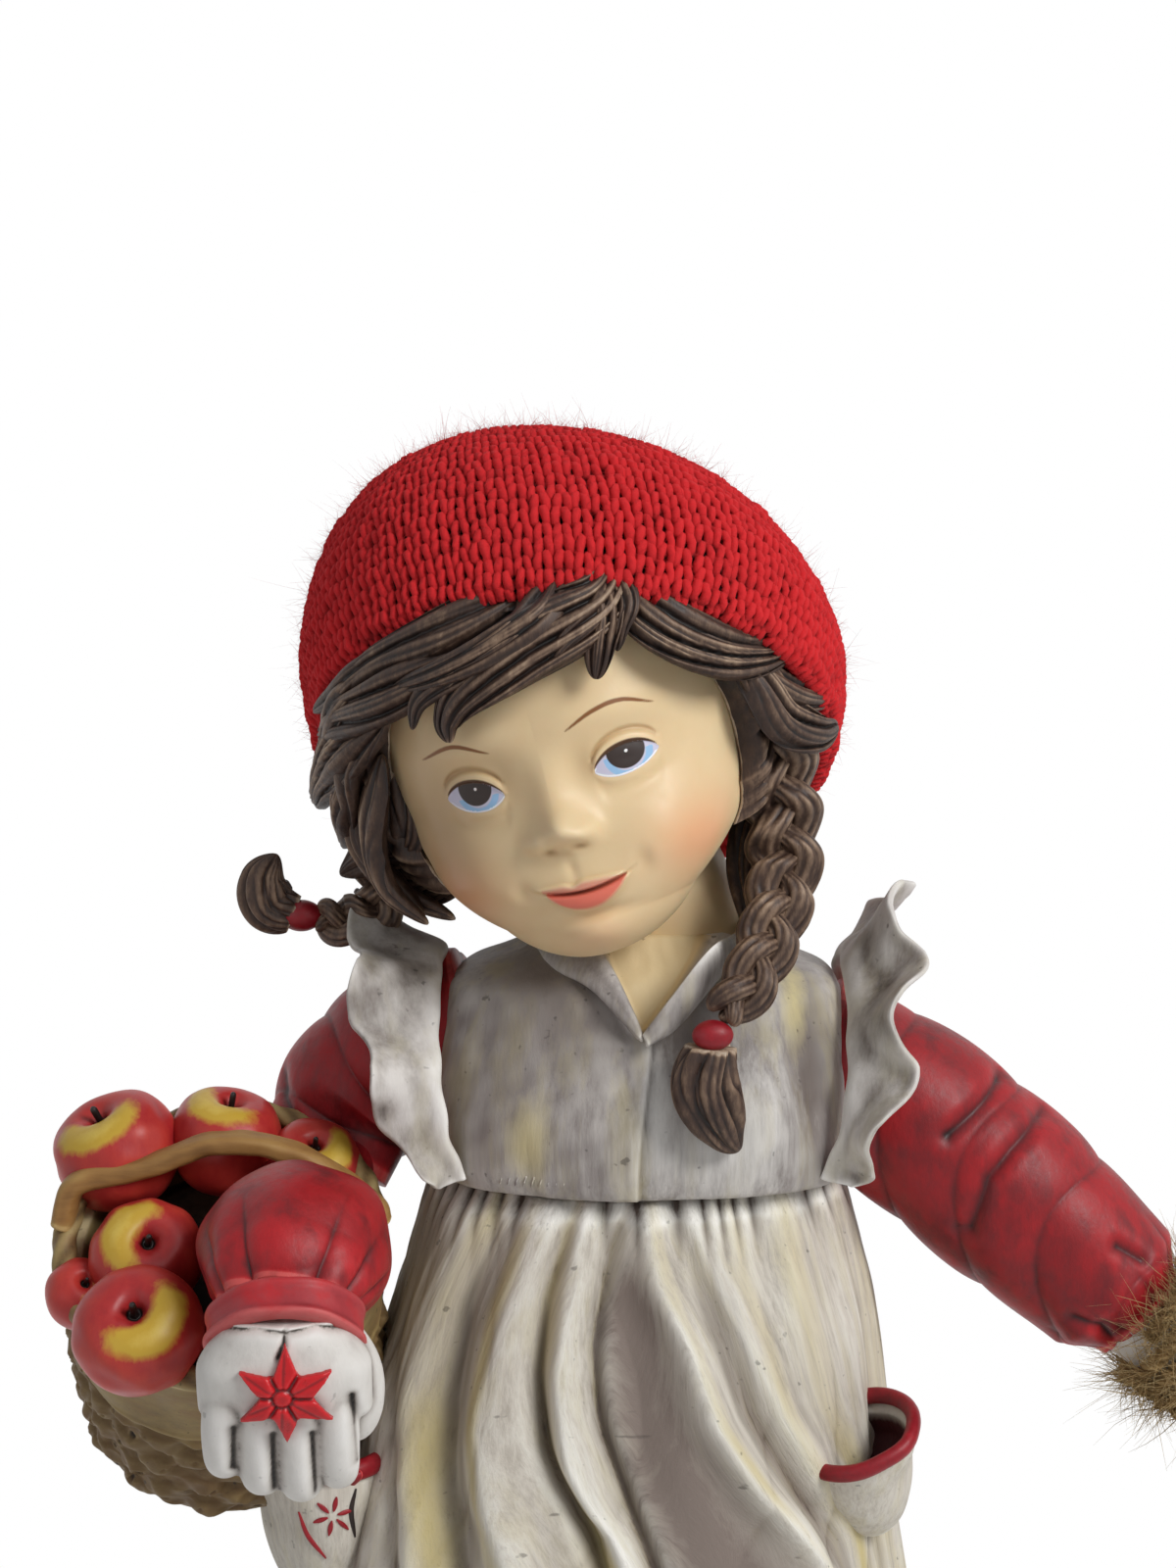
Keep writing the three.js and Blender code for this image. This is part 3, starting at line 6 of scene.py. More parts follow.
import bpy
import numpy as np
from mathutils import Matrix, Vector


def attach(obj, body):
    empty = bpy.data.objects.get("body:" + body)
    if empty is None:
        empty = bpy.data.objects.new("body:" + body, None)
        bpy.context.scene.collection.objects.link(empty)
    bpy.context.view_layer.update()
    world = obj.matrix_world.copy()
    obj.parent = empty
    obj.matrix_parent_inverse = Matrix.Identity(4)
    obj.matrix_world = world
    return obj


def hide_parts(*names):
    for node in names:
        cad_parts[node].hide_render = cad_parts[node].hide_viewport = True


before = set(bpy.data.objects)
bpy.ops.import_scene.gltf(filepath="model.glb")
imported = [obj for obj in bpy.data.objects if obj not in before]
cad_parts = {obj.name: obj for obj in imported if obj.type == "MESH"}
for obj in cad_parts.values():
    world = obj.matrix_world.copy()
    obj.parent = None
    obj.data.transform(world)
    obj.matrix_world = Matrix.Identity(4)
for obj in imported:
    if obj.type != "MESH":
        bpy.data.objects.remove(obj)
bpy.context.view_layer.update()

# Plinth: an oval block of cast resin that she stands on, painted as trodden snow. Its sides are
# rubbed down by hand, so they wander a little, and the paint is thick, matt and slightly grainy.
FELT_HIGH = 1.2
PLINTH_HIGH = 11.3
PLINTH_HALF_WIDE, PLINTH_HALF_DEEP = 54, 44
SNOW_DIP = 0.35  # from the solid's top down to the middle height of the snow's lumps


def ease(low, high, x):
    """A soft step from 0 at low to 1 at high."""
    t = np.clip((x - low) / (high - low), 0, 1)
    return t * t * (3 - 2 * t)


def hump(x, middle, reach):
    """1 at the middle, and nearly 0 at twice the reach from it."""
    return np.exp(-(((x - middle) / reach) ** 2))


def through(stations):
    """A smooth curve through the stations, read from 0 to 1."""
    p = np.array(stations, float).reshape(len(stations), -1)
    p = np.vstack([2 * p[0] - p[1], p, 2 * p[-1] - p[-2]])

    def read(t):
        x = np.clip(np.asarray(t, float), 0, 1) * (len(p) - 3)
        i = np.minimum(x.astype(int), len(p) - 4)
        w = (x - i)[..., None]
        a, b, c, d = p[i], p[i + 1], p[i + 2], p[i + 3]
        return b + 0.5 * w * (c - a + w * (2 * a - 5 * b + 4 * c - d + w * (3 * (b - c) + d - a)))

    return read


def oval(u, a, b, power=2.4):
    """An oval that is boxier than an ellipse: the point at angle u for half widths a and b."""
    c, s = np.cos(u), np.sin(u)
    r = (np.abs(c) ** power + np.abs(s) ** power) ** (-1 / power)
    return a * r * c, b * r * s


def rounds(across, along):
    """A grid of u, the angle once round, and v from 0 to 1."""
    return np.meshgrid(np.arange(across) / across * 2 * np.pi, np.linspace(0, 1, along + 1))


def ripple(x, y, z, size, seed):
    """Soft lumps of about the given size, from -1 to 1, as a thumb leaves them in clay."""
    draw = np.random.default_rng(seed)
    total = 0
    for _ in range(9):
        way = draw.normal(size=3)
        way *= 2 * np.pi / size * draw.uniform(0.7, 1.4) / np.linalg.norm(way)
        total = total + np.sin(way[0] * x + way[1] * y + way[2] * z + draw.uniform(0, 2 * np.pi))
    return total / 4.2


def stack(x, y, z):
    """A grid of points from its three coordinates, any of which may be one number for all."""
    return np.stack(np.broadcast_arrays(x, y, z), -1).astype(float)


def show(name, mesh):
    """A new piece in the scene, with the mesh's faces blended into each other."""
    mesh.polygons.foreach_set("use_smooth", np.ones(len(mesh.polygons), bool))
    piece = bpy.data.objects.new(name, mesh)
    bpy.context.collection.objects.link(piece)
    return piece


def skin(name, places, ends=True, closed=True):
    """A mesh over a grid of places, rows from end to end and columns once round."""
    rows, across = places.shape[:2]
    ids = np.arange(rows * across).reshape(rows, across)
    right = np.roll(ids, -1, 1) if closed else ids[:, 1:]
    left = ids if closed else ids[:, :-1]
    faces = np.stack([left[:-1], right[:-1], right[1:], left[1:]], -1).reshape(-1, 4).tolist()
    points = places.reshape(-1, 3)
    if ends and closed:
        points = np.vstack([points, places[0].mean(0), places[-1].mean(0)])
        low, high = len(points) - 2, len(points) - 1
        faces += [[b, a, low] for a, b in zip(left[0], right[0])]
        faces += [[a, b, high] for a, b in zip(left[-1], right[-1])]
    mesh = bpy.data.meshes.new(name)
    mesh.from_pydata((points * 0.001).tolist(), [], faces)
    mesh.update()
    if closed and volume(mesh) < 0:
        mesh.flip_normals()
    return show(name, mesh)


def spots(mesh):
    """Where the points of a mesh are, in mm."""
    at = np.empty(3 * len(mesh.vertices))
    mesh.vertices.foreach_get("co", at)
    return at.reshape(-1, 3) * 1000


def volume(mesh):
    """Six times what the mesh holds, and less than nothing where its faces look inwards."""
    mesh.calc_loop_triangles()
    corners = np.empty(3 * len(mesh.loop_triangles), np.int32)
    mesh.loop_triangles.foreach_get("vertices", corners)
    a, b, c = spots(mesh)[corners.reshape(-1, 3)].transpose(1, 0, 2)
    return np.einsum("ij,ij->", a, np.cross(b, c))


def note(piece, name, values):
    """Keeps one number for each point of the piece, for its paint to read."""
    values = np.asarray(values, np.float32).ravel()
    kept = np.zeros(len(piece.data.vertices), np.float32)
    kept[: len(values)] = values[: len(kept)]
    piece.data.attributes.new(name, "FLOAT", "POINT").data.foreach_set("value", kept)


def weather(piece, depth, passes, base=0.5):
    """Notes where the piece stands proud and where it is hollow: 0 in a groove, 1 on a ridge."""
    mesh = piece.data
    at = spots(mesh)
    edges = np.empty(2 * len(mesh.edges), np.int32)
    mesh.edges.foreach_get("vertices", edges)
    a, b = edges.reshape(-1, 2).T
    count = np.maximum(np.bincount(np.r_[a, b], minlength=len(at)), 1)
    soft = at
    for _ in range(passes):
        near = [np.bincount(np.r_[a, b], np.r_[soft[b, k], soft[a, k]], len(at)) for k in range(3)]
        soft = 0.5 * soft + 0.5 * np.stack(near, 1) / count[:, None]
    out = np.empty(3 * len(at))
    mesh.vertex_normals.foreach_get("vector", out)
    proud = np.einsum("ij,ij->i", at - soft, out.reshape(-1, 3))
    note(piece, "relief", np.clip(base + 0.5 * (proud - np.median(proud)) / depth, 0, 1))


def linear(colour):
    """An sRGB hex value as the linear colour that a shader takes."""
    channels = [int(colour[k : k + 2], 16) / 255 for k in (1, 3, 5)]
    return [c / 12.92 if c <= 0.04045 else ((c + 0.055) / 1.055) ** 2.4 for c in channels] + [1]


def add(tree, kind, links=None, **settings):
    """Adds a node: settings are its own, and links are its sockets' values or what feeds them."""
    node = tree.nodes.new(kind)
    for name, value in settings.items():
        setattr(node, name, value)
    for name, value in (links or {}).items():
        if isinstance(value, bpy.types.NodeSocket):
            tree.links.new(value, node.inputs[name])
        else:
            node.inputs[name].default_value = value
    return node


def bare_material(name):
    """A new material, its empty node tree, and the socket that says where on the piece a point is."""
    material = bpy.data.materials.new(name)
    material.use_nodes = True
    tree = material.node_tree
    tree.nodes.clear()
    return material, tree, add(tree, "ShaderNodeTexCoord").outputs["Object"]


def resin_paint(name, stops, grain=(1.2, 1.2, 6), streaky=0.3, drift=0.2, patch=16, rough=0.6,
                specks=0.0, tint=None, tinted=0.5, bump=0.12, level=0.0, wax=0.0, over=(), aside=None):
    """Cold-cast polyester resin under brushed acrylic. The colours run from what a dark wash leaves
    in the grooves to what a nearly dry brush leaves on the ridges; grain is the streaks' size in mm
    each way, and patch how far one mix of the paint goes before the next. Each entry of over is a
    field noted on the piece, a colour, where the colour starts and is full, and how ragged it is.
    aside is a field that says how far the brush went sideways along the folds, in metres."""
    material, tree, place = bare_material(name)

    def covered(under, held, start, full, most, shade):
        """The colour under, covered by a shade where held goes from start to full."""
        where = add(tree, "ShaderNodeMapRange", {0: held, 1: start, 2: full, 3: 0.0, 4: most}).outputs[0]
        layers = {0: where, 6: under, 7: linear(shade)}
        return add(tree, "ShaderNodeMix", layers, data_type="RGBA").outputs[2]

    if aside:
        swept = add(tree, "ShaderNodeAttribute", attribute_name=aside).outputs["Fac"]
        moved = add(tree, "ShaderNodeCombineXYZ", {"X": swept}).outputs[0]
        place = add(tree, "ShaderNodeVectorMath", {0: place, 1: moved}, operation="SUBTRACT").outputs[0]
    stand = add(tree, "ShaderNodeAttribute", attribute_name="relief").outputs["Fac"]
    laid = add(tree, "ShaderNodeMapping", {"Vector": place, "Scale": [1000 / g for g in grain]})
    streak = add(tree, "ShaderNodeTexNoise",
                 {"Vector": laid.outputs[0], "Scale": 1.0, "Detail": 5.0, "Roughness": 0.7}).outputs["Fac"]
    cloud = add(tree, "ShaderNodeTexNoise",
                {"Vector": place, "Scale": 1000 / patch, "Detail": 3.0, "Roughness": 0.6}).outputs["Fac"]
    brushed = add(tree, "ShaderNodeMath", {0: streak, 1: streaky, 2: stand}, operation="MULTIPLY_ADD")
    mixed = add(tree, "ShaderNodeMath", {0: cloud, 1: drift, 2: brushed.outputs[0]}, operation="MULTIPLY_ADD")
    centred = {0: mixed.outputs[0], 1: 0.5 * (streaky + drift) - level}
    even = add(tree, "ShaderNodeMath", centred, operation="SUBTRACT")
    ramp = add(tree, "ShaderNodeValToRGB", {"Fac": even.outputs[0]})
    while len(ramp.color_ramp.elements) < len(stops):
        ramp.color_ramp.elements.new(0.5)
    for element, (position, colour) in zip(ramp.color_ramp.elements, stops):
        element.position = position
        element.color = linear(colour)
    colour = ramp.outputs["Color"]
    if tint:
        veil = add(tree, "ShaderNodeTexNoise",
                   {"Vector": laid.outputs[0], "Scale": 0.35, "Detail": 4.0, "Roughness": 0.6}).outputs["Fac"]
        colour = covered(colour, veil, 0.48, 0.66, tinted, tint)
    for field, shade, start, full, ragged in over:
        held = add(tree, "ShaderNodeAttribute", attribute_name=field).outputs["Fac"]
        if ragged:
            torn = {0: streak, 1: ragged, 2: held}
            held = add(tree, "ShaderNodeMath", torn, operation="MULTIPLY_ADD").outputs[0]
            held = add(tree, "ShaderNodeMath", {0: held, 1: 0.5 * ragged}, operation="SUBTRACT").outputs[0]
        colour = covered(colour, held, start, full, 1.0, shade)
    if specks:
        dust = add(tree, "ShaderNodeTexNoise", {"Vector": place, "Scale": 1000 / 1.6, "Detail": 2.0})
        colour = covered(colour, dust.outputs["Fac"], 0.70, 0.76, specks, "#2b2522")
    satin = {0: streak, 1: 0.3, 2: 0.7, 3: rough - 0.07, 4: rough + 0.09}
    gloss = add(tree, "ShaderNodeMapRange", satin).outputs[0]
    raised = add(tree, "ShaderNodeBump", {"Height": streak, "Distance": bump * 0.001, "Strength": 0.8})
    shader = add(tree, "ShaderNodeBsdfPrincipled", {
        "Base Color": colour, "Roughness": gloss, "Normal": raised.outputs[0],
        "Specular IOR Level": 0.34, "Subsurface Weight": wax, "Subsurface Scale": 0.004,
    })
    add(tree, "ShaderNodeOutputMaterial", {"Surface": shader.outputs[0]})
    return material


def settle(piece, material, slot, *nodes):
    """Paints a piece, fixes it to the figure and hides the CAD nodes it stands for."""
    piece.data.materials.clear()
    piece.data.materials.append(material)
    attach(piece, "root")
    if nodes:
        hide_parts(*nodes)


u, v = rounds(200, 44)
edge = through([(0.96, 0), (1, 0.1), (1, 0.7), (0.97, 0.92), (0.9, 1)])(v)
wander = 1 + 0.018 * np.sin(3 * u + 0.6) + 0.012 * np.sin(5 * u)
x, y = oval(u, PLINTH_HALF_WIDE * edge[..., 0] * wander, PLINTH_HALF_DEEP * edge[..., 0] * wander)
lumps = 0.5 * ripple(x, y, 8 * v, 13, 3) + 0.22 * ripple(x, y, 8 * v, 4, 4)
x, y = x * (1 + 0.006 * lumps), y * (1 + 0.006 * lumps)
inner = np.linspace(1, 0.06, 40)[1:, None]
top = stack(x[-1:] * inner, y[-1:] * inner, 0)
trodden = 0.3 * ripple(top[..., 0], top[..., 1], 0, 17, 5) * (1 - inner ** 6)
top[..., 2] = FELT_HIGH + PLINTH_HIGH - SNOW_DIP + trodden
side = stack(x, y, FELT_HIGH + (PLINTH_HIGH - SNOW_DIP) * edge[..., 1])
plinth = skin("plinth_snow", np.concatenate([side, top]))
weather(plinth, 0.4, 10)
# The snow's hollows are painted bluish grey as painted shade.
snow = resin_paint(
    "snow_white_acrylic",
    [(0.0, "#8f949b"), (0.3, "#c0c4c9"), (0.55, "#dcdddc"), (1.0, "#eeeeeb")],
    grain=(2.4, 2.4, 2.4), patch=22, rough=0.72, bump=0.2,
)
settle(plinth, snow, "snow_paint", "plinth")


# Felt: a wool felt pad glued under the plinth so that it doesn't scratch the shelf. Pressed
# wool has no weave: short fibres lie all ways and scatter the light.
def wool_felt():
    material, tree, place = bare_material("pressed_wool_felt")
    fibre = add(tree, "ShaderNodeTexNoise",
                {"Vector": place, "Scale": 1000 / 0.7, "Detail": 6.0, "Roughness": 0.8})
    ramp = add(tree, "ShaderNodeValToRGB", {"Fac": fibre.outputs["Fac"]})
    ramp.color_ramp.elements[0].color = linear("#2b3429")
    ramp.color_ramp.elements[1].color = linear("#55634e")
    raised = add(tree, "ShaderNodeBump", {"Height": fibre.outputs["Fac"], "Distance": 0.0003})
    shader = add(tree, "ShaderNodeBsdfPrincipled", {
        "Base Color": ramp.outputs[0], "Roughness": 0.95, "Normal": raised.outputs[0],
        "Sheen Weight": 0.3, "Sheen Roughness": 0.5,
    })
    add(tree, "ShaderNodeOutputMaterial", {"Surface": shader.outputs[0]})
    return material


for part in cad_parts["felt_pad"].material_slots:
    part.material = wool_felt()


# Leg pins: drawn mild-steel wire, 3 mm thick, cast into the skirt and glued down into the
# plinth through boots and stockings. Drawing leaves fine scratches along the wire.
def drawn_steel():
    material, tree, place = bare_material("drawn_mild_steel")
    laid = add(tree, "ShaderNodeMapping", {"Vector": place, "Scale": (1000 / 0.25, 1000 / 0.25, 1000 / 9)})
    scratch = add(tree, "ShaderNodeTexNoise", {"Vector": laid.outputs[0], "Scale": 1.0, "Detail": 4.0})
    gloss = add(tree, "ShaderNodeMapRange", {0: scratch.outputs["Fac"], 1: 0.3, 2: 0.7, 3: 0.28, 4: 0.45})
    ramp = add(tree, "ShaderNodeValToRGB", {"Fac": scratch.outputs["Fac"]})
    ramp.color_ramp.elements[0].color = linear("#8b8c8e")
    ramp.color_ramp.elements[1].color = linear("#b4b5b6")
    shader = add(tree, "ShaderNodeBsdfPrincipled",
                 {"Base Color": ramp.outputs[0], "Metallic": 1.0, "Roughness": gloss.outputs[0]})
    add(tree, "ShaderNodeOutputMaterial", {"Surface": shader.outputs[0]})
    return material


pin_steel = drawn_steel()
for name in ("right_leg_pin", "left_leg_pin"):
    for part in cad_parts[name].material_slots:
        part.material = pin_steel


# Boots and stockings: cast with the legs and painted, brown boots with a turned lip and pale
# stockings ribbed down the leg. The two feet stand a little apart and turned out.
SOLE_Z = FELT_HIGH + PLINTH_HIGH
HEM_Z = SOLE_Z + 58
STANDS = {"right": (-13.5, -3, -12), "left": (13.5, 4, 14)}


def gather(name, grids):
    """One piece made of several closed skins that lie together."""
    at, faces, start = [], [], 0
    for grid in grids:
        part = skin(name, grid)
        at.append(spots(part.data) * 0.001)
        faces += [[start + k for k in polygon.vertices] for polygon in part.data.polygons]
        start += len(at[-1])
        bpy.data.objects.remove(part)
    mesh = bpy.data.meshes.new(name)
    mesh.from_pydata(np.vstack(at).tolist(), [], faces)
    return show(name, mesh)


def fuse(name, grids, voxel, soften):
    """Joins closed skins into one, as clay is pressed together, and rounds what lies between."""
    return recast(gather(name, grids), voxel, soften)


def recast(piece, voxel, soften):
    """Covers a piece with an even fine mesh, in place of the one it has."""
    remesh = piece.modifiers.new("even", "REMESH")
    remesh.mode = "VOXEL"
    remesh.voxel_size = voxel * 0.001
    smooth = piece.modifiers.new("round", "SMOOTH")
    smooth.factor = 0.5
    smooth.iterations = soften
    bpy.context.view_layer.update()
    made = bpy.data.meshes.new_from_object(piece.evaluated_get(bpy.context.evaluated_depsgraph_get()))
    piece.modifiers.clear()
    piece.data = made
    made.polygons.foreach_set("use_smooth", np.ones(len(made.polygons), bool))
    return piece


def standing(x, y, turn):
    """Places points given about a foot's own heel line into the figure's frame."""
    c, s = math.cos(math.radians(turn)), math.sin(math.radians(turn))

    def place(grid):
        return stack(x + c * grid[..., 0] - s * grid[..., 1], y + s * grid[..., 0] + c * grid[..., 1],
                     SOLE_Z + grid[..., 2])

    return place


boot_brown = resin_paint(
    "boot_brown_acrylic",
    [(0.0, "#120c0a"), (0.35, "#3a261c"), (0.6, "#573a2a"), (1.0, "#8b6a50")],
    grain=(1.5, 1.5, 3), rough=0.5, patch=12,
)
stocking_grey = resin_paint(
    "stocking_grey_acrylic",
    [(0.0, "#4b443f"), (0.35, "#8d867f"), (0.6, "#b3ada5"), (1.0, "#d5d1ca")],
    grain=(1.0, 1.0, 7), rough=0.66, patch=14,
)
for side_name, (x0, y0, turn) in STANDS.items():
    place = standing(x0, y0, turn)
    u, v = rounds(96, 60)
    creases = 0.7 * np.sin(4.4 * np.pi * v + np.sin(u)) * hump(v, 0.45, 0.3)
    wide = 10.1 - 1.2 * hump(v, 0.4, 0.3) + creases + 1.4 * hump(v, 0.94, 0.08)
    shaft = stack(wide * np.cos(u), 1.05 * wide * np.sin(u), 0.4 + 32.6 * v)
    round_off = np.abs(2 * v - 1)
    wide = (8 + 2.2 * hump(v, 0.72, 0.25)) * np.sqrt(1.02 - round_off ** 3.4)
    high = (15.5 - 6.5 * ease(0.35, 0.75, v)) * np.sqrt(1.02 - round_off ** 5)
    across, rise = oval(u, wide, high / 2, 2.8)
    foot = stack(across, 11.6 - 37 * v, np.maximum(0, rise + high / 2))
    wide, long = 10.8 * np.cos(u), 18.9 * np.sin(u)
    edge = np.sqrt(np.clip(1 - (2 * v - 1) ** 8, 0, 1)) * 0.06 + 0.94
    sole = stack(wide * edge, long * edge - 6.9, 3 * v)
    boot = fuse(f"{side_name}_boot_cast", [place(shaft), place(foot), place(sole)], 0.5, 5)
    weather(boot, 0.3, 18)
    settle(boot, boot_brown, "boot_paint", f"{side_name}_boot")
    u, v = rounds(120, 50)
    wide = 6.5 + ease(0.2, 0.9, v) + 0.16 * np.cos(24 * u)
    leg = skin(f"{side_name}_stocking_ribbed", stack(
        x0 + wide * np.cos(u), y0 + wide * np.sin(u), SOLE_Z + 11.6 + (HEM_Z + 20 - SOLE_Z - 11.6) * v))
    weather(leg, 0.15, 8)
    settle(leg, stocking_grey, "stocking_paint", f"{side_name}_stocking")

# Dress: its hem shows under the pinafore, in small waves. It is cast with the skirt, goes up
# inside it and is painted in the same cream.
SKIRT_HIGH = 118
APRON_Z = HEM_Z + 9
WAIST_Z = APRON_Z + SKIRT_HIGH
WAIST_HALF_WIDE, WAIST_HALF_DEEP = 28.5, 21
DRESS_LONG, DRESS_UP = 25, 16  # the dress's length, and how far of it goes up into the skirt
right_half = through([WAIST_HALF_WIDE, 35, 43, 51, 55, 57])
left_half = through([WAIST_HALF_WIDE, 34, 35.5, 38, 45, 50])
half_deep = through([WAIST_HALF_DEEP, 27, 31, 35, 38, 40])


def gathered(u, v):
    """How far the gathers of the skirt stand out at angle u and height v, all the way round."""
    turn = np.where(u > np.pi, u - 2 * np.pi, u)
    sway = 0.3 * np.sin(np.pi * np.minimum(1, v / 0.5)) * hump(turn, -np.pi / 2, 1) - 0.25 * v * v
    across = turn + 0.1 * np.sin(3 * turn + 1) - sway
    ridge = np.abs(np.sin(7 * across)) ** 0.75
    return (0.9 + 3.3 * ease(0, 0.75, v)) * (ridge - 0.6) + 1.6 * v * np.sin(3 * across + 0.7)


def skirt_ring(u, v, out):
    """The skirt's outline at share v of the way down, moved out by so many mm."""
    half = np.where(np.cos(u) < 0, right_half(v)[..., 0], left_half(v)[..., 0])
    return oval(u, half + out, half_deep(v)[..., 0] + out, 2.1)


apron_cream = resin_paint(
    "apron_cream_acrylic",
    [
        (0.0, "#251c17"), (0.1, "#54473c"), (0.22, "#867b6e"), (0.34, "#a69d91"), (0.46, "#bab2a6"),
        (0.6, "#d2cbbf"), (0.76, "#e6e2d7"), (1.0, "#f5f2ea")
    ],
    grain=(0.75, 0.75, 13), streaky=0.66, drift=0.3, patch=16, rough=0.64, specks=0.5, tint="#cfc495",
    tinted=0.22, bump=0.26, level=0.09, aside="aside",
    # Laid over: mauve grey as painted shade, dark brown as wash and painted shade, dark maroon as painted
    # shade in the pockets.
    over=[
        ("glaze", "#d0bf82", 0.1, 1.2, 0.7), ("mauve_shade", "#84776f", 0.1, 1.15, 1.5),
        ("wash_and_shade", "#3f342d", 0.2, 1.2, 0.7), ("inside", "#3c1013", 0.02, 0.3, 0.2)
    ],
)
u, v = rounds(300, 60)
below = v * DRESS_LONG
wave = 1.1 * np.sin(11 * u) * ease(0.4, 1, v)
at = np.minimum(1, 1 - (DRESS_UP - below) / SKIRT_HIGH)
x, y = skirt_ring(u, at, -4.5 - 2.5 * (1 - ease(0.6, 1, v)) + wave + 0.25 * gathered(u, at))
dress = skin("dress_hem_cast", stack(x, y, APRON_Z + DRESS_UP - below))
weather(dress, 0.3, 20)
settle(dress, apron_cream, "cream_paint", "dress_hem")

# Pinafore skirt: cast resin modelled as heavy cloth gathered at the waist. A few big folds run down
# the front and lean to her left; a dark wash, with painted shade in it, marks where each fold starts
# and darkens the top edge under the bodice. The broad flanks of the big folds are painted mauve grey
# as painted shade.
FRONT_FOLDS = [  # x and z down the fold, half width, height
    ([(-24.8, 196), (-31.8, 179), (-33.7, 167), (-35.6, 155), (-37, 110), (-38, 79)], 2.6, 1.3),
    ([(-27, 197), (-29, 187), (-31.5, 177), (-32, 160), (-33, 120)], 1.0, -1.5),
    ([(-20, 197), (-26.7, 182), (-30.4, 169), (-30.6, 159), (-29.5, 148), (-27, 110), (-26, 79)], 3.0, 2.1),
    ([(-17.3, 197), (-22.6, 183), (-24.9, 170), (-25.1, 158), (-23.7, 149), (-20, 110), (-19, 79)],
     2.0, -2.1),
    ([(-11.3, 198), (-17.2, 181), (-19.6, 168), (-19.1, 159), (-15.8, 150), (-9, 120), (-6, 79)], 3.4, 2.8),
    ([(-8.1, 198), (-12, 185), (-13.2, 175.5), (-12.3, 166), (-8, 158), (-4.8, 151), (4, 120), (8, 79)],
     1.1, -2.4),
    ([(-6.8, 198), (-9.2, 182), (-10, 172.6), (-7.4, 160), (-1.6, 151), (8, 122), (13, 79)], 1.9, 1.9),
    ([(-1.5, 198), (-4.2, 189.6), (-6.2, 179), (-5.6, 170), (-2.2, 160), (1.6, 151), (12, 124), (18, 79)],
     1.0, -2.2),
    ([(-2.2, 195), (-1.6, 179), (1.4, 163), (7, 150), (18, 124), (24, 79)], 3.2, -1.3),
    ([(0.1, 198), (2.3, 188), (6.2, 179), (9.4, 169.5), (14.7, 161), (22.8, 149.4), (31, 128), (35, 79)],
     2.4, 3.0),
    ([(4, 198), (7.6, 188), (12.1, 176), (17, 166), (24, 154), (34, 134)], 1.5, -1.4),
    ([(6.9, 197), (10.2, 188), (14.7, 178), (19, 169), (27, 156)], 2.0, 1.3),
    ([(14.9, 197.5), (17.2, 190), (18.1, 182)], 1.4, -1.5),
    ([(19.7, 197), (20.6, 187), (21.5, 177)], 1.8, 0.9),
    ([(24.4, 197), (26, 189), (27.4, 181)], 0.9, -1.1),
]


def fold(x, z, line, wide, high):
    """A fold that runs down through the line's points, given from top to bottom."""
    xs, zs = through(line)(np.linspace(0, 1, 120)).T
    order = np.argsort(zs)
    centre = np.interp(z, zs[order], xs[order])
    fade = ease(zs.max() + 3, zs.max() - 4, z) if high > 0 else ease(zs.max() + 2, zs.max(), z)
    fade = fade * (ease(zs.min() - 8, zs.min() + 10, z) if zs.min() > 85 else 1)
    wide = wide * (1.25 if high > 0 else 1.4)
    return (1.1 if high > 0 else 0.95) * high * np.exp(-np.abs((x - centre) / wide) ** 1.8) * fade


u, v = rounds(740, 230)
front = ease(0.1, 0.55, -np.sin(u))
x, y = skirt_ring(u, v, 0)
z = WAIST_Z - SKIRT_HIGH * v
shape = sum(fold(x, z, *stroke) for stroke in FRONT_FOLDS)
shape = shape * (0.55 + 0.45 * ease(0, 0.25, v)) + 0.35 * gathered(u, v)
tuck = np.abs(np.sin(19 * u + 2.4 * np.sin(5 * u) + np.sin(11 * u)))
tucks = 0.6 * (tuck - 0.6) * hump(v, 0.01, 0.05) - 0.5 * hump(v, 0, 0.03)
out = front * shape + (1 - front) * gathered(u, v) + tucks + 1.2 * hump(v, 1, 0.03)
out = out + 0.3 * ripple(x, y, 0.35 * z, 11, 7) * ease(0.05, 0.3, v)
long_folds = [  # those that run from the waist to the skirt's foot
    np.array(line, float) for line, _, _ in FRONT_FOLDS if line[-1][1] < APRON_Z and line[0][1] > WAIST_Z - 2
]
beyond = 60  # past either side of the skirt
starts = [-beyond] + [line[0, 0] for line in long_folds] + [beyond]
from_waist = np.empty_like(x)
for k, height in enumerate(z[:, 0]):  # where cloth here starts at the waist, going by the folds beside it
    reached = [np.interp(height, line[::-1, 1], line[::-1, 0]) for line in long_folds]
    from_waist[k] = np.interp(x[k], [-beyond] + reached + [beyond], starts)
swept = front * (x - from_waist)
out = out + 0.1 * ripple(x - swept, y, 0.07 * z, 1.9, 12) + 0.16 * ripple(x - swept, y, 0.05 * z, 4, 13)
x, y = skirt_ring(u, v, out)
skirt = skin("pinafore_skirt_cast", stack(x, y, z))
weather(skirt, 0.56, 30)
note(skirt, "aside", 0.001 * swept)
# Dark wash and painted shade: down the deep valleys of the front, along the top edge under the bodice, and
# between the gathers there.
valleys = (
    hump(from_waist, -17.6, 0.7) + 1.2 * hump(from_waist, -8.3, 0.45) + 1.2 * hump(from_waist, -1.6, 0.35)
    + 0.6 * hump(from_waist, 5, 0.8)
)
valleys = front * valleys * ease(0.02, 0.15, v)
note(skirt, "wash_and_shade", 0.7 * valleys + 0.5 * hump(v, 0, 0.02) + 0.9 * (1 - tuck) * hump(v, 0.01, 0.04))
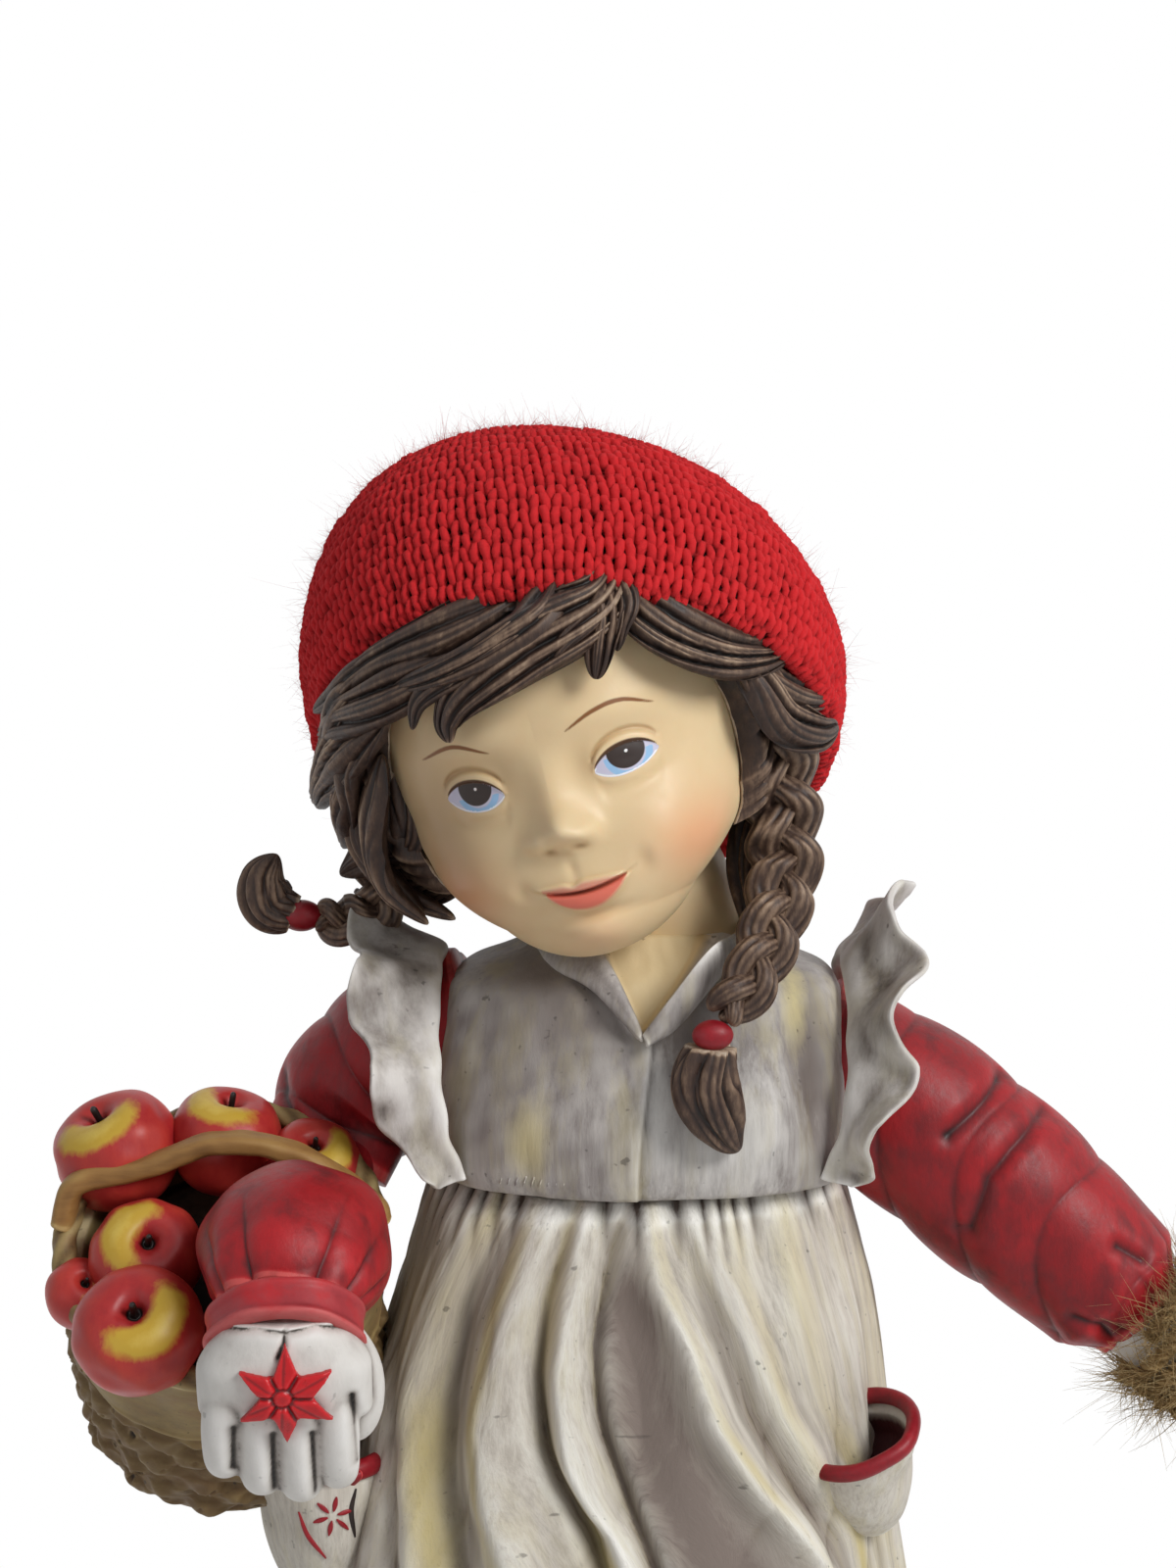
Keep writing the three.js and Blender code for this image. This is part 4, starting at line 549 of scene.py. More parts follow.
# Painted shade: the broad flanks of the big folds are painted mauve grey.
broad = (
    1.3 * hump(from_waist, -0.75, 0.75) + 0.5 * hump(from_waist, 7, 2) + 0.9 * hump(from_waist, -27, 2.6)
    + 0.5 * hump(from_waist, -16, 1.2)
)
note(skirt, "mauve_shade", front * broad * ease(0.02, 0.12, v))
cloudy = ease(-0.5, 0.5, ripple(x, y, 0.4 * z, 22, 9))
bands = sum(
    hump(from_waist, at, wide)
    for at, wide in ((-18.8, 1.3), (-13, 1.2), (-7.9, 0.8), (1.4, 1.1), (12, 1.6), (19, 2.2))
)
note(skirt, "glaze", front * bands * (0.35 + 0.65 * cloudy) + 0.5 * (1 - front) * cloudy)
settle(skirt, apron_cream, "cream_paint", "pinafore_skirt")

# Waistband: the seam that the skirt is gathered to, a thin roll cast between skirt and bodice
# and painted with them, a little darker: painted shade under the bodice's edge.
u, v = rounds(300, 12)
roll = 0.4 * hump(v, 0.5, 0.4) - 1.2 + 0.22 * np.abs(np.sin(24 * u + 2 * np.sin(5 * u)))
x, y = oval(u, WAIST_HALF_WIDE + roll, WAIST_HALF_DEEP + roll, 2.1)
band = skin("waistband_cast", stack(x, y, WAIST_Z + 3 * v))
weather(band, 0.2, 6)
# Painted shade: the waistband is darkened where it lies under the bodice's edge.
note(band, "wash_and_shade", np.full(len(band.data.vertices), 0.55))
settle(band, apron_cream, "cream_paint", "waistband")

# Hip pockets: two pouches modelled on the skirt's sides. Each stands open under its own weight,
# with a roll of binding along the mouth, painted red, and a hollow behind it painted dark maroon as
# painted shade.
def carried(places, matrix):
    """The points of a grid, moved and turned by a matrix."""
    m = np.array(matrix)
    return places @ m[:3, :3].T + m[:3, 3]


def turned_by(degrees, axis):
    """A turn about an axis through the origin."""
    return Matrix.Rotation(math.radians(degrees), 4, axis)


def ring_tube(name, path, thick, flat):
    """A cord that closes on itself along the path's points, and is flat times as high as it is wide."""
    ahead = np.roll(path, -1, 0) - np.roll(path, 1, 0)
    ahead /= np.linalg.norm(ahead, axis=1, keepdims=True)
    side = np.cross(ahead, [0, 0, 1.0])
    side /= np.linalg.norm(side, axis=1, keepdims=True)
    rise = np.cross(side, ahead)
    a = np.arange(14) / 14 * 2 * np.pi
    across = np.cos(a)[:, None] * side[:, None] + flat * np.sin(a)[:, None] * rise[:, None]
    grid = path[:, None] + thick * across
    return skin(name, np.concatenate([grid, grid[:1]]), ends=False)


trim_red = resin_paint(
    "trim_red_acrylic",
    [(0.0, "#2c070b"), (0.3, "#5f0f17"), (0.55, "#8f1420"), (0.8, "#b11f2a"), (1.0, "#cf4a4a")],
    grain=(1.2, 1.2, 1.2), streaky=0.35, drift=0.3, patch=7, rough=0.42, bump=0.08,
)
POCKETS = {  # the pouch's middle, turn, lean, width, height, front's sag, fullness, binding's half width
    "right": ((-44.4, -10, WAIST_Z - 49), 24, 0, 22, 20, 0.0, 1, 1.25),
    "left": ((31.6, -15, WAIST_Z - 40.5), -34, 24, 15.8, 16, 2.5, 0.8, 1.0),
}
for name, (middle, turn, tip, wide, high, sag, fullness, thick) in POCKETS.items():
    facing = 1 if name == "left" else -1
    u, v = rounds(150, 110)
    outside = np.minimum(1, v / 0.7)
    inside = np.clip((v - 0.7) / 0.3, 0, 1)
    body = (
        np.sqrt(1 - (0.92 * (1 - outside)) ** 2.4) * (1 - 0.16 * ease(0, 0.12, inside))
        * (1 - 0.55 * ease(0.5, 1, inside))
    )
    deep = (8 * body + 1.5 * ease(0.6, 1, outside) * (1 - inside)) * fullness
    lean = sag * ease(0.35, 1, outside) * (1 - inside * 0.4)
    lean = lean * (0.5 - 0.5 * np.cos(u - (0.0 if facing > 0 else np.pi)))
    z = high * (outside - 0.5) - 9 * inside - lean
    x = deep * np.cos(u) + facing * 0.12 * sag * ease(0.5, 1, outside) * np.cos(u)
    y = 0.5 * wide * body * np.sin(u)
    crumple = 0.5 * ripple(x, y, z, 8, 21 if facing > 0 else 22)
    grid = stack(x * (1 + 0.05 * crumple), y * (1 + 0.03 * crumple), z)
    stance = Matrix.Translation(middle) @ turned_by(turn, "Z") @ turned_by(tip, "X")
    pouch = skin(f"{name}_pocket_cast", carried(grid, stance))
    weather(pouch, 0.5, 26)
    # Painted shade: the inside of the pouch is painted dark maroon.
    note(pouch, "inside", np.broadcast_to(inside, x.shape))
    settle(pouch, apron_cream, "cream_paint", f"{name}_pocket")
    mouth = grid[77]  # the row where the outside ends and the inside begins
    rim = carried(mouth + np.array([0, 0, 0.9]), stance)
    binding = ring_tube(f"{name}_pocket_binding_cast", rim, thick, 1.15)
    weather(binding, 0.2, 8)
    settle(binding, trim_red, "trim_paint", f"{name}_pocket_binding")

# A little heart stands on the skirt above her right pocket. Below it a six-rayed star is laid on by
# brush, beside a slit where that pocket is cut in, drawn as a dark brown stroke: painted shade in the cut.
charm_at = np.array([-37.3, -30.5, 163.4])
a = np.linspace(0, 1, 90)[:-1] * 2 * np.pi
heart_x, heart_z = 1.35 * np.sin(a) ** 3, 1.1 * np.cos(a) - 0.42 * np.cos(2 * a) - 0.16 * np.cos(3 * a)
shrink = np.sqrt(np.clip(1 - np.linspace(0, 1, 14) ** 2, 0, 1))[:, None]
heart = stack(heart_x * shrink, -1.4 * np.linspace(0, 1, 14)[:, None] * np.ones_like(a), heart_z * shrink)
tilt = Matrix.Translation(charm_at) @ turned_by(-38, "Z")
heart_bead = skin("heart_charm", carried(heart, tilt))
weather(heart_bead, 0.2, 8)
settle(heart_bead, trim_red, "trim_paint")


def sweep(line, section, across, along, out=(0, 0, 1)):
    """A bar swept along a smooth line: section(u, v) is its offset to the side and outwards, and
    out is the way its upper side faces."""
    read = through(line)
    fine = read(np.linspace(0, 1, 801))
    run = np.r_[0, np.cumsum(np.linalg.norm(np.diff(fine, axis=0), axis=1))]
    t = np.interp(np.linspace(0, run[-1], along + 1), run, np.linspace(0, 1, 801))
    at = read(t)
    ahead = read(np.clip(t + 2e-4, 0, 1)) - read(np.clip(t - 2e-4, 0, 1))
    ahead /= np.linalg.norm(ahead, axis=1, keepdims=True)
    side = np.cross(ahead, out(at) if callable(out) else out)
    side /= np.linalg.norm(side, axis=1, keepdims=True)
    rise = np.cross(side, ahead)
    u, v = rounds(across, along)
    a, b = section(u, v)
    return at[:, None] + a[..., None] * side[:, None] + b[..., None] * rise[:, None]


# The strokes lie where a straight line from the camera's place meets the cloth.
CAMERA_AT = (-6.75, -376.3, 303.6)


def stroke(lines, wide):
    """Brush strokes laid on skirt and pouch, along lines given by x and z where the camera sees them."""

    def section(u, v):
        return 0.5 * wide * np.sin(np.pi * (0.1 + 0.8 * v)) * np.cos(u), 0.16 * np.sin(u)

    grids, under = [], (skirt, bpy.data.objects["right_pocket_cast"])
    for line in lines:
        spine = []
        for x, z in through(line)(np.linspace(0, 1, 26)):
            sight = (Vector((x, -30.5, z)) - Vector(CAMERA_AT)).normalized()
            casts = [cloth.ray_cast(Vector(CAMERA_AT) * 0.001, sight) for cloth in under]
            found = [at for hit, at, _, _ in casts if hit]
            if found:
                spine.append(tuple(np.array(min(found, key=lambda at: at.y)) * 1000 - [0, 0.12, 0]))
        if len(spine) < 4:
            continue
        grids.append(sweep(spine, section, 10, 30, (0, -1, 0)))
    return grids


star_at, ray = np.array([-40.3, 157.8]), 2.7
rays = [[star_at + 0.25 * ray * way, star_at + ray * way] for way in
        [np.array([math.sin(k * math.pi / 3 + 0.2), math.cos(k * math.pi / 3 + 0.2)]) for k in range(6)]]
strokes = {
    "skirt_star": (rays + [[(-44.8, 158.4), (-43.6, 155.1), (-41.3, 152)]], 0.7, trim_red),
    # The slit's dark stroke is painted shade in the cut.
    "skirt_slit_shade": ([[(-37.2, 161.6), (-37.9, 158.4), (-37.4, 155)]], 0.8, boot_brown),
}
for name, (lines, wide, material) in strokes.items():
    laid = gather(name, stroke(lines, wide))
    note(laid, "relief", np.full(len(laid.data.vertices), 0.6 if material is trim_red else 0.1))
    settle(laid, material, "trim_paint")

# Bodice: it blouses over the waistband and closes down the front, her right half lapping over
# the left. Its neck is cut to a V with a cream lining; tiny stitches are pressed along the hem.
UPPER = Matrix.Translation((0, 0, WAIST_Z))
BODICE_X = 0.8  # how far the bodice sits to her left
bodice_rings = through([
    (0.93, 0.93, 0.7), (1.045, 1.08, 1.2), (1.055, 1.125, 8), (1.03, 1.06, 15),
    (1.0, 0.97, 21), (0.92, 0.86, 27), (0.64, 0.7, 30.5), (0.4, 0.54, 33.5),
])
u, v = rounds(520, 190)
ring = bodice_rings(v)
wide, deep, z = ring[..., 0], ring[..., 1], ring[..., 2]
x, y = oval(u, WAIST_HALF_WIDE * wide, WAIST_HALF_DEEP * deep, 2.5)
front = ease(0.25, 0.6, -np.sin(u))
seam = 0.8 - 1.6 * ease(22, 4, z)
lap = 0.75 * ease(seam + BODICE_X + 0.25, seam + BODICE_X - 0.25, x + BODICE_X)
lap = lap * ease(-16, -1, x) * ease(24, 21, z)
open_left = np.interp(z, [22.4, 31.5, 34], [0.1, -4.8, -7])
open_right = np.interp(z, [22.4, 34, 36], [0.6, 11.0, 12])
opening = ease(0, 0.7, x + BODICE_X - open_left) * ease(0, 0.7, open_right - x - BODICE_X)
opening = opening * ease(22.4, 23.2, z)
lip = hump(x + BODICE_X, open_left - 0.6, 0.8) * ease(22, 24, z) * 0.5
frill = 0.05 * np.sin(2.2 * x + 0.8 * np.sin(z)) * opening * ease(27, 31, z)
bunch = 0.35 * np.abs(np.sin(13 * u + 1.5 * np.sin(4 * u))) * hump(v, 0.03, 0.08)
tucked = -0.6 * hump(x, 21.5, 3) * front * ease(4, 12, z) + 0.5 * hump(x, 15, 5) * hump(z, 16, 10) * front
soft = 0.35 * ripple(x, y, z, 13, 31) + 0.12 * ripple(x, y, z, 5, 32)
out = front * (lap + lip + frill - 2.3 * opening + tucked) + bunch + soft * ease(0, 0.15, v)
x, y = oval(u, WAIST_HALF_WIDE * wide + out, WAIST_HALF_DEEP * deep + out, 2.5)
bodice = skin("bodice_cast", carried(stack(x + BODICE_X, y, z), UPPER))
weather(bodice, 0.45, 34)
note(bodice, "lining", opening * front)
# Painted shade and painted highlight: where the bodice turns from the light, and beside the braid where its
# shadow falls, it is painted dull grey; where the light falls full it is painted pale.
turned_from_light = (
    0.8 * hump(x, -10, 10) * hump(z, 27, 8) + 0.5 * hump(x, -19, 4) * hump(z, 14, 10)
    + 0.9 * hump(x, 22, 2.4) * hump(z, 16, 12)
)
braid_shadow = 0.7 * hump(x, 6, 3) * hump(z, 20, 9)
note(bodice, "painted_shade", front * (turned_from_light + braid_shadow))
note(
    bodice, "pale_highlight",
    front * (
        0.9 * hump(x, 11, 9) * hump(z, 9, 9) + 0.8 * hump(x, 1.6, 1.6) * hump(z, 13, 9)
        + 0.5 * hump(x, -17, 4) * hump(z, 3, 3)
    )
)
note(bodice, "cream", front * (hump(x, 20, 2) * hump(z, 26, 7) + 0.9 * hump(x, -15.5, 3) * hump(z, 8, 6)))
bodice_cream = resin_paint(
    "bodice_grey_and_cream_acrylic",
    [
        (0.0, "#221b19"), (0.14, "#4f4743"), (0.3, "#7b736f"), (0.46, "#9b9490"), (0.6, "#b7b1ac"),
        (0.78, "#d3cfca"), (1.0, "#efece8")
    ],
    grain=(1.3, 1.3, 17), streaky=0.55, drift=0.45, patch=24, rough=0.56, specks=0.55, tint="#c9bd8f",
    tinted=0.34, bump=0.14,
    # Over the paint: dull grey as painted shade, pale grey-white as painted highlight, cream patches and the
    # lining.
    over=[
        ("painted_shade", "#655a53", 0.1, 1.1, 0.9), ("pale_highlight", "#e3e0db", 0.15, 1.1, 0.9),
        ("cream", "#cfc18f", 0.2, 1.2, 0.7), ("lining", "#dcc69a", 0.1, 0.7, 0.3)
    ],
)
settle(bodice, bodice_cream, "cream_paint", "pinafore_bodice")

thread = []
for k in range(20):
    sx = -22.5 + 1.05 * k
    sy = -20.4 * (1 - min(1, abs(sx - BODICE_X) / 29.5) ** 2.5) ** (1 / 2.5) - 2.35
    sz = 2.9 + 0.0035 * (sx + 15) ** 2
    stitch = sweep([(sx - 0.2, sy, sz - 0.75), (sx, sy - 0.35, sz), (sx + 0.25, sy - 0.1, sz + 0.75)],
                   lambda u, v: (0.13 * np.cos(u), 0.13 * np.sin(u)), 6, 4, (0, -1, 0))
    thread.append(carried(stitch, UPPER))
stitches = gather("bodice_stitches", thread)
weather(stitches, 0.1, 2)
settle(stitches, bodice_cream, "cream_paint")

# Collar: on her right a narrow turned edge that runs from the nape to the foot of the V, and on
# her left a lapel that stands up to a point beside the braid. Both are cast with the bodice.
neck_edge = sweep(
    [
        (0.8, 12.5, 33.5), (-8, 10, 34), (-12.2, 0, 33.6), (-10.6, -9.5, 32.6), (-5.6, -17.2, 30.2),
        (-1.8, -20.8, 25.6), (0.4, -22.1, 22.2)
    ],
    lambda u, v: oval(u, (3.4 - 2.2 * ease(0.55, 1, v)) * np.sqrt(1.01 - v ** 12), 1.0, 2.6), 36, 120,
    lambda at: np.stack([at[:, 0] - 2, at[:, 1] - 1, np.full(len(at), 12.0)], 1),
)
right_collar = skin("right_collar_cast", carried(neck_edge, UPPER))
weather(right_collar, 0.3, 18)
settle(right_collar, bodice_cream, "cream_paint", "right_collar")
lapel_line = through(
    [
        (0.9, -22.6, 21.6), (4.6, -21.2, 23.5), (8.6, -17.2, 27.5), (12.6, -9, 31), (13.4, 2, 33),
        (8, 9.5, 34.3), (2, 12, 34.6)
    ]
)
lapel_free = through(
    [
        (0.4, -23.0, 23.2), (4.2, -22.6, 28.2), (9.6, -19.6, 34.2), (14.4, -9, 34.2), (15.0, 2, 35.2),
        (9, 11.2, 36.2), (3, 13.8, 36)
    ]
)
t = np.linspace(0, 1, 150)
low, high = lapel_line(t), lapel_free(t)
s = np.linspace(0, 1, 26)
sheet = low[None] + (high - low)[None] * s[:, None, None]
bow = np.cross(np.gradient(high, axis=0), high - low)
bow /= np.linalg.norm(bow, axis=1, keepdims=True)
wave = 0.7 * np.sin(9 * t + 0.6) * ease(0.3, 0.5, t)
sheet += bow[None] * ((0.9 * np.sin(np.pi * s[:, None]) + wave[None] * s[:, None])[..., None])
thick = 0.55 * np.sqrt(np.clip(1 - (2 * s - 1) ** 6, 0.02, 1))[:, None, None] * bow[None]
loop = np.concatenate([sheet + thick, sheet[::-1] - thick[::-1]], 0).transpose(1, 0, 2)
left_collar = skin("left_collar_cast", carried(loop, UPPER))
weather(left_collar, 0.3, 16)
settle(left_collar, bodice_cream, "cream_paint", "left_collar")

# Shoulder ruffles: a frill of thin cast cloth from the front of the waist over each shoulder to
# the back. Its free edge waves, and the dark wash sits where the frill leaves the bodice.
def crumpled(grid, high, lumps):
    """A grid with soft lumps laid over it, from a size and a seed for each of its three directions."""
    x, y, z = grid[..., 0], grid[..., 1], grid[..., 2]
    return grid + high * np.stack([ripple(x, y, z, size, seed) for size, seed in lumps], -1)


def ruffle(side, tilt, waves, reach, deep_wave):
    x0 = side * WAIST_HALF_WIDE + BODICE_X
    line = [
        (x0 - side * 3, -17.5, 2), (x0 - side * 0.5, -18, 10), (x0 + side * 0.5, -14, 20),
        (x0 + side * 0.5, -5, 28.5), (x0 + side * 0.5, 5, 28.5), (x0, 14, 19), (x0 - side * 3, 16, 7),
    ]

    def out(at):
        way = at - np.array([x0, 0, 10.0])
        way[:, 0] = 0
        way /= np.linalg.norm(way, axis=1, keepdims=True)
        return way + np.array([side * tilt, 0, 0])

    def section(u, v):
        long = (4 + reach * np.sin(np.pi * v) ** 0.8) * 0.5 * (1 + 0.1 * np.sin(2 * np.pi * waves * v + 1.7))
        a, b = oval(u, 0.85, long, 3.5)
        free = np.clip((b + long) / (2 * long), 0, 1)
        thin = 1 - 0.45 * ease(0.3, 1, free) + 0.35 * hump(free, 1, 0.1) + 1.4 * ease(0.45, 0, free)
        wave = deep_wave * free ** 1.3 * np.sin(2 * np.pi * waves * v + 0.5)
        curl = 0.9 * free ** 3 * np.cos(2 * np.pi * waves * v)
        return a * thin + wave, b + long - 1.5 - np.abs(curl) * 0.4

    grid = sweep(line, section, 56, 260, out)
    return carried(crumpled(grid, 0.25, [(6, 41), (6, 42), (6, 43)]), UPPER)


frill_white = resin_paint(
    "frill_white_acrylic",
    [
        (0.0, "#1d1615"), (0.14, "#4c4440"), (0.28, "#8f8781"), (0.42, "#b9b3ad"), (0.56, "#d5d0cb"),
        (0.78, "#e9e6e1"), (1.0, "#f7f5f2")
    ],
    grain=(1.6, 1.6, 5), streaky=0.4, drift=0.45, patch=11, rough=0.55, specks=0.5, tint="#c8bf9a",
    tinted=0.25, bump=0.12, level=0.05,
)
FRILLS = {"right": (-1, 2.1, 5.5, 9.5, 2.1), "left": (1, 0.7, 5.5, 9.5, 2.3)}
for name, (side, tilt, waves, reach, deep_wave) in FRILLS.items():
    frill = skin(f"{name}_shoulder_ruffle_cast", ruffle(side, tilt, waves, reach, deep_wave))
    weather(frill, 0.7, 34, 0.44)
    settle(frill, frill_white, "cream_paint", f"{name}_shoulder_ruffle")

# Bow: the pinafore ties behind with a bow of two loops, two tails and a knot, cast in one with
# the waist. The front of the figure doesn't show it; such aprons close this way.
KNOT_Y = 23.2
u, v = rounds(80, 50)
pole = np.pi * (v - 0.5)
knot = stack(
    3.4 * np.cos(pole) * np.cos(u), KNOT_Y + 0.8 + 2.7 * np.cos(pole) * np.sin(u), 1 + 3.7 * np.sin(pole)
)
knot *= 1 + 0.03 * np.sin(7 * u + 2 * v)[..., None] * np.array([1, 0, 1])
bow_knot = skin("bow_knot_cast", carried(knot, UPPER))
weather(bow_knot, 0.2, 10)
settle(bow_knot, apron_cream, "cream_paint", "bow_knot")
for name, side in (("right", -1), ("left", 1)):
    def loop_section(u, v):
        a, b = oval(u, 2.2 + 4 * hump(v, 0.65, 0.3), 1.1 + 1.7 * hump(v, 0.6, 0.25), 2.6)
        pleat = 0.35 * np.sin(5 * a / 2) * (1 - v) ** 1.5
        return a, b * (1 + 0.12 * np.cos(3 * u)) + pleat

    def tail_section(u, v):
        a, b = oval(u, 1.8 + 2.6 * v, 0.9, 2.6)
        return a, b + 0.5 * np.sin(1.1 * a + 5 * v) * v

    loop = sweep(
        [
            (side, KNOT_Y, 1), (side * 8, KNOT_Y + 2.4, 4), (side * 16, KNOT_Y + 2, 3.2),
            (side * 19, KNOT_Y + 0.6, 0.4)
        ],
        loop_section, 64, 90, (0, 1, 0.15)
    )
    tail = sweep([(side * 3.4, KNOT_Y + 1, 1), (side * 6.4, KNOT_Y + 3.8, -8), (side * 8.6, KNOT_Y + 7, -19),
                  (side * 12, KNOT_Y + 9, -30)], tail_section, 56, 110, (0, 1, 0.15))
    bow_half = gather(f"{name}_bow_cast", [carried(loop, UPPER), carried(tail, UPPER)])
    weather(bow_half, 0.4, 22)
    settle(bow_half, apron_cream, "cream_paint", f"{name}_bow")

# Sleeves: each arm is cast apart and glued over a peg at the shoulder. Cloth creases are cut
# across them with a round tool and filled with dark wash; the red is painted lighter on the ridges,
# as painted highlight where light falls.
sleeve_red = resin_paint(
    "sleeve_red_acrylic",
    [
        (0.0, "#0f0304"), (0.16, "#350a0e"), (0.36, "#6e1218"), (0.54, "#98161d"), (0.7, "#b01d24"),
        (0.86, "#c43034"), (1.0, "#d65a57")
    ],
    grain=(1.6, 1.6, 3.2), streaky=0.32, drift=0.66, patch=20, rough=0.46, bump=0.12, tint="#4d1117",
    tinted=0.6,
)


def creased(u, v, turns, lean):
    """How far a sleeve stands out, with sharp creases that run round it and lean."""
    wave = np.sin(2 * np.pi * turns * v + lean * np.sin(u) + 0.8 * np.cos(2 * u))
    return np.abs(wave) ** 0.7 - 0.6


def nearest(x, z, lines):
    """How far each point is from the nearest of the lines, which are given by x and z."""
    near = np.full(len(x), 1e9)
    for line in lines:
        for (x0, z0), (x1, z1) in zip(line[:-1], line[1:]):
            way = np.array([x1 - x0, z1 - z0])
            t = np.clip(((x - x0) * way[0] + (z - z0) * way[1]) / (way @ way), 0, 1)
            near = np.minimum(near, np.hypot(x - x0 - t * way[0], z - z0 - t * way[1]))
    return near


def score(piece, lines, wide, deep):
    """Presses grooves into the front of a piece, along lines given by x and z."""
    mesh = piece.data
    at = spots(mesh)
    out = np.empty(3 * len(at))
    mesh.vertex_normals.foreach_get("vector", out)
    out = out.reshape(-1, 3)
    near = nearest(at[:, 0], at[:, 2], lines)
    push = (
        (deep * np.exp(-np.abs(near / wide) ** 1.4) - 0.06 * deep * hump(near, 2.1 * wide, 0.9 * wide))
        * ease(0.0, 0.35, -out[:, 1])
    )
    mesh.vertices.foreach_set("co", ((at - out * push[:, None]) * 0.001).ravel())
    mesh.update()


def right_upper(u, v):
    r = 12.5 * (0.86 + 0.1 * hump(v, 0.45, 0.3) - 0.12 * ease(0.7, 1, v)) + 0.8 * creased(u, v, 1.6, 1.2)
    return r * np.cos(u), r * np.sin(u)


arm = sweep(
    [(-21.5, 2, 19.5), (-30.5, 2.5, 15.8), (-39.5, 2, 8), (-43.5, -1, 1)], right_upper, 160, 150, (0, -1, 0)
)
upper_sleeve = skin("right_upper_sleeve_cast", carried(arm, UPPER))
score(upper_sleeve, [[(-49.9, 211.4), (-49.0, 207.4), (-46.6, 204.2)]], 0.9, 0.8)
weather(upper_sleeve, 0.45, 34)
settle(upper_sleeve, sleeve_red, "red_paint", "right_upper_sleeve")

WRIST = (-44.3, -46.5, -6.4)


def forearm(u, v):
    gather_line = ease(0.76, 0.99, v)
    pinch = np.abs(np.sin(4.5 * u + 1.1 * np.sin(2 * u) + 0.6)) ** 0.5 - 0.6
    soft = 0.4 * ripple(9 * np.cos(u), 9 * np.sin(u), 40 * v, 8, 51)
    r = (
        8.4 + 3.9 * hump(v, 0.74, 0.2) - 1.6 * ease(0.9, 1, v) + 1.5 * pinch * gather_line + soft
        + 0.4 * creased(u, v, 1.5, 1)
    )
    return r * np.cos(u), 0.9 * r * np.sin(u)


arm = sweep([(-44, 1, 2), (-45, -12, -2), (-44.9, -24, -3), (-44.1, -35, -2), (-44.1, -42, -3.4), WRIST],
            forearm, 220, 190)
fore = skin("right_forearm_cast", carried(arm, UPPER))
weather(fore, 0.45, 30)
settle(fore, sleeve_red, "red_paint", "right_forearm_sleeve")

cuff_red = resin_paint(
    "cuff_rose_acrylic",
    [(0.0, "#2a0a0d"), (0.3, "#7c2227"), (0.5, "#a5343a"), (0.75, "#b84a4c"), (1.0, "#c9605f")],
    grain=(2, 2, 2), streaky=0.3, drift=0.45, patch=9, rough=0.5, bump=0.08, tint="#c01f26", tinted=0.7,
)
band_line = through(
    [
        (WRIST[0], WRIST[1] - 0.2, WRIST[2] - 0.3), (WRIST[0] + 0.2, WRIST[1] - 1.9, WRIST[2] - 1.9),
        (WRIST[0] + 0.3, WRIST[1] - 3.6, WRIST[2] - 3.5)
    ]
)


def cuff_section(u, v):
    lip = 0.45 * hump(v, 0.9, 0.1) + 0.3 * hump(v, 0.1, 0.12)
    r = 9.6 + lip + 0.12 * np.sin(7 * u)
    return r * np.cos(u), r * np.sin(u)


cuff_line = [tuple(band_line(k)) for k in (0.0, 0.5, 1.0)]
cuff_out = sweep(cuff_line, cuff_section, 140, 24)
cuff_in = sweep(cuff_line, lambda u, v: (7.7 * np.cos(u), 7.7 * np.sin(u)), 140, 24)
cuff_all = np.concatenate([cuff_out, cuff_in[::-1], cuff_out[:1]])
cuff = skin("right_cuff_cast", carried(cuff_all, UPPER), ends=False)
weather(cuff, 0.3, 10)
settle(cuff, cuff_red, "trim_paint", "right_cuff_band")


def left_arm(u, v):
    wide = 12.5 * (1 + 0.03 * hump(v, 0.45, 0.25) - 0.13 * ease(0.6, 0.9, v) - 0.32 * ease(0.9, 1, v))
    pinch = (np.abs(np.sin(4 * u + 0.7)) ** 0.7 - 0.6) * ease(0.8, 0.98, v)
    r = wide + 0.9 * pinch + 0.75 * creased(u, v, 2, 1.6)
    return r * np.cos(u), r * np.sin(u)


LEFT_LINE = [(23.5, 1, 14), (36.5, 0, 8), (52.5, -3, -4.5), (63.5, -5.5, -14), (70, -7, -20.3)]
arm = sweep(LEFT_LINE, left_arm, 220, 230)
left_sleeve = skin("left_sleeve_cast", carried(arm, UPPER))
score(
    left_sleeve,
    [
        [(42, 204.6), (46.1, 207.6), (51.5, 211.8)],
        [(44.9, 191.6), (47.2, 199), (50.7, 202.8), (54.6, 205.8), (59.5, 207.8)]
    ],
    1.15, 1.0
)
score(left_sleeve, [[(65.2, 189.6), (68.6, 187.5)], [(59.2, 179.4), (63.3, 178.4), (66.4, 174)]], 0.9, 0.8)
weather(left_sleeve, 0.5, 34)
settle(left_sleeve, sleeve_red, "red_paint", "left_sleeve")

# Gloves: white mittens with fingers, cast with the hands. A short placket runs down the back
# from the cuff, and a red star of six petals is modelled on it and picked out in red.
glove_white = resin_paint(
    "glove_white_acrylic",
    [
        (0.0, "#171311"), (0.16, "#5e5751"), (0.3, "#b4ada7"), (0.48, "#dad6d0"), (0.75, "#eeebe7"),
        (1.0, "#f6f4f2")
    ],
    grain=(1.6, 1.6, 4), streaky=0.25, drift=0.3, patch=12, rough=0.58, bump=0.1, specks=0.3,
)
star_red = resin_paint(
    "star_red_enamel",
    [(0.0, "#4a0c10"), (0.3, "#8f1319"), (0.5, "#c4151d"), (0.8, "#d2242a"), (1.0, "#e2584f")],
    grain=(1.5, 1.5, 1.5), streaky=0.2, drift=0.2, patch=5, rough=0.32, bump=0.05,
)


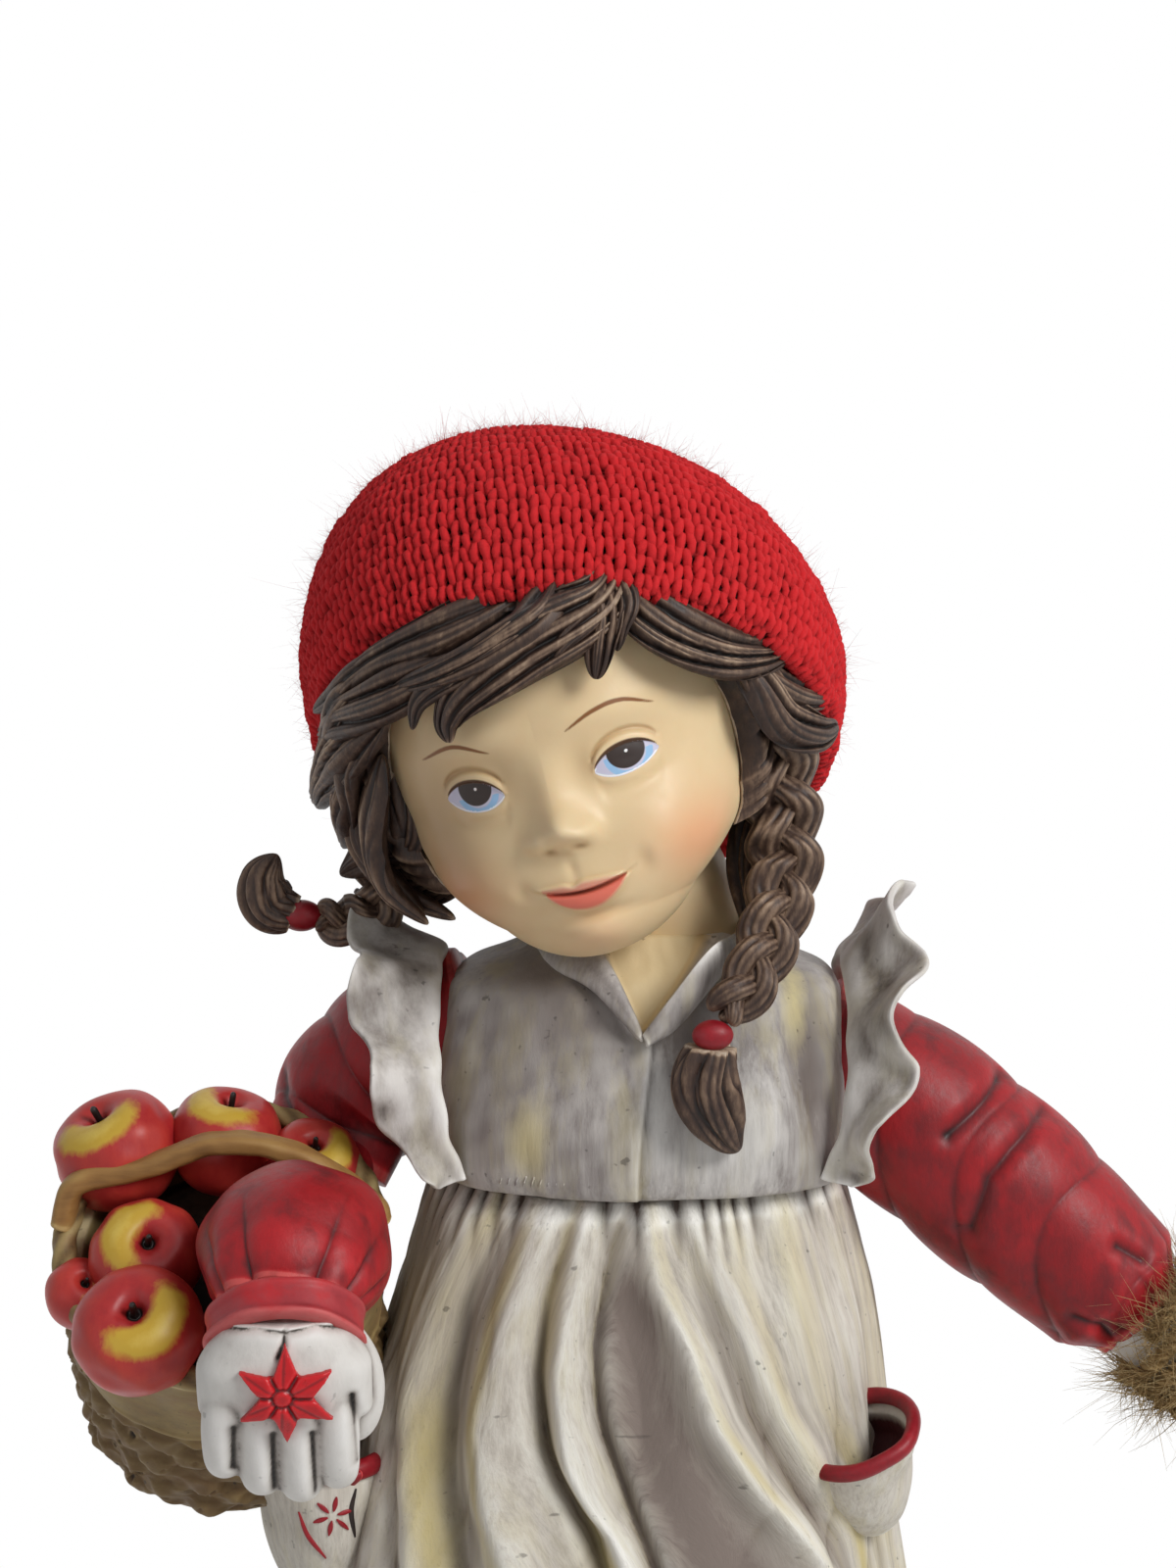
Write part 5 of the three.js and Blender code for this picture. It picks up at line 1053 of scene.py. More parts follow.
def glove_grids(spread, curl):
    """The palm, four fingers and thumb of a glove that hangs down from its wrist at the origin."""
    u, v = rounds(120, 70)
    shut = np.sqrt(1.02 - ease(0.72, 1, v) ** 2)
    wide = (7.2 + 3.4 * ease(0, 0.4, v)) * shut
    thick = (5.4 - 1.6 * ease(0.3, 1, v)) * shut
    a, b = oval(u, wide, thick, 2.2)
    knuckles = 0.5 * np.cos(1.35 * (a - 0.6)) * hump(v, 0.82, 0.2) * (b < 0)
    grids = [stack(a, b - 2.2 * np.sin(np.pi * np.minimum(1, v * 1.1)) - knuckles, -15.5 * v)]
    for x, long, lean, thick in (
        (-7.5, 7.6, -0.1, 5.0), (-3, 10.4, -0.05, 5.4), (1.7, 11.6, 0, 5.5), (6.2, 9.8, 0.05, 5.2)
    ):
        line = [
            (0.8 * x, -2.6, -6), (x, -3.0, -12), (x + lean * spread, -1.4 + 0.4 * curl, -13.5 - 0.6 * long),
            (x + 1.4 * lean * spread, 0.8 + curl, -13.5 - long)
        ]

        def finger(u, v):
            return (0.53 * thick * np.sqrt(1.01 - v ** 11) * np.cos(u),
                    0.5 * thick * np.sqrt(1.01 - v ** 9) * np.sin(u))

        grids.append(sweep(line, finger, 36, 50, (0, -1, 0)))

    def thumb(u, v):
        r = (3.3 - 0.5 * v) * np.sqrt(1.01 - v ** 7)
        return r * np.cos(u), r * np.sin(u)

    line = [(5.5, 1.5, -3), (8.6, 1.9, -8), (9.2, 2.4, -13), (8.2, 3.2, -18.5)]
    return grids + [sweep(line, thumb, 36, 50, (0, -1, 0))]


def groove(piece, stance, lines, wide, deep):
    """Presses grooves into the back of a glove, along lines of x and z in the glove's own frame."""
    mesh = piece.data
    own = carried(spots(mesh), np.linalg.inv(np.array(stance)))
    near = nearest(own[:, 0], own[:, 2], lines)
    own[:, 1] += deep * np.exp(-np.abs(near / wide) ** 1.5) * ease(-0.5, -2.5, own[:, 1])
    mesh.vertices.foreach_set("co", (carried(own, stance) * 0.001).ravel())
    mesh.update()


STAR_FROM, STAR_TO = 7.5, 7.8  # the star's middle below the wrist, in the solid and here
STAR_BIGGER = 1.06


def petals(node, name, stance):
    """The star of a glove: the cast one, with a vein down each petal and a ring at its heart."""
    star = bpy.data.objects.new(name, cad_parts[node].data.copy())
    bpy.context.collection.objects.link(star)
    recast(star, 0.16, 3)
    own = carried(spots(star.data), np.linalg.inv(np.array(stance)))
    x, z = own[:, 0], own[:, 2] + STAR_FROM
    r, a = np.hypot(x, z), np.arctan2(x, z) - math.radians(3 if "right" in name else 0)
    between = np.abs((a / (np.pi / 3)) % 1 - 0.5)
    dent = (
        0.5 * np.exp(-((0.5 - between) * r * 1.05 / 0.2) ** 2) * 0.3
        + 0.55 * np.exp(-(between * r * 1.05 / 0.28) ** 2)
    )
    dent = dent * ease(0.9, 1.6, r) + 0.4 * hump(r, 1.15, 0.28)
    own[:, 1] += dent * (own[:, 1] < -4)
    own[:, 0] *= STAR_BIGGER
    own[:, 2] = STAR_BIGGER * (own[:, 2] + STAR_FROM) - STAR_TO
    star.data.vertices.foreach_set("co", (carried(own, stance) * 0.001).ravel())
    star.data.update()
    weather(star, 0.2, 12)
    settle(star, star_red, "trim_paint", node)


def finish_glove(side, stance, stub, fingers, seams):
    """Presses a glove together from its parts, cuts its seams and finger creases, and paints it."""
    grids = [carried(grid, stance) for grid in glove_grids(*fingers)] + [carried(stub, UPPER)]
    glove = fuse(f"{side}_glove_cast", grids, 0.34, 7)
    if seams:
        groove(glove, stance, seams, 0.32, 0.8)
    groove(glove, stance, FINGER_CREASES, 0.55, 0.9)
    weather(glove, 0.42, 34)
    settle(glove, glove_white, "glove_paint", f"{side}_glove")
    petals(f"{side}_glove_star", f"{side}_star_petals", stance)


FINGER_CREASES = [
    [(-6.3, -13), (-6.6, -19)], [(-1.6, -14), (-1.7, -24)], [(3.2, -14), (3.4, -25)], [(8.2, -9), (8.6, -19)]
]
PLACKET = [(0.4, 0), (0.2, -1.6), (-0.4, -3.2)]
CUFF_SEAM = [(-7, -0.8), (-3, -0.2), (0.4, -0.6), (4, -0.2), (8, -1.4)]
right_hand = UPPER @ Matrix.Translation((WRIST[0] + 0.3, WRIST[1] - 4.6, WRIST[2] + 1.6)) @ (
    turned_by(4, "X") @ turned_by(4, "Z"))
stub = sweep(
    [(WRIST[0], WRIST[1] + 2.4, WRIST[2] + 0.4), WRIST, (WRIST[0] + 0.5, WRIST[1] - 3.4, WRIST[2] - 4.5)],
    lambda u, v: (5.8 * np.cos(u), 5.8 * np.sin(u)), 60, 20
)
finish_glove("right", right_hand, stub, (1.4, 1), [PLACKET, CUFF_SEAM])

left_along = np.array([0.82, -0.15, -0.55])
left_along /= np.linalg.norm(left_along)
turn = Vector((0, 0, -1)).rotation_difference(Vector(left_along)).to_matrix().to_4x4()
left_hand = UPPER @ Matrix.Translation(Vector(np.array(LEFT_LINE[-1]) + 14 * left_along)) @ turn
left_hand = left_hand @ turned_by(-20, "Z")
stub = sweep([tuple(np.array(LEFT_LINE[-1]) + d * left_along) for d in (-6, 5, 16)],
             lambda u, v: (6.4 * np.cos(u), 6.4 * np.sin(u)), 60, 40)
finish_glove("left", left_hand, stub, (1.6, 3), [])

# Jute binding: three-ply jute twine wound four times round the left wrist and glued. The plies
# are twisted hard, and short stiff fibres have worked out of them on all sides.
def fibres(name, roots, ways, lengths, thick, curl, seed):
    """Loose fibres: three-sided hairs that taper to a point and bend a little on their way out."""
    joints = 3
    draw = np.random.default_rng(seed)
    n = len(roots)
    ways = ways / np.linalg.norm(ways, axis=1, keepdims=True)
    bend = draw.normal(size=(n, 3))
    bend -= (bend * ways).sum(1, keepdims=True) * ways
    side = np.cross(ways, bend + 1e-6)
    side /= np.linalg.norm(side, axis=1, keepdims=True)
    rise = np.cross(side, ways)
    rows = []
    for k in range(joints + 1):
        t = k / joints
        middle = roots + ways * (lengths * t)[:, None] + bend * (curl * lengths * t * t)[:, None]
        radius = 0.5 * thick * (1 - 0.85 * t)
        for a in (0, 2.094, 4.189):
            rows.append(middle + radius[:, None] * (math.cos(a) * side + math.sin(a) * rise))
    at = np.stack(rows, 1).reshape(-1, 3)
    faces = []
    for k in range(joints):
        for a in range(3):
            b = (a + 1) % 3
            faces.append([3 * k + a, 3 * k + b, 3 * k + 3 + b, 3 * k + 3 + a])
    faces = np.array(faces)[None] + (np.arange(n) * 3 * (joints + 1))[:, None, None]
    mesh = bpy.data.meshes.new(name)
    mesh.from_pydata((at * 0.001).tolist(), [], faces.reshape(-1, 4).tolist())
    piece = show(name, mesh)
    # Each fibre is painted darker at its root and paler at its tip: painted shade where it leaves the yarn,
    # painted light further out.
    note(piece, "relief", np.tile(np.repeat(np.linspace(0.35, 1, joints + 1), 3), n))
    return piece


def yarn(name, deep, mid, pale_highlight, scale, sheen):
    """Spun fibre: streaks a few hundredths of a millimetre wide run along it and catch the light."""
    material, tree, place = bare_material(name)
    stand = add(tree, "ShaderNodeAttribute", attribute_name="relief").outputs["Fac"]
    fine = add(tree, "ShaderNodeTexNoise",
               {"Vector": place, "Scale": 1000 / scale, "Detail": 6.0, "Roughness": 0.75})
    cloud = add(tree, "ShaderNodeTexNoise", {"Vector": place, "Scale": 1000 / 9, "Detail": 2.0})
    mixed = add(tree, "ShaderNodeMath", {0: fine.outputs["Fac"], 1: 0.55, 2: stand}, operation="MULTIPLY_ADD")
    mixed = add(tree, "ShaderNodeMath", {0: cloud.outputs["Fac"], 1: 0.25, 2: mixed.outputs[0]},
                operation="MULTIPLY_ADD")
    even = add(tree, "ShaderNodeMath", {0: mixed.outputs[0], 1: 0.4}, operation="SUBTRACT")
    ramp = add(tree, "ShaderNodeValToRGB", {"Fac": even.outputs[0]})
    ramp.color_ramp.elements.new(0.5)
    for element, (position, colour) in zip(ramp.color_ramp.elements, ((0.05, deep), (0.5, mid), (1.0, pale_highlight))):
        element.position = position
        element.color = linear(colour)
    raised = add(tree, "ShaderNodeBump",
                 {"Height": fine.outputs["Fac"], "Distance": 0.00025, "Strength": 0.9})
    shader = add(tree, "ShaderNodeBsdfPrincipled", {
        "Base Color": ramp.outputs[0], "Roughness": 0.9, "Normal": raised.outputs[0],
        "Sheen Weight": sheen, "Sheen Roughness": 0.5, "Sheen Tint": linear(pale_highlight),
    })
    add(tree, "ShaderNodeOutputMaterial", {"Surface": shader.outputs[0]})
    return material


raw_jute = yarn("raw_jute_fibre", "#4a3620", "#a08050", "#d8bf8c", 0.35, 0.2)
wrist_at = np.array(LEFT_LINE[-1])
across = np.cross(left_along, [0, 0, 1.0])
across /= np.linalg.norm(across)
upward = np.cross(across, left_along)
TURNS, PITCH, WOUND = 4, 2.75, 7.87
t = np.linspace(0, 1, 1500)
a = 2 * np.pi * TURNS * t
outward = np.cos(a)[:, None] * across + np.sin(a)[:, None] * upward
coil = wrist_at + left_along * (1.3 + PITCH * TURNS * t)[:, None] + WOUND * outward
plies = []
for k in range(3):
    twist = 2 * np.pi * (38 * t + k / 3)
    way = np.cos(twist)[:, None] * outward + np.sin(twist)[:, None] * left_along
    ply = coil + 0.6 * way + 0.05 * np.sin(61 * t + 2 * k)[:, None] * way
    b = np.arange(8) / 8 * 2 * np.pi
    plies.append(
        ply[:, None] + 0.62 * (np.cos(b)[:, None] * outward[:, None] + np.sin(b)[:, None] * left_along)
    )
binding = gather("jute_binding_twine", [carried(ply, UPPER) for ply in plies])
weather(binding, 0.25, 8)
settle(binding, raw_jute, "jute", "jute_binding")
draw = np.random.default_rng(71)
hairs = 2600
pick = (len(t) * draw.uniform(0, 1, hairs) ** 1.4).astype(int)
angle = draw.uniform(-1.4, 1.4, hairs)
away = np.cos(angle)[:, None] * outward[pick] + np.sin(angle)[:, None] * left_along
roots = coil[pick] + 1.05 * away
ways = 0.5 * away + draw.normal(size=(hairs, 3)) * 0.6 - 0.3 * left_along + np.array([-0.1, 0, 0.25])
lengths = draw.gamma(3.2, 1.6, hairs).clip(1.4, 9.5)
frayed = fibres(
    "jute_loose_fibres", carried(roots, UPPER), ways, lengths, draw.uniform(0.08, 0.19, hairs), 0.3, 72
)
settle(frayed, raw_jute, "jute")

# Basket: cast in one and painted tan. Its lower half is modelled as coarse weaving with a brown
# wash rubbed in; the band under the rim is plain. A flat strap handle passes over her forearm.
BASKET_LEAN = 40  # degrees that it tips forwards
BASKET = Matrix.Translation((-55.59, -20, WAIST_Z - 6.5)) @ turned_by(BASKET_LEAN, "X")
cane_paint = resin_paint(
    "basket_tan_acrylic",
    [
        (0.0, "#0d0906"), (0.16, "#33261a"), (0.34, "#6b5635"), (0.52, "#8f7a4f"), (0.75, "#ab9666"),
        (1.0, "#c9b88c")
    ],
    grain=(3, 3, 1.4), streaky=0.35, drift=0.4, patch=12, rough=0.6, specks=0.8, tint="#7d5a3c", tinted=0.5,
    over=[("umber", "#5c4327", 0.2, 1.0, 0.8), ("pits", "#1a110a", 0.5, 1.1, 0.9)],
)
TUB_HALF, TUB_HIGH, RIM_HALF = 21.5, 36, 20.7
WEAVE_HIGH = 3.1
u, v = rounds(520, 200)
wide = TUB_HALF * (0.92 + 0.07 * ease(0, 0.1, v) - 0.01 * ease(0, 0.9, v))
z = -TUB_HIGH * (1 - v)
course = z / WEAVE_HIGH
row = np.floor(course)
woven = np.cos(13 * u + np.pi * row + 0.3 * np.sin(row * 3)) * np.abs(np.sin(np.pi * course)) ** 0.5
x, y = wide * np.cos(u), wide * np.sin(u)
pitted = ripple(x, y, z, 2.6, 81)
coarse = 0.75 * woven + 0.35 * pitted - 1.1 * ease(0.7, 1.3, pitted) + 0.3 * ripple(x, y, z, 6, 82)
plain = 0.3 * ripple(x, y, z, 9, 83) + 0.2 * hump(z, -13.5, 0.5)
band = ease(-15, -13.2, z + 0.5 * np.sin(3 * u))
out = band * plain + (1 - band) * coarse * ease(-TUB_HIGH, 3 - TUB_HIGH, z) - 0.35 * hump(z, -14.3, 0.6)
outer = stack((wide + out) * np.cos(u) - 1.4 * ease(1, 0.3, v), (wide + out) * np.sin(u), z)
s = np.linspace(0, 1, 24)[:, None]
hollow = 19.5 * (0.96 - 0.1 * s)
inner = stack(hollow * np.cos(u[:1]), hollow * np.sin(u[:1]), -9 * s)
tub = skin("basket_tub_cast", carried(np.concatenate([outer, inner]), BASKET))
weather(tub, 0.5, 18)
note(tub, "umber", 0.75 * (1 - band) + 0.3 * hump(z, -2, 3))
note(tub, "pits", (1 - band) * (ease(0.6, 1.3, pitted) + 0.5 * ease(0.5, -0.6, woven)))
settle(tub, cane_paint, "cane_paint", "basket_tub")
a = np.linspace(0, 2 * np.pi, 361)[:-1]
b = np.arange(20) / 20 * 2 * np.pi
lay = 1.6 + 0.14 * np.cos(3 * b[None] + 26 * a[:, None])
r = RIM_HALF + lay * np.cos(b)
tube = stack(r * np.cos(a)[:, None], r * np.sin(a)[:, None],
             2.02 + 0.2 * np.sin(5 * a)[:, None] + lay * np.sin(b))
rim = skin("basket_rim_cast", carried(np.concatenate([tube, tube[:1]]), BASKET), ends=False)
weather(rim, 0.25, 8)
settle(rim, cane_paint, "cane_paint", "basket_rim")
strap_tan = resin_paint(
    "strap_tan_acrylic",
    [(0.0, "#2b1c10"), (0.25, "#6b4a28"), (0.5, "#9a7240"), (0.75, "#ad8a52"), (1.0, "#c8a970")],
    grain=(9, 1.2, 1.2), streaky=0.45, drift=0.35, patch=10, rough=0.55,
)
HANDLE = BASKET @ turned_by(-BASKET_LEAN, "X")  # the handle stays upright
rise = 14.4
handle_line = [
    (-21.3, 0, 3.2), (-19, 0, 9), (-9.7, 0, rise - 3.2), (0, 0, rise), (9.7, 0, rise - 1.6),
    (19.5, 0, rise - 8), (21.3, 0, 3.2)
]
strap = sweep(
    handle_line, lambda u, v: oval(u, 1.5 + 0.12 * np.sin(9 * v), 2.4 + 0.15 * np.sin(14 * v + 1), 3), 60,
    170, (0, -1, 0)
)
strap = crumpled(strap, 0.12, [(5, 85), (4, 86), (5, 87)])
handle = skin("basket_handle_cast", carried(strap, HANDLE))
weather(handle, 0.3, 14)
settle(handle, strap_tan, "cane_paint", "basket_handle")

# Apples: modelled in a heap, each with a dimple and a dark stalk pit. Red is brushed on over
# yellow and left open round the pit, on one side more than on the other.
apple_paint = resin_paint(
    "apple_red_and_yellow_acrylic",
    [
        (0.0, "#3a0a0c"), (0.25, "#7d1a1e"), (0.45, "#a8292a"), (0.6, "#ba3a30"), (0.8, "#c24a38"),
        (1.0, "#d2705a")
    ],
    grain=(1.8, 1.8, 4), streaky=0.3, drift=0.5, patch=11, rough=0.4, bump=0.06,
    over=[
        ("yellow", "#c7a33a", 0.35, 0.75, 0.7), ("yellow", "#d9bd5c", 1.05, 1.5, 0.8),
        ("pit", "#1a1210", 0.75, 1.0, 0.5)
    ],
)
APPLE_HALF = 7.7
APPLES = [  # middle, lean, turn and size in the basket, and where round the stalk the yellow shows
    ((-8.6, -16.5, 5.8), 4, 10, 1.08, -0.9), ((-9.6, -3, 2.2), 14, 50, 0.98, 2.0),
    ((-14.6, 12.2, 4.4), -30, 50, 1.08, -2.2),
    ((-0.6, 14.6, 3.4), -34, -20, 1.0, -2.0), ((4.6, -14, -1), 30, -20, 0.9, 0.6),
    ((-18, -7.6, 0.4), 20, 90, 0.6, -1.6),
    ((11.4, 11.8, 1.4), -10, -50, 0.84, 0.2),
]
profile = through(
    [
        (0, -0.8), (0.2, -0.86), (0.5, -0.82), (0.84, -0.5), (0.99, -0.05), (0.98, 0.3), (0.84, 0.62),
        (0.6, 0.8), (0.36, 0.83), (0.2, 0.74), (0.1, 0.6), (0.06, 0.64), (0.055, 0.9), (0.03, 0.96), (0, 0.97)
    ]
)
for number, (middle, lean, turn, size, lit) in enumerate(APPLES, 1):
    u, v = rounds(120, 130)
    ring = profile(v)
    lobes = (
        1 + 0.035 * np.cos(5 * u + number) * ease(0.3, 0.9, np.abs(v - 0.35) * 2)
        + 0.02 * np.sin(2 * u + number)
    )
    r, z = APPLE_HALF * size * ring[..., 0] * lobes, APPLE_HALF * size * ring[..., 1]
    bumps = 0.16 * ripple(r * np.cos(u), r * np.sin(u), z, 5, 90 + number)
    grid = stack((r + bumps * ease(0, 2, r)) * np.cos(u), (r + bumps * ease(0, 2, r)) * np.sin(u), z)
    stance = BASKET @ Matrix.Translation(middle) @ turned_by(turn, "Z") @ turned_by(lean, "X")
    apple = skin(f"apple_{number}_cast", carried(grid, stance))
    weather(apple, 0.35, 10)
    off = np.arctan2(r / (APPLE_HALF * size), z / (APPLE_HALF * size))
    note(apple, "yellow", hump(off, 0.6, 0.3) * (0.5 + 0.85 * np.cos(u - lit)) * (v > 0.3))
    note(apple, "pit", 1.15 * ease(0.33, 0.14, off) + (v > 0.84))
    settle(apple, apple_paint, "apple_paint", f"apple_{number}")

# Head: cast with the neck and painted by hand. Ivory skin with a satin gloss and a peach blush;
# thin brows, painted eyes under a modelled lid, a button nose and a small smile.
HEAD = Matrix.Translation((-9.6, -2, WAIST_Z + 62.8)) @ (turned_by(-15.5, "Y") @ turned_by(-8, "Z"))
CHIN_Z, HEAD_HIGH, HEAD_WIDE, HEAD_DEEP = -29.2, 61, 51, 53.04
EYE_X, EYE_HALF = 10.15, 4.15
skull_rings = through([
    (0.14, 0.76, -0.42), (0.52, 0.92, -0.08), (0.765, 0.98, 0.28), (0.885, 1.0, 0.66), (0.95, 1.0, 0.92),
    (0.995, 1.01, 1.04),
    (1.0, 1.01, 1.1), (0.99, 0.99, 1.1), (0.95, 0.93, 1.03), (0.83, 0.79, 0.87), (0.58, 0.52, 0.58),
    (0.06, 0.06, 0.06),
])


def on_skull(a, z, lift, rounded=0.0):
    """A point on the skull: angle a from the front towards her left, height z, lift off the skin."""
    t = np.clip((z - CHIN_Z) / HEAD_HIGH, 0, 1)
    t = np.where(t < 1 / 11, (1 - rounded) * t + rounded * (11 * t) ** 0.55 / 11, t)
    ring = skull_rings(t)
    wide = 0.5 * HEAD_WIDE * ring[..., 0] + lift
    front, back = 0.5 * HEAD_DEEP * ring[..., 1], 0.5 * HEAD_DEEP * ring[..., 2]
    return stack(wide * np.sin(a), 0.5 * (back - front) - (0.5 * (back + front) + lift) * np.cos(a), z)


def lid_lines(x):
    """The edges of the upper and lower eyelids above the point x, and how near the eye's middle."""
    off = np.clip(np.abs((np.abs(x) - EYE_X) / EYE_HALF), 0, 1)
    lean = 0.09 * (np.abs(x) - EYE_X)
    low = np.where(x > 0, 1.62, 1.85)
    return -4.6 + lean + 2.15 * (1 - off ** 2.1) ** 0.75, -4.7 + lean - low * (1 - off ** 2.2) ** 0.8, off


def lip_lines(x):
    """Heights of the parting of the lips, the upper lip's top and the lower lip's bottom."""
    parting = -19.3 + 0.027 * (x - 0.9) ** 2
    top = parting + 1.5 * np.clip(1 - ((x - 0.5) / 6.6) ** 2, 0, 1) ** 1.1 - 0.4 * hump(x, -0.4, 0.9)
    return parting, top, parting - 2.75 * np.clip(1 - ((x - 1.2) / 5.9) ** 2, 0, 1) ** 0.85


def face_out(x, z):
    """How far the face stands out of the skull at x and z: sockets, eyes, nose, cheeks, lips, chin."""
    m = np.abs(x)

    def spot(cx, cz, rx, rz, power=2):
        return np.exp(-(np.abs((m - cx) / rx) ** 2 + np.abs((z - cz) / rz) ** 2) ** (power / 2))

    upper, lower, _ = lid_lines(x)
    eye = 1 - ease(0.8, 1.15, np.abs((m - EYE_X) / EYE_HALF))
    parting, top, bottom = lip_lines(x)
    mouth = np.clip(1 - ((x - 0.9) / 7.4) ** 2, 0, 1) ** 0.7
    forward = -2.2 * spot(10.3, -4.0, 6.4, 4.0) + 1.9 * spot(EYE_X, -4.4, 4.4, 2.9, 2.6)
    forward = forward + eye * (0.42 * ease(upper - 0.1, upper + 0.18, z) * ease(upper + 2.6, upper + 0.9, z))
    forward = forward - eye * 0.6 * hump(z, upper + 1.6, 0.45) + eye * 0.16 * hump(z, lower - 0.45, 0.5)
    forward = forward - 0.2 * eye * hump(z, lower - 2.2, 1.2) + 0.75 * spot(8.6, 2.2, 7, 2.6)
    forward = forward + 1.1 * np.exp(-((x - 0.1) / 2.8) ** 2) * hump(z, -6.2, 3.8)
    forward = forward + 4.0 * np.exp(-((x - 0.5) / 3.0) ** 2) * hump(z, -10.7, 2.7)
    forward = forward + 1.7 * spot(3.2, -11.7, 1.7, 1.5) - 0.7 * spot(2.0, -13.3, 0.9, 0.6)
    forward = forward + 1.7 * spot(13.4, -15.6, 6.4, 5.4)
    forward = forward + 1.1 * np.exp(-((x - 0.8) / 7) ** 2) * hump(z, -19.4, 3.6)
    upper_lip = ease(top + 0.25, top - 0.2, z) * ease(parting - 0.1, parting + 0.35, z)
    lower_lip = ease(bottom - 0.35, bottom + 0.5, z) * ease(parting + 0.05, parting - 0.5, z)
    full = 0.6 + 0.4 * hump(z, parting - 1.4, 1.1)
    forward = forward + mouth * (0.7 * upper_lip + 1.15 * lower_lip * full)
    forward = forward - 0.55 * mouth * hump(z, parting, 0.28) - 0.28 * hump(x, 0.1, 0.8) * hump(z, -16.4, 1.4)
    forward = forward - 0.75 * hump(z, -22.9, 0.9) * np.exp(-((x - 1) / 4.6) ** 2)
    forward = forward + 1.5 * np.exp(-((x - 0.6) / 4.8) ** 2) * hump(z, -25.4, 2.5)
    right_corner = np.exp(-((x + 7.2) ** 2 + (z + 17.9) ** 2) / 1.8)
    left_corner = 0.9 * np.exp(-((x - 9.2) ** 2 / 1.6 + (z + 17.5) ** 2 / 3.4))
    return forward - 0.45 * (right_corner + left_corner)


skin_paint = resin_paint(
    "ivory_skin_acrylic",
    [(0.0, "#a98257"), (0.22, "#cda470"), (0.42, "#e2c598"), (0.6, "#ead2a8"), (1.0, "#f3e5c8")],
    grain=(3, 3, 3), streaky=0.1, drift=0.24, patch=14, rough=0.4, bump=0.04, wax=0.14,
    over=[
        ("blush", "#e0895c", 0.0, 1.8, 0.0), ("shade", "#8a6036", 0.0, 1.6, 0.0),
        ("upper_lip", "#dd9880", 0.0, 0.6, 0.2), ("lower_lip", "#e27561", 0.0, 0.7, 0.2),
        ("parting", "#8e4632", 0.1, -0.12, 0.0),
        ("eye", "#cfccdf", -0.04, 0.04, 0.0), ("rim", "#f6f5f8", 0.16, 0.08, 0.0),
        ("blue", "#9cc4e8", 0.0, 0.3, 0.2), ("iris", "#2b1d18", 2.46, 2.34, 0.0),
        ("glint", "#fbfbf8", 0.26, 0.17, 0.0),
        ("lash", "#4c3019", 0.1, -0.08, 0.0), ("brow", "#84542c", 0.08, -0.1, 0.05),
    ],
)


def near_line(x, z, points, thick):
    """Distance from a brushed line, less half its width, which swells in the middle."""
    best = np.full(x.shape, 1e3)
    run = through(points)(np.linspace(0, 1, 60))
    for k, (px, pz) in enumerate(run):
        swell = 0.25 + 0.75 * math.sin(math.pi * k / (len(run) - 1)) ** 0.6
        best = np.minimum(best, np.hypot(x - px, z - pz) - 0.5 * thick * swell)
    return best


columns = 440
a = np.arange(columns) / columns * 2 * np.pi - np.pi
a = a + 0.62 * np.sin(a + np.pi)
z = np.r_[
    CHIN_Z + 6 * np.linspace(0, 1, 50) ** 1.6, np.linspace(CHIN_Z + 6, 4.5, 211)[1:],
    np.linspace(4.5, 30.5, 60)[1:]
]
a, z = np.meshgrid(a, z)
grid = on_skull(a, z, 0, 1.0)
facing = ease(0.1, 0.5, np.cos(a))
x = grid[..., 0]
grid[..., 1] -= face_out(x, z) * facing
face = skin("head_cast", carried(grid, HEAD))
weather(face, 0.9, 40)
upper, lower, off = lid_lines(x)
over_eye = (np.abs(np.abs(x) - EYE_X) < EYE_HALF) & (facing > 0.5)
inside = np.where(over_eye, np.minimum(upper - z, z - lower), -1)
side = np.where(x < 0, -9.9, 10.35)
parting, top, bottom = lip_lines(x)
iris = np.where(inside > 0.0, np.hypot(x - side, 1.04 * (z + 3.35)), 9)
note(face, "eye", inside)
# Painted highlight: a thin near-white line just inside the lower lid.
note(face, "rim", np.where((inside > -0.3) & (z < -4.6), np.abs(inside - 0.17), 9))
note(face, "iris", iris)
note(face, "glint", np.where(inside > 0, np.hypot(x - side - 0.1, z + 3.45), 9))
ring = 1 - np.abs(np.hypot(x - side - 0.2, z + 3.75) - 2.65) / 0.5
note(face, "blue", np.where((inside > 0.2) & (z < np.where(x > 0, -3.8, -4.6)), np.clip(ring, -1, 1), -1))
lash = np.abs(z - upper - 0.12) - 0.26 * np.sqrt(1.02 - off ** 4)
note(face, "lash", np.where((facing > 0.5) & (off < 1), lash, 9))
brow = np.minimum(near_line(x, z, [(4.0, 1.2), (8.0, 2.8), (11.6, 3.1), (15.2, 1.5)], 0.62),
                  near_line(x, z, [(-16.3, 1.5), (-11.2, 2.6), (-6.4, 0.8)], 0.6))
note(face, "brow", np.where(facing > 0.5, brow, 9))
lips = facing > 0.5
note(face, "upper_lip", np.where(lips & (z > parting - 0.1) & (np.abs(x - 0.5) < 5.2), top - z + 0.05, -1))
note(face, "lower_lip", np.where(lips & (z < parting) & (np.abs(x - 1.2) < 5.4), z - bottom, -1))
line = np.abs(z - parting + 0.1) - 0.2 * np.sqrt(np.clip(1 - ((x - 1.8) / 5.2) ** 2, 0, 1))
note(face, "parting", np.where(lips & (np.abs(x - 1.6) < 5.2), line, 9))
blush = hump(np.abs(x), 16.4, 5.4) * hump(z, -17.4, 5.4) + 0.4 * hump(x, 0.8, 4) * hump(z, -25.5, 3)
note(face, "blush", blush * facing)
shade = 0.5 * hump(np.abs(x), 5.4, 1.6) * hump(z, -3.4, 2.6) + 0.45 * hump(z, upper + 1.7, 0.5) * (off < 1)
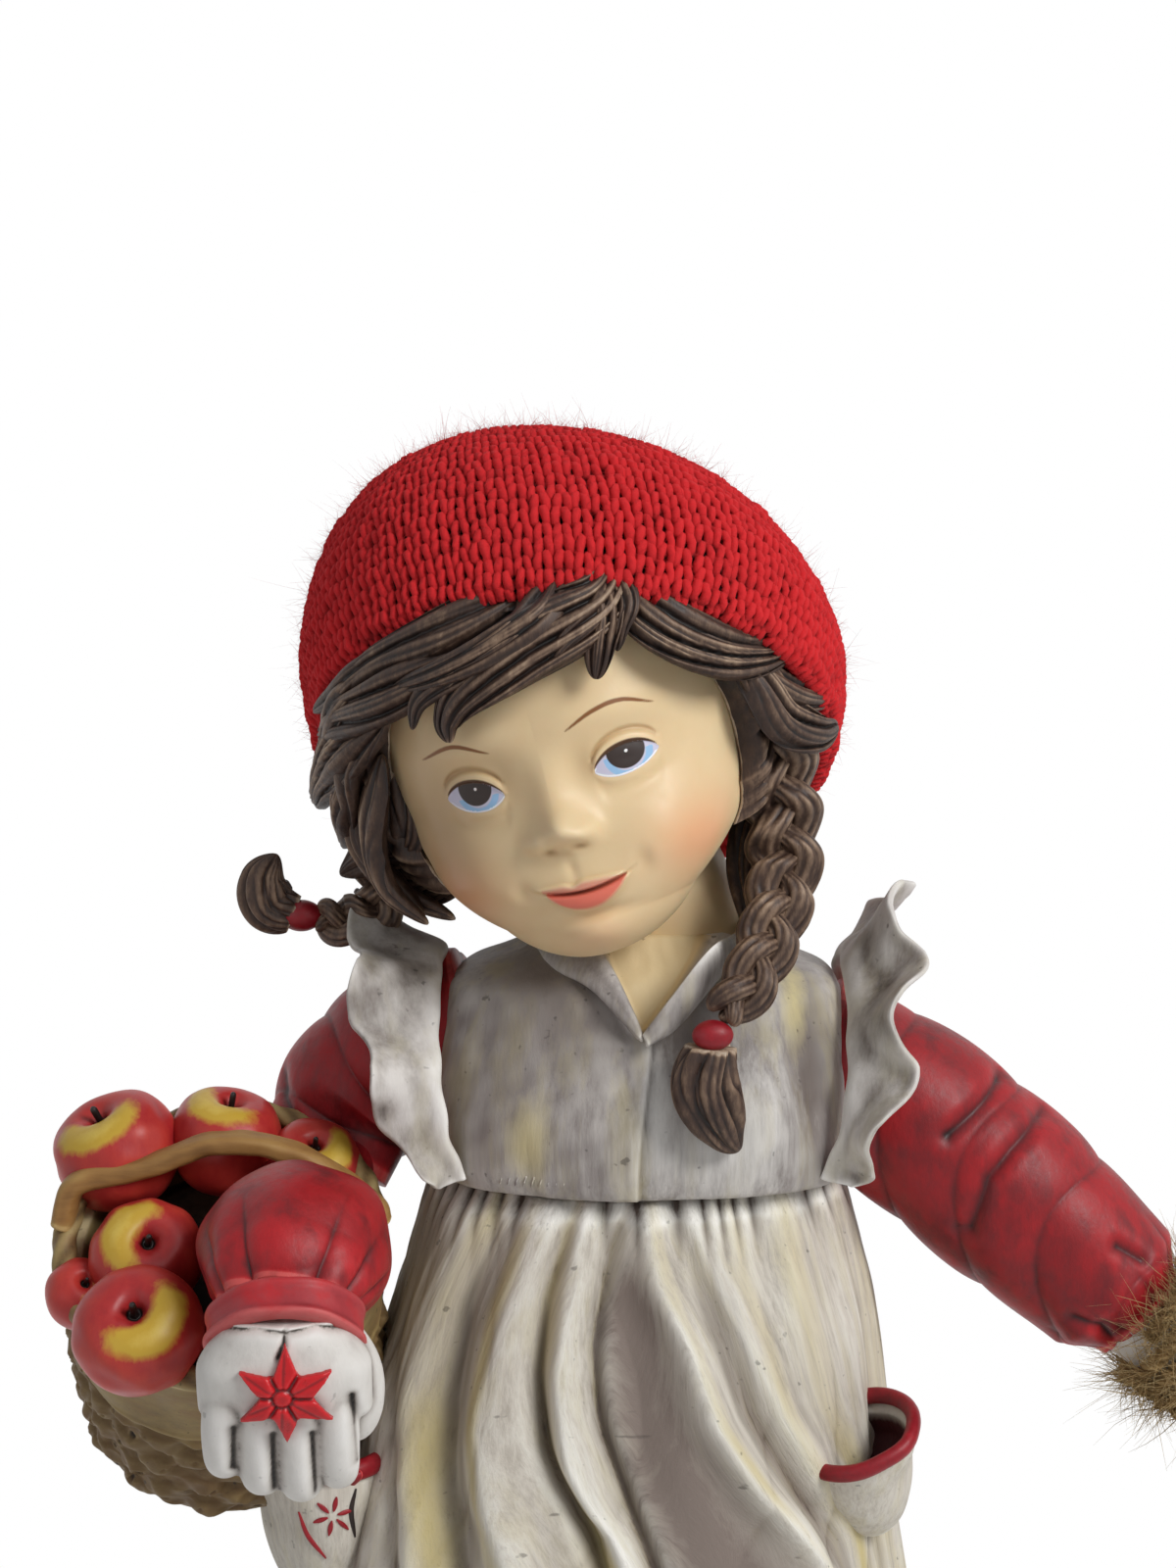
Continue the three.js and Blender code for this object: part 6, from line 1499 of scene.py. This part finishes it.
shade += 0.6 * np.exp(-((np.abs(x) - 1.9) ** 2 / 0.6 + (z + 13.4) ** 2 / 0.22))
shade += 0.35 * hump(z, bottom - 0.7, 0.6) * hump(x, 1, 4)
shade += 0.2 * np.exp(-((x - 9.2) ** 2 / 1.6 + (z + 17.6) ** 2 / 3.2))
shade += 0.3 * hump(z, -13.9, 0.7) * hump(x, 0.3, 3)
shade += 0.75 * hump(x, -17, 6) * hump(z, -8, 12)
note(face, "shade", shade * facing)
settle(face, skin_paint, "skin_paint", "head")

neck_top = (HEAD @ Vector((0.5, 4, -18.3))) - Vector((0, 0, WAIST_Z))
neck = sweep(
    [(4.2, 1, 21), (5, 1.5, 31), tuple(neck_top + Vector((1.5, 0, 0)))],
    lambda u, v: ((11 + 0.8 * hump(v, 1, 0.4)) * np.cos(u), (9 + 0.8 * hump(v, 1, 0.4)) * np.sin(u)), 90, 60,
    (0, -1, 0)
)
parts = [carried(neck, UPPER)]
for side in (-1, 1):
    u, v = rounds(60, 40)
    bow = np.sqrt(1.02 - np.abs(2 * v - 1) ** 2.4)
    shell = 1 - 0.35 * hump(np.cos(u) * side, 1, 0.5) * hump(v, 0.5, 0.25)
    ear = stack(1.7 * bow * np.cos(u) * shell, 3.6 * bow * np.sin(u), 10 * (v - 0.5))
    stance = HEAD @ Matrix.Translation((side * 25.2, 3.2, -6)) @ turned_by(24 * side, "Z")
    parts.append(carried(ear, stance))
throat = gather("neck_and_ears_cast", parts)
weather(throat, 0.5, 20)
for field in ("eye", "blue", "upper_lip", "lower_lip"):
    note(throat, field, np.full(len(throat.data.vertices), -1))
for field in ("rim", "iris", "glint", "lash", "brow", "parting"):
    note(throat, field, np.full(len(throat.data.vertices), 9))
settle(throat, skin_paint, "skin_paint", "head")

# Hair: modelled in clay with a comb-like tool, so that every lock has a few deep furrows and many
# fine ones. It is painted near black and dry-brushed with grey tan, and it lies close to the skull.
hair_brown = resin_paint(
    "hair_brown_acrylic",
    [
        (0.0, "#060403"), (0.24, "#150c09"), (0.4, "#2d1e17"), (0.54, "#4a372c"), (0.7, "#7b6452"),
        (0.85, "#a78f78"), (1.0, "#d2c2ad")
    ],
    grain=(0.9, 0.9, 3), streaky=0.5, drift=0.5, patch=5, rough=0.5, bump=0.16, level=-0.07, tint="#33211a",
    tinted=0.4,
)
u, v = rounds(700, 110)
angle = (u + np.pi) % (2 * np.pi) - np.pi
bound = np.interp(
    np.degrees(np.abs(angle)), [0, 20, 35, 50, 60, 68, 75, 90, 180],
    [17.5, 16.4, 13.4, 7.6, 1.6, -6, -13, -18.5, -19.5]
)
HAIR_TOP = 25
z = bound + (HAIR_TOP - bound) * v
flow = 0.02 * (HAIR_TOP - z) * np.sign(angle) + 0.12 * np.sin(3 * angle)
furrow = np.abs(np.sin(21 * (angle + flow) + 1.4 * np.sin(5 * angle) + 0.06 * z)) ** 0.6
comb = np.abs(np.sin(88 * (angle + flow) + 0.8 * np.sin(0.4 * z + 9 * angle)))
lift = 2.6 + 1.1 * ease(0.2, 1, np.abs(np.sin(angle))) + 0.95 * (furrow - 0.6) + 0.22 * (comb - 0.5)
lift = lift * np.sqrt(np.clip(1 - (1 - np.clip(v / 0.06, 0, 1)) ** 2, 0.02, 1))
outer = on_skull(angle, z, lift)
s = np.linspace(1, 0, 6)[:, None]
inner = on_skull(angle[:1] + 0 * s, bound[:1] + (HAIR_TOP - bound[:1]) * s, 0.25)
mass = np.concatenate([outer, inner, outer[:1]])
hair = skin("hair_mass_cast", carried(mass, HEAD), ends=False)
weather(hair, 0.55, 22)
settle(hair, hair_brown, "hair_paint", "hair")


def lock_grid(path, wide, thick, furrows, seed, across=120, along=130):
    """A lock of hair: a band that tapers to a flicked point, with furrows along its upper side."""
    draw = np.random.default_rng(seed)
    phase = draw.uniform(0, 6, 4)
    line = [tuple(on_skull(math.radians(a), z, lift + 1)) for a, z, lift in path]

    def section(u, v):
        taper = (0.55 + 0.45 * ease(0, 0.4, v)) * np.sqrt(np.clip(1.01 - v ** 2.8, 0, 1))
        taper = taper * np.sqrt(np.clip(1 - (1 - np.minimum(1, v / 0.14)) ** 2, 0.004, 1))
        place = np.cos(u)
        drift = place + 0.24 * np.sin(3.6 * v + phase[0]) + 0.25 * v * math.sin(phase[3])
        drift += 0.13 * np.sin(2.6 * place + 4.4 * v + phase[1])
        cut = 1 - np.abs(np.sin(0.5 * np.pi * furrows * drift + phase[1]))
        deep = cut ** 1.7
        bent = 1.4 * np.sin(3.4 * v + phase[3]) + 1.2 * np.sin(3.7 * place + phase[0])
        fine = (1 - np.abs(np.sin(0.5 * np.pi * furrows * 2.9 * drift + phase[2] + bent))) ** 1.5
        fine = fine * (0.3 + 0.7 * np.sin(2.2 * place + 3 * v + phase[3]) ** 2)
        upper = ease(-0.4, 0.3, np.sin(u))
        high = 0.5 * thick * taper * np.sin(u) - upper * (1.4 * deep + 0.42 * fine) * taper * thick / 4.4
        edge = 1 + 0.07 * np.sin(8 * v + phase[0]) - 0.1 * cut * ease(0.4, 1, v)
        return 0.5 * wide * taper * place * edge, high

    return sweep(line, section, across, along, lambda at: at * np.array([1, 1, 0.4]))


LOCKS = [  # angle, height and lift along the lock, width, thickness, furrows
    ([(40, 21, 1.8), (26, 16, 3.9), (4, 13, 4.2), (-12, 9.6, 3.7), (-19, 6.6, 3.4), (-20.5, 3.8, 3.2)],
     9.5, 4.6, 4),
    ([(16, 21, 0.8), (-14, 17.2, 2.8), (-38, 14.4, 3.6), (-54, 11.6, 4.4), (-66, 9.4, 5.8)], 8.6, 4.0, 3),
    ([(-4, 15, 1.4), (-34, 11.4, 4), (-58, 9, 5), (-72, 6.8, 5.6), (-80, 6.4, 7)], 7.6, 4.4, 3),
    ([(-44, 8, 1.4), (-62, 5, 4.6), (-76, 1.6, 7), (-86, -1.4, 9.6), (-91, -2, 11.6)], 8.8, 5, 4),
    ([(30, 20, 1.6), (27, 15, 3.6), (23, 11, 3.4), (20, 6.8, 2.6)], 6, 3.8, 3),
    ([(29, 21, 0.2), (39, 12.6, 2.8), (51, 6.6, 4.4), (63, 3.2, 5.4), (74, 1.8, 7.4)], 9.4, 4.8, 4),
    ([(62, 7, 1.6), (67, 0, 3.8), (73, -6, 5.4), (84, -9.6, 8.4), (94, -10.4, 11)], 8.4, 5, 3),
    ([(-66, 6, 0.4), (-79, -4, 5), (-87, -12, 6.6), (-92, -20, 6)], 9, 5.4, 4),
]
for number, (path, wide, thick, furrows) in enumerate(LOCKS, 1):
    lock = skin(f"lock_{number}_cast", carried(lock_grid(path, wide, thick, furrows, number), HEAD))
    weather(lock, 0.38, 18)
    settle(lock, hair_brown, "hair_paint", f"lock_{number}")


def tuft(line, wide, seed):
    """A brush of hair that swells along its line and ends in a point, with furrows all round."""
    phase = np.random.default_rng(seed).uniform(0, 6, 2)

    def section(u, v):
        body = 0.42 + 0.58 * np.sin(np.pi * np.minimum(1, 0.15 + 0.75 * v))
        body = body * np.sqrt(np.clip(1.006 - v ** 3.4, 0, 1))
        furrow = 1 - 0.26 * (1 - np.abs(np.sin(3 * u + phase[0] + 1.5 * v + 0.6 * np.sin(5 * v)))) ** 1.8
        furrow = furrow - 0.1 * (1 - np.abs(np.sin(8 * u + phase[1] + 1.4 * np.sin(3 * u + 4 * v)))) ** 1.5
        return 0.5 * wide * body * furrow * np.cos(u), 0.36 * wide * body * furrow * np.sin(u)

    return sweep(line, section, 120, 90, (0.2, -1, 0.1))


# Smaller wisps lie over and between the locks: some cross the fringe, some curl up at the sides.
WISPS = [
    ([(18, 21, 2.4), (4, 15.5, 5.2), (-10, 12.8, 5), (-24, 10, 4.4), (-30, 6.4, 3.6)], 4.4, 2.8, 2),
    ([(22, 21, 2.4), (12, 16.5, 5.4), (-2, 14.2, 5.8), (-16, 12.8, 5.6), (-32, 12, 4.4)], 4.8, 2.8, 2),
    ([(30, 21, 2), (26, 16, 4.6), (14, 12.4, 4.6), (8, 9.6, 3.2)], 3.6, 2.6, 2),
    ([(36, 21, 2), (33, 15.4, 4.6), (29, 12, 4), (27, 9.4, 2.8)], 3.2, 2.4, 2),
    ([(40, 18, 0.6), (50, 9.6, 4), (60, 5.8, 5.6), (72, 3.8, 6.8)], 4.6, 2.8, 2),
    ([(52, 12, 1.4), (60, 5, 3.8), (65, -1, 3.6), (66, -5, 3)], 5.4, 3.2, 3),
    ([(-36, 15, 2), (-52, 12, 5), (-66, 7, 5.8), (-76, 2, 7.4)], 5, 3.2, 3),
    ([(-50, 9, 1.4), (-63, 3, 4.6), (-71, -3, 5.6), (-79, -7, 7)], 6, 3.8, 3),
    ([(-28, 17, 2), (-46, 14.4, 4.6), (-60, 12, 5.4), (-70, 10.4, 7)], 4, 2.8, 2),
    ([(-56, 3, 0.6), (-68, -7, 4.4), (-78, -15, 6), (-86, -21, 6)], 6.4, 3.8, 3),
    ([(-60, 6, 0.6), (-72, -2, 6), (-86, -8, 8.6), (-96, -9, 11)], 5.4, 3.6, 3),
    ([(58, 8, 1), (72, -2, 5.4), (86, -5.6, 8.2), (99, -6, 10)], 5, 3.4, 2),
    ([(-66, 2, 0.4), (-84, -8, 6), (-95, -16, 7), (-102, -22, 5)], 7, 4.4, 3),
    ([(-72, -3, 0.4), (-92, -10, 6.4), (-104, -17, 8), (-112, -20, 9.4)], 6, 4, 3),
]
grids = [
    carried(lock_grid(path, wide, thick, furrows, 20 + k, 64, 80), HEAD)
    for k, (path, wide, thick, furrows) in enumerate(WISPS)
]
for line, wide, seed in (
    ([(-31.5, -9, 57), (-29.5, -8, 50), (-31, -5, 44.5), (-37.5, -1, 41.5)], 9, 41),
    ([(-27, -7, 50), (-26.5, -6, 45), (-30, -3, 41), (-37, 0, 39)], 8, 42),
    ([(-34, -6, 54), (-34.5, -5, 48), (-37, -2, 43.5), (-41, 0, 40.5)], 8, 43),
    ([(-24.5, -6, 46), (-25.5, -5, 41.5), (-30, -2, 38.6), (-36, 0, 37)], 6, 44),
    ([(20.5, -1, 57), (17.6, -2, 50), (16, -4, 43), (16.2, -8, 36), (15.6, -12, 30)], 8.5, 45),
):
    grids.append(carried(tuft(line, wide, seed), UPPER))
wisps = gather("hair_wisps_cast", grids)
weather(wisps, 0.34, 15)
settle(wisps, hair_brown, "hair_paint")

# Braids: three strands each, plaited, with fine furrows along every strand. A round red bead of
# a tie closes each one, and a loose brush of hair leaves it: up on her right, down on her left.
def plait(line, thick_top, thick_end, plaits):
    """The three strands of a braid, each going over and under the other two."""
    grids = []
    for k in range(3):
        def section(u, v, k=k):
            wide = thick_top + (thick_end - thick_top) * v
            phase = 2 * np.pi * (0.5 * plaits * v + k / 3)
            furrow = 1 - 0.09 * (1 - np.abs(np.sin(5.5 * u + 5 * v)))
            furrow = furrow - 0.14 * (1 - np.abs(np.sin(2 * u + 1.2 * np.sin(phase)))) ** 2
            r = 0.265 * wide * furrow * np.sqrt(np.clip(1.02 - v ** 30, 0, 1))
            return (
                0.25 * wide * np.sin(phase) + 0.98 * r * np.cos(u),
                0.12 * wide * np.sin(2 * phase) + 0.92 * r * np.sin(u)
            )

        grids.append(sweep(line, section, 60, 260, (0.2, -1, 0.1)))
    return grids


def beside_head(a, z, lift):
    """A point on the skull, as on_skull gives it, measured from the waist."""
    spot = HEAD @ Vector(on_skull(math.radians(a), np.array(z, float), lift))
    return (spot.x, spot.y, spot.z - WAIST_Z)


def bead(name, at, r, node):
    """A tie: a slightly flattened bead of about radius r, at a place measured from the waist."""
    u, v = rounds(64, 40)
    pole = np.pi * (v - 0.5)
    lump = 1 + 0.05 * np.sin(2 * u + 1) * np.cos(pole)
    ball = stack(
        1.1 * r * np.cos(pole) * np.cos(u) * lump, 0.9 * r * np.cos(pole) * np.sin(u) * lump,
        0.85 * r * np.sin(pole)
    )
    tie = skin(name, carried(ball, UPPER @ Matrix.Translation(at)))
    weather(tie, 0.3, 8)
    settle(tie, trim_red, "trim_paint", node)


left_line = [
    beside_head(83, -5, 2.4), (19.6, -11, 46.4), (18, -17, 38), (14.6, -23.5, 31), (10.4, -26.65, 26.3)
]
right_line = [beside_head(-84, -10, 2), (-34.5, 1, 43), (-35.5, 1.5, 36), (-40, 1.2, 33.8), (-44.6, 1, 34.2)]
for name, line, top, end, plaits in (
    ("left", left_line, 13.2, 7.4, 4.6), ("right", right_line, 11.4, 6.4, 3.2)
):
    braid = gather(f"{name}_braid_cast", [carried(strand, UPPER) for strand in plait(line, top, end, plaits)])
    weather(braid, 0.4, 18, 0.66)
    settle(braid, hair_brown, "hair_paint", f"{name}_braid")
bead("left_braid_bead", (9.4, -27.25, 24.2), 2.35, "left_braid_tie")
bead("right_braid_bead", (-46.6, 1, 34.6), 2.6, "right_braid_tie")
left_tuft = tuft([(9.2, -26.8, 22.6), (8.6, -26.4, 17), (11, -25.4, 11), (13, -24.6, 8)], 10, 61)
right_tuft = tuft([(-47.6, 1, 34.8), (-51, 0.8, 36.2), (-51.6, 0.4, 40), (-49.8, 0.2, 43.4)], 8.2, 62)
for name, grid in (("left", left_tuft), ("right", right_tuft)):
    brush = skin(f"{name}_braid_brush_cast", carried(grid, UPPER))
    weather(brush, 0.4, 16, 0.6)
    settle(brush, hair_brown, "hair_paint", f"{name}_braid_brush")

# Cap: really knitted, in stocking stitch from thick soft wool, and glued on. Each row is one
# strand whose loops hang in those of the row before; the wales run from the brim to the crown.
CAP = Matrix.Translation((-8.5, 0.5, WAIST_Z + 60)) @ turned_by(-40, "X")
CAP_WIDE, CAP_HIGH = 76.5, 37
red_wool = yarn("red_wool_yarn", "#1f0203", "#b00e15", "#dc1f25", 0.42, 0.14)


def cap_at(u, t, lift, drop=0.0):
    """A point of the cap at angle u and share t of the way from brim to crown."""
    full = np.sqrt(np.maximum(0, 1 - np.maximum(0, t) ** 2.7)) + 0.01
    full = full * (1 - 0.05 * hump(t, -0.02, 0.16))
    x, y = oval(u, (0.5 * CAP_WIDE + lift) * full, (0.525 * CAP_WIDE + lift) * full, 2.1)
    return stack(x - 8 * t * t, y - 6 * t * t, (CAP_HIGH + lift) * t - drop)


# The knit is laid out by its own length from the brim to the crown, the mean of four lines up the cap.
t = np.r_[np.linspace(0, 0.9, 300), 1 - 0.1 * np.linspace(1, 0, 400)[1:] ** 2]
lines_up = [np.diff(cap_at(k, t, -1.2), axis=0) for k in (0.3, 1.9, 3.4, 5.0)]
run = sum(np.r_[0, np.cumsum(np.linalg.norm(line, axis=1))] for line in lines_up) / 4
BRIM_ROLL = 1.7  # half as thick as the roll of the brim's edge


def knit_at(u, up, out):
    """A point of the knit, up mm from the brim's edge; below it the edge rolls in under itself."""
    share = np.interp(up, run, t)
    roll = np.clip(-up / BRIM_ROLL, 0, np.pi)
    lift = np.where(up > 0, -1.25 + out, -2.95 + (BRIM_ROLL + out) * np.cos(roll))
    return cap_at(u, share, lift, np.where(up > 0, 0, (BRIM_ROLL + out) * np.sin(roll)))


COURSE, WALES, YARN = 2.05, 88, 0.65  # a row's height, the stitches in a row, the strand's half width
steps = 11
strands, knit_light_and_shade = [], []
draw = np.random.default_rng(90)
up = -4.6
while up < run[-1] - 1.5:
    middle = cap_at(np.linspace(0, 6.28, 60), float(np.interp(max(up, 0), run, t)), -1.2)
    girth = np.linalg.norm(np.diff(middle, axis=0), axis=1).sum()
    wales = WALES
    while girth / wales < 1.75 and wales > 11:
        wales //= 2
    s = np.arange(wales * steps) / steps * 2 * np.pi
    share = (s + 1.12 * np.sin(2 * s)) / (2 * np.pi * wales)
    stitch = np.arange(wales * steps) // steps
    loose, slack, bent = draw.normal(size=(3, wales))[:, stitch]
    high = up + 1.5 * np.cos(s) + 0.2 * np.sin(0.23 * s + 2 * up) + 0.16 * loose
    proud = -0.5 * np.cos(2 * s) - 0.05 + 0.1 * slack
    turn = 2 * np.pi * share + np.pi / 2 + 0.0035 * bent + 0.004 * np.sin(1.3 * up + 0.1 * s)
    path = knit_at(turn, high, proud)
    above = knit_at(turn, high, proud + 0.1) - path
    above /= np.linalg.norm(above, axis=1, keepdims=True)
    ahead = np.roll(path, -1, 0) - np.roll(path, 1, 0)
    ahead /= np.linalg.norm(ahead, axis=1, keepdims=True)
    beside = np.cross(ahead, above)
    beside /= np.linalg.norm(beside, axis=1, keepdims=True)
    above = np.cross(beside, ahead)
    thin = (
        YARN * min(1.0, girth / wales / 2.5)
        * (1 + 0.1 * np.sin(2.3 * s + 3 * up) + 0.05 * loose)[:, None, None]
    )
    b = np.arange(6) / 6 * 2 * np.pi
    strands.append(
        path[:, None] + thin * (np.cos(b)[:, None] * beside[:, None] + np.sin(b)[:, None] * above[:, None])
    )
    # Painted light and shade: a strand is paler where its loop stands proud and on its outer side, and darker
    # on the side towards the cap.
    knit_light_and_shade.append(np.clip(0.42 + 0.8 * (proud[:, None] + 0.45 * np.sin(b)), 0, 1))
    up += COURSE
at = np.concatenate([strand.reshape(-1, 3) for strand in strands])
faces, start = [], 0
for strand in strands:
    ids = start + np.arange(strand.shape[0] * 6).reshape(-1, 6)
    nxt = np.roll(ids, -1, 0)
    faces.append(np.stack([ids, np.roll(ids, -1, 1), np.roll(nxt, -1, 1), nxt], -1).reshape(-1, 4))
    start += ids.size
mesh = bpy.data.meshes.new("cap_knit")
mesh.from_pydata((carried(at, CAP) * 0.001).tolist(), [], np.concatenate(faces).tolist())
mesh.update()
if volume(mesh) < 0:
    mesh.flip_normals()
knit = show("cap_knit", mesh)
note(knit, "relief", np.concatenate([r.ravel() for r in knit_light_and_shade]))
settle(knit, red_wool, "red_wool", "knitted_cap")

# Behind the loops the cloth is closed: its back lies on the hair, dark red between the stitches: painted
# shade, in the wool's deepest colour.
u, v = rounds(160, 60)
share = np.sin(0.5 * np.pi * v)
back = cap_at(u, share, -2.6)
lining = cap_at(u, share, -4.1)
cloth = skin("cap_cloth_back_in_shade", carried(np.concatenate([back, lining[::-1], back[:1]]), CAP), ends=False)
note(cloth, "relief", np.full(len(cloth.data.vertices), 0.0))
settle(cloth, red_wool, "red_wool")

# Soft wool always sheds a halo of fine curled hairs, a few millimetres long.
draw = np.random.default_rng(91)
hairs = 26000
where = run[-1] * draw.uniform(0, 1, hairs) ** 0.8 - 1.5
turn = draw.uniform(0, 2 * np.pi, hairs)
roots = carried(knit_at(turn, where, 0.35), CAP)
turn, where = turn + draw.normal(size=hairs) * 0.05, where + draw.normal(size=hairs) * 1.6
tips = carried(knit_at(turn, where, 1.25), CAP)
halo = fibres(
    "cap_wool_halo", roots, tips - roots, draw.gamma(2.4, 0.6, hairs).clip(0.5, 3.6),
    draw.uniform(0.035, 0.08, hairs), 0.6, 92
)
settle(halo, red_wool, "red_wool")

# Studio: a pale sweep of card under and behind the figure, one large soft lamp from the upper
# right and a weaker one from the left, as for a shop photograph. None of it is part of her.
def backdrop_rays(tree):
    """One for the rays that show the plain background: straight, mirrored and through glass."""
    path = add(tree, "ShaderNodeLightPath")
    seen = add(tree, "ShaderNodeMath", {0: path.outputs["Is Camera Ray"], 1: path.outputs["Is Glossy Ray"]},
               operation="MAXIMUM")
    return add(tree, "ShaderNodeMath", {0: seen.outputs[0], 1: path.outputs["Is Transmission Ray"]},
               operation="MAXIMUM").outputs[0]


def pale_card():
    material, tree, place = bare_material("matt_white_card")
    tooth = add(tree, "ShaderNodeTexNoise", {"Vector": place, "Scale": 1000 / 1.5, "Detail": 3.0})
    ramp = add(tree, "ShaderNodeValToRGB", {"Fac": tooth.outputs["Fac"]})
    ramp.color_ramp.elements[0].color = linear("#e9e9e8")
    ramp.color_ramp.elements[1].color = linear("#f2f2f1")
    card = add(tree, "ShaderNodeBsdfDiffuse", {"Color": ramp.outputs[0]})
    glow = add(tree, "ShaderNodeEmission", {"Color": linear("#ffffff"), "Strength": 1.0})
    mixed = add(tree, "ShaderNodeMixShader", {0: backdrop_rays(tree), 1: card.outputs[0], 2: glow.outputs[0]})
    add(tree, "ShaderNodeOutputMaterial", {"Surface": mixed.outputs[0]})
    return material


sweep_line = [(-1200, 0), (600, 0)] + [
    (600 + 400 * math.sin(a), 400 - 400 * math.cos(a)) for a in np.linspace(0.1, math.pi / 2, 12)
] + [(1000, 1800)]
card_grid = np.array([[(x, y, z) for x in (-1600, 1600)] for y, z in sweep_line], float)
card = skin("studio_card", card_grid, closed=False)
card.data.materials.append(pale_card())

world = bpy.data.worlds.new("studio_air")
bpy.context.scene.world = world
world.use_nodes = True
air = world.node_tree
air.nodes.clear()
fill = add(air, "ShaderNodeBackground", {"Color": linear("#fbfcff"), "Strength": 0.25})
white = add(air, "ShaderNodeBackground", {"Color": linear("#ffffff"), "Strength": 1.0})
both = add(air, "ShaderNodeMixShader", {0: backdrop_rays(air), 1: fill.outputs[0], 2: white.outputs[0]})
add(air, "ShaderNodeOutputWorld", {"Surface": both.outputs[0]})

for name, at, size, power in (
    ("key_lamp", (560, -500, 760), 360, 6.2), ("side_lamp", (-500, -640, 420), 420, 0.4)
):
    lamp = bpy.data.lights.new(name, "AREA")
    lamp.energy = power
    lamp.size = size * 0.001
    holder = bpy.data.objects.new(name, lamp)
    bpy.context.collection.objects.link(holder)
    holder.location = Vector(at) * 0.001
    aim = Vector((-5, 0, 215)) * 0.001 - holder.location
    holder.rotation_euler = aim.to_track_quat("-Z", "Y").to_euler()

# Camera: a phone held close, at the height of her cap and tipped down by 8 degrees, so that
# the picture ends at the pockets.
camera = bpy.data.objects.new("camera", bpy.data.cameras.new("camera"))
camera.data.sensor_width = 36
camera.data.lens = 63.33
camera.data.clip_start = 0.01
camera.location = Vector(CAMERA_AT) * 0.001
camera.rotation_euler = (math.radians(82), 0, 0)
bpy.context.collection.objects.link(camera)
scene = bpy.context.scene
scene.camera = camera
scene.view_settings.view_transform = "Standard"
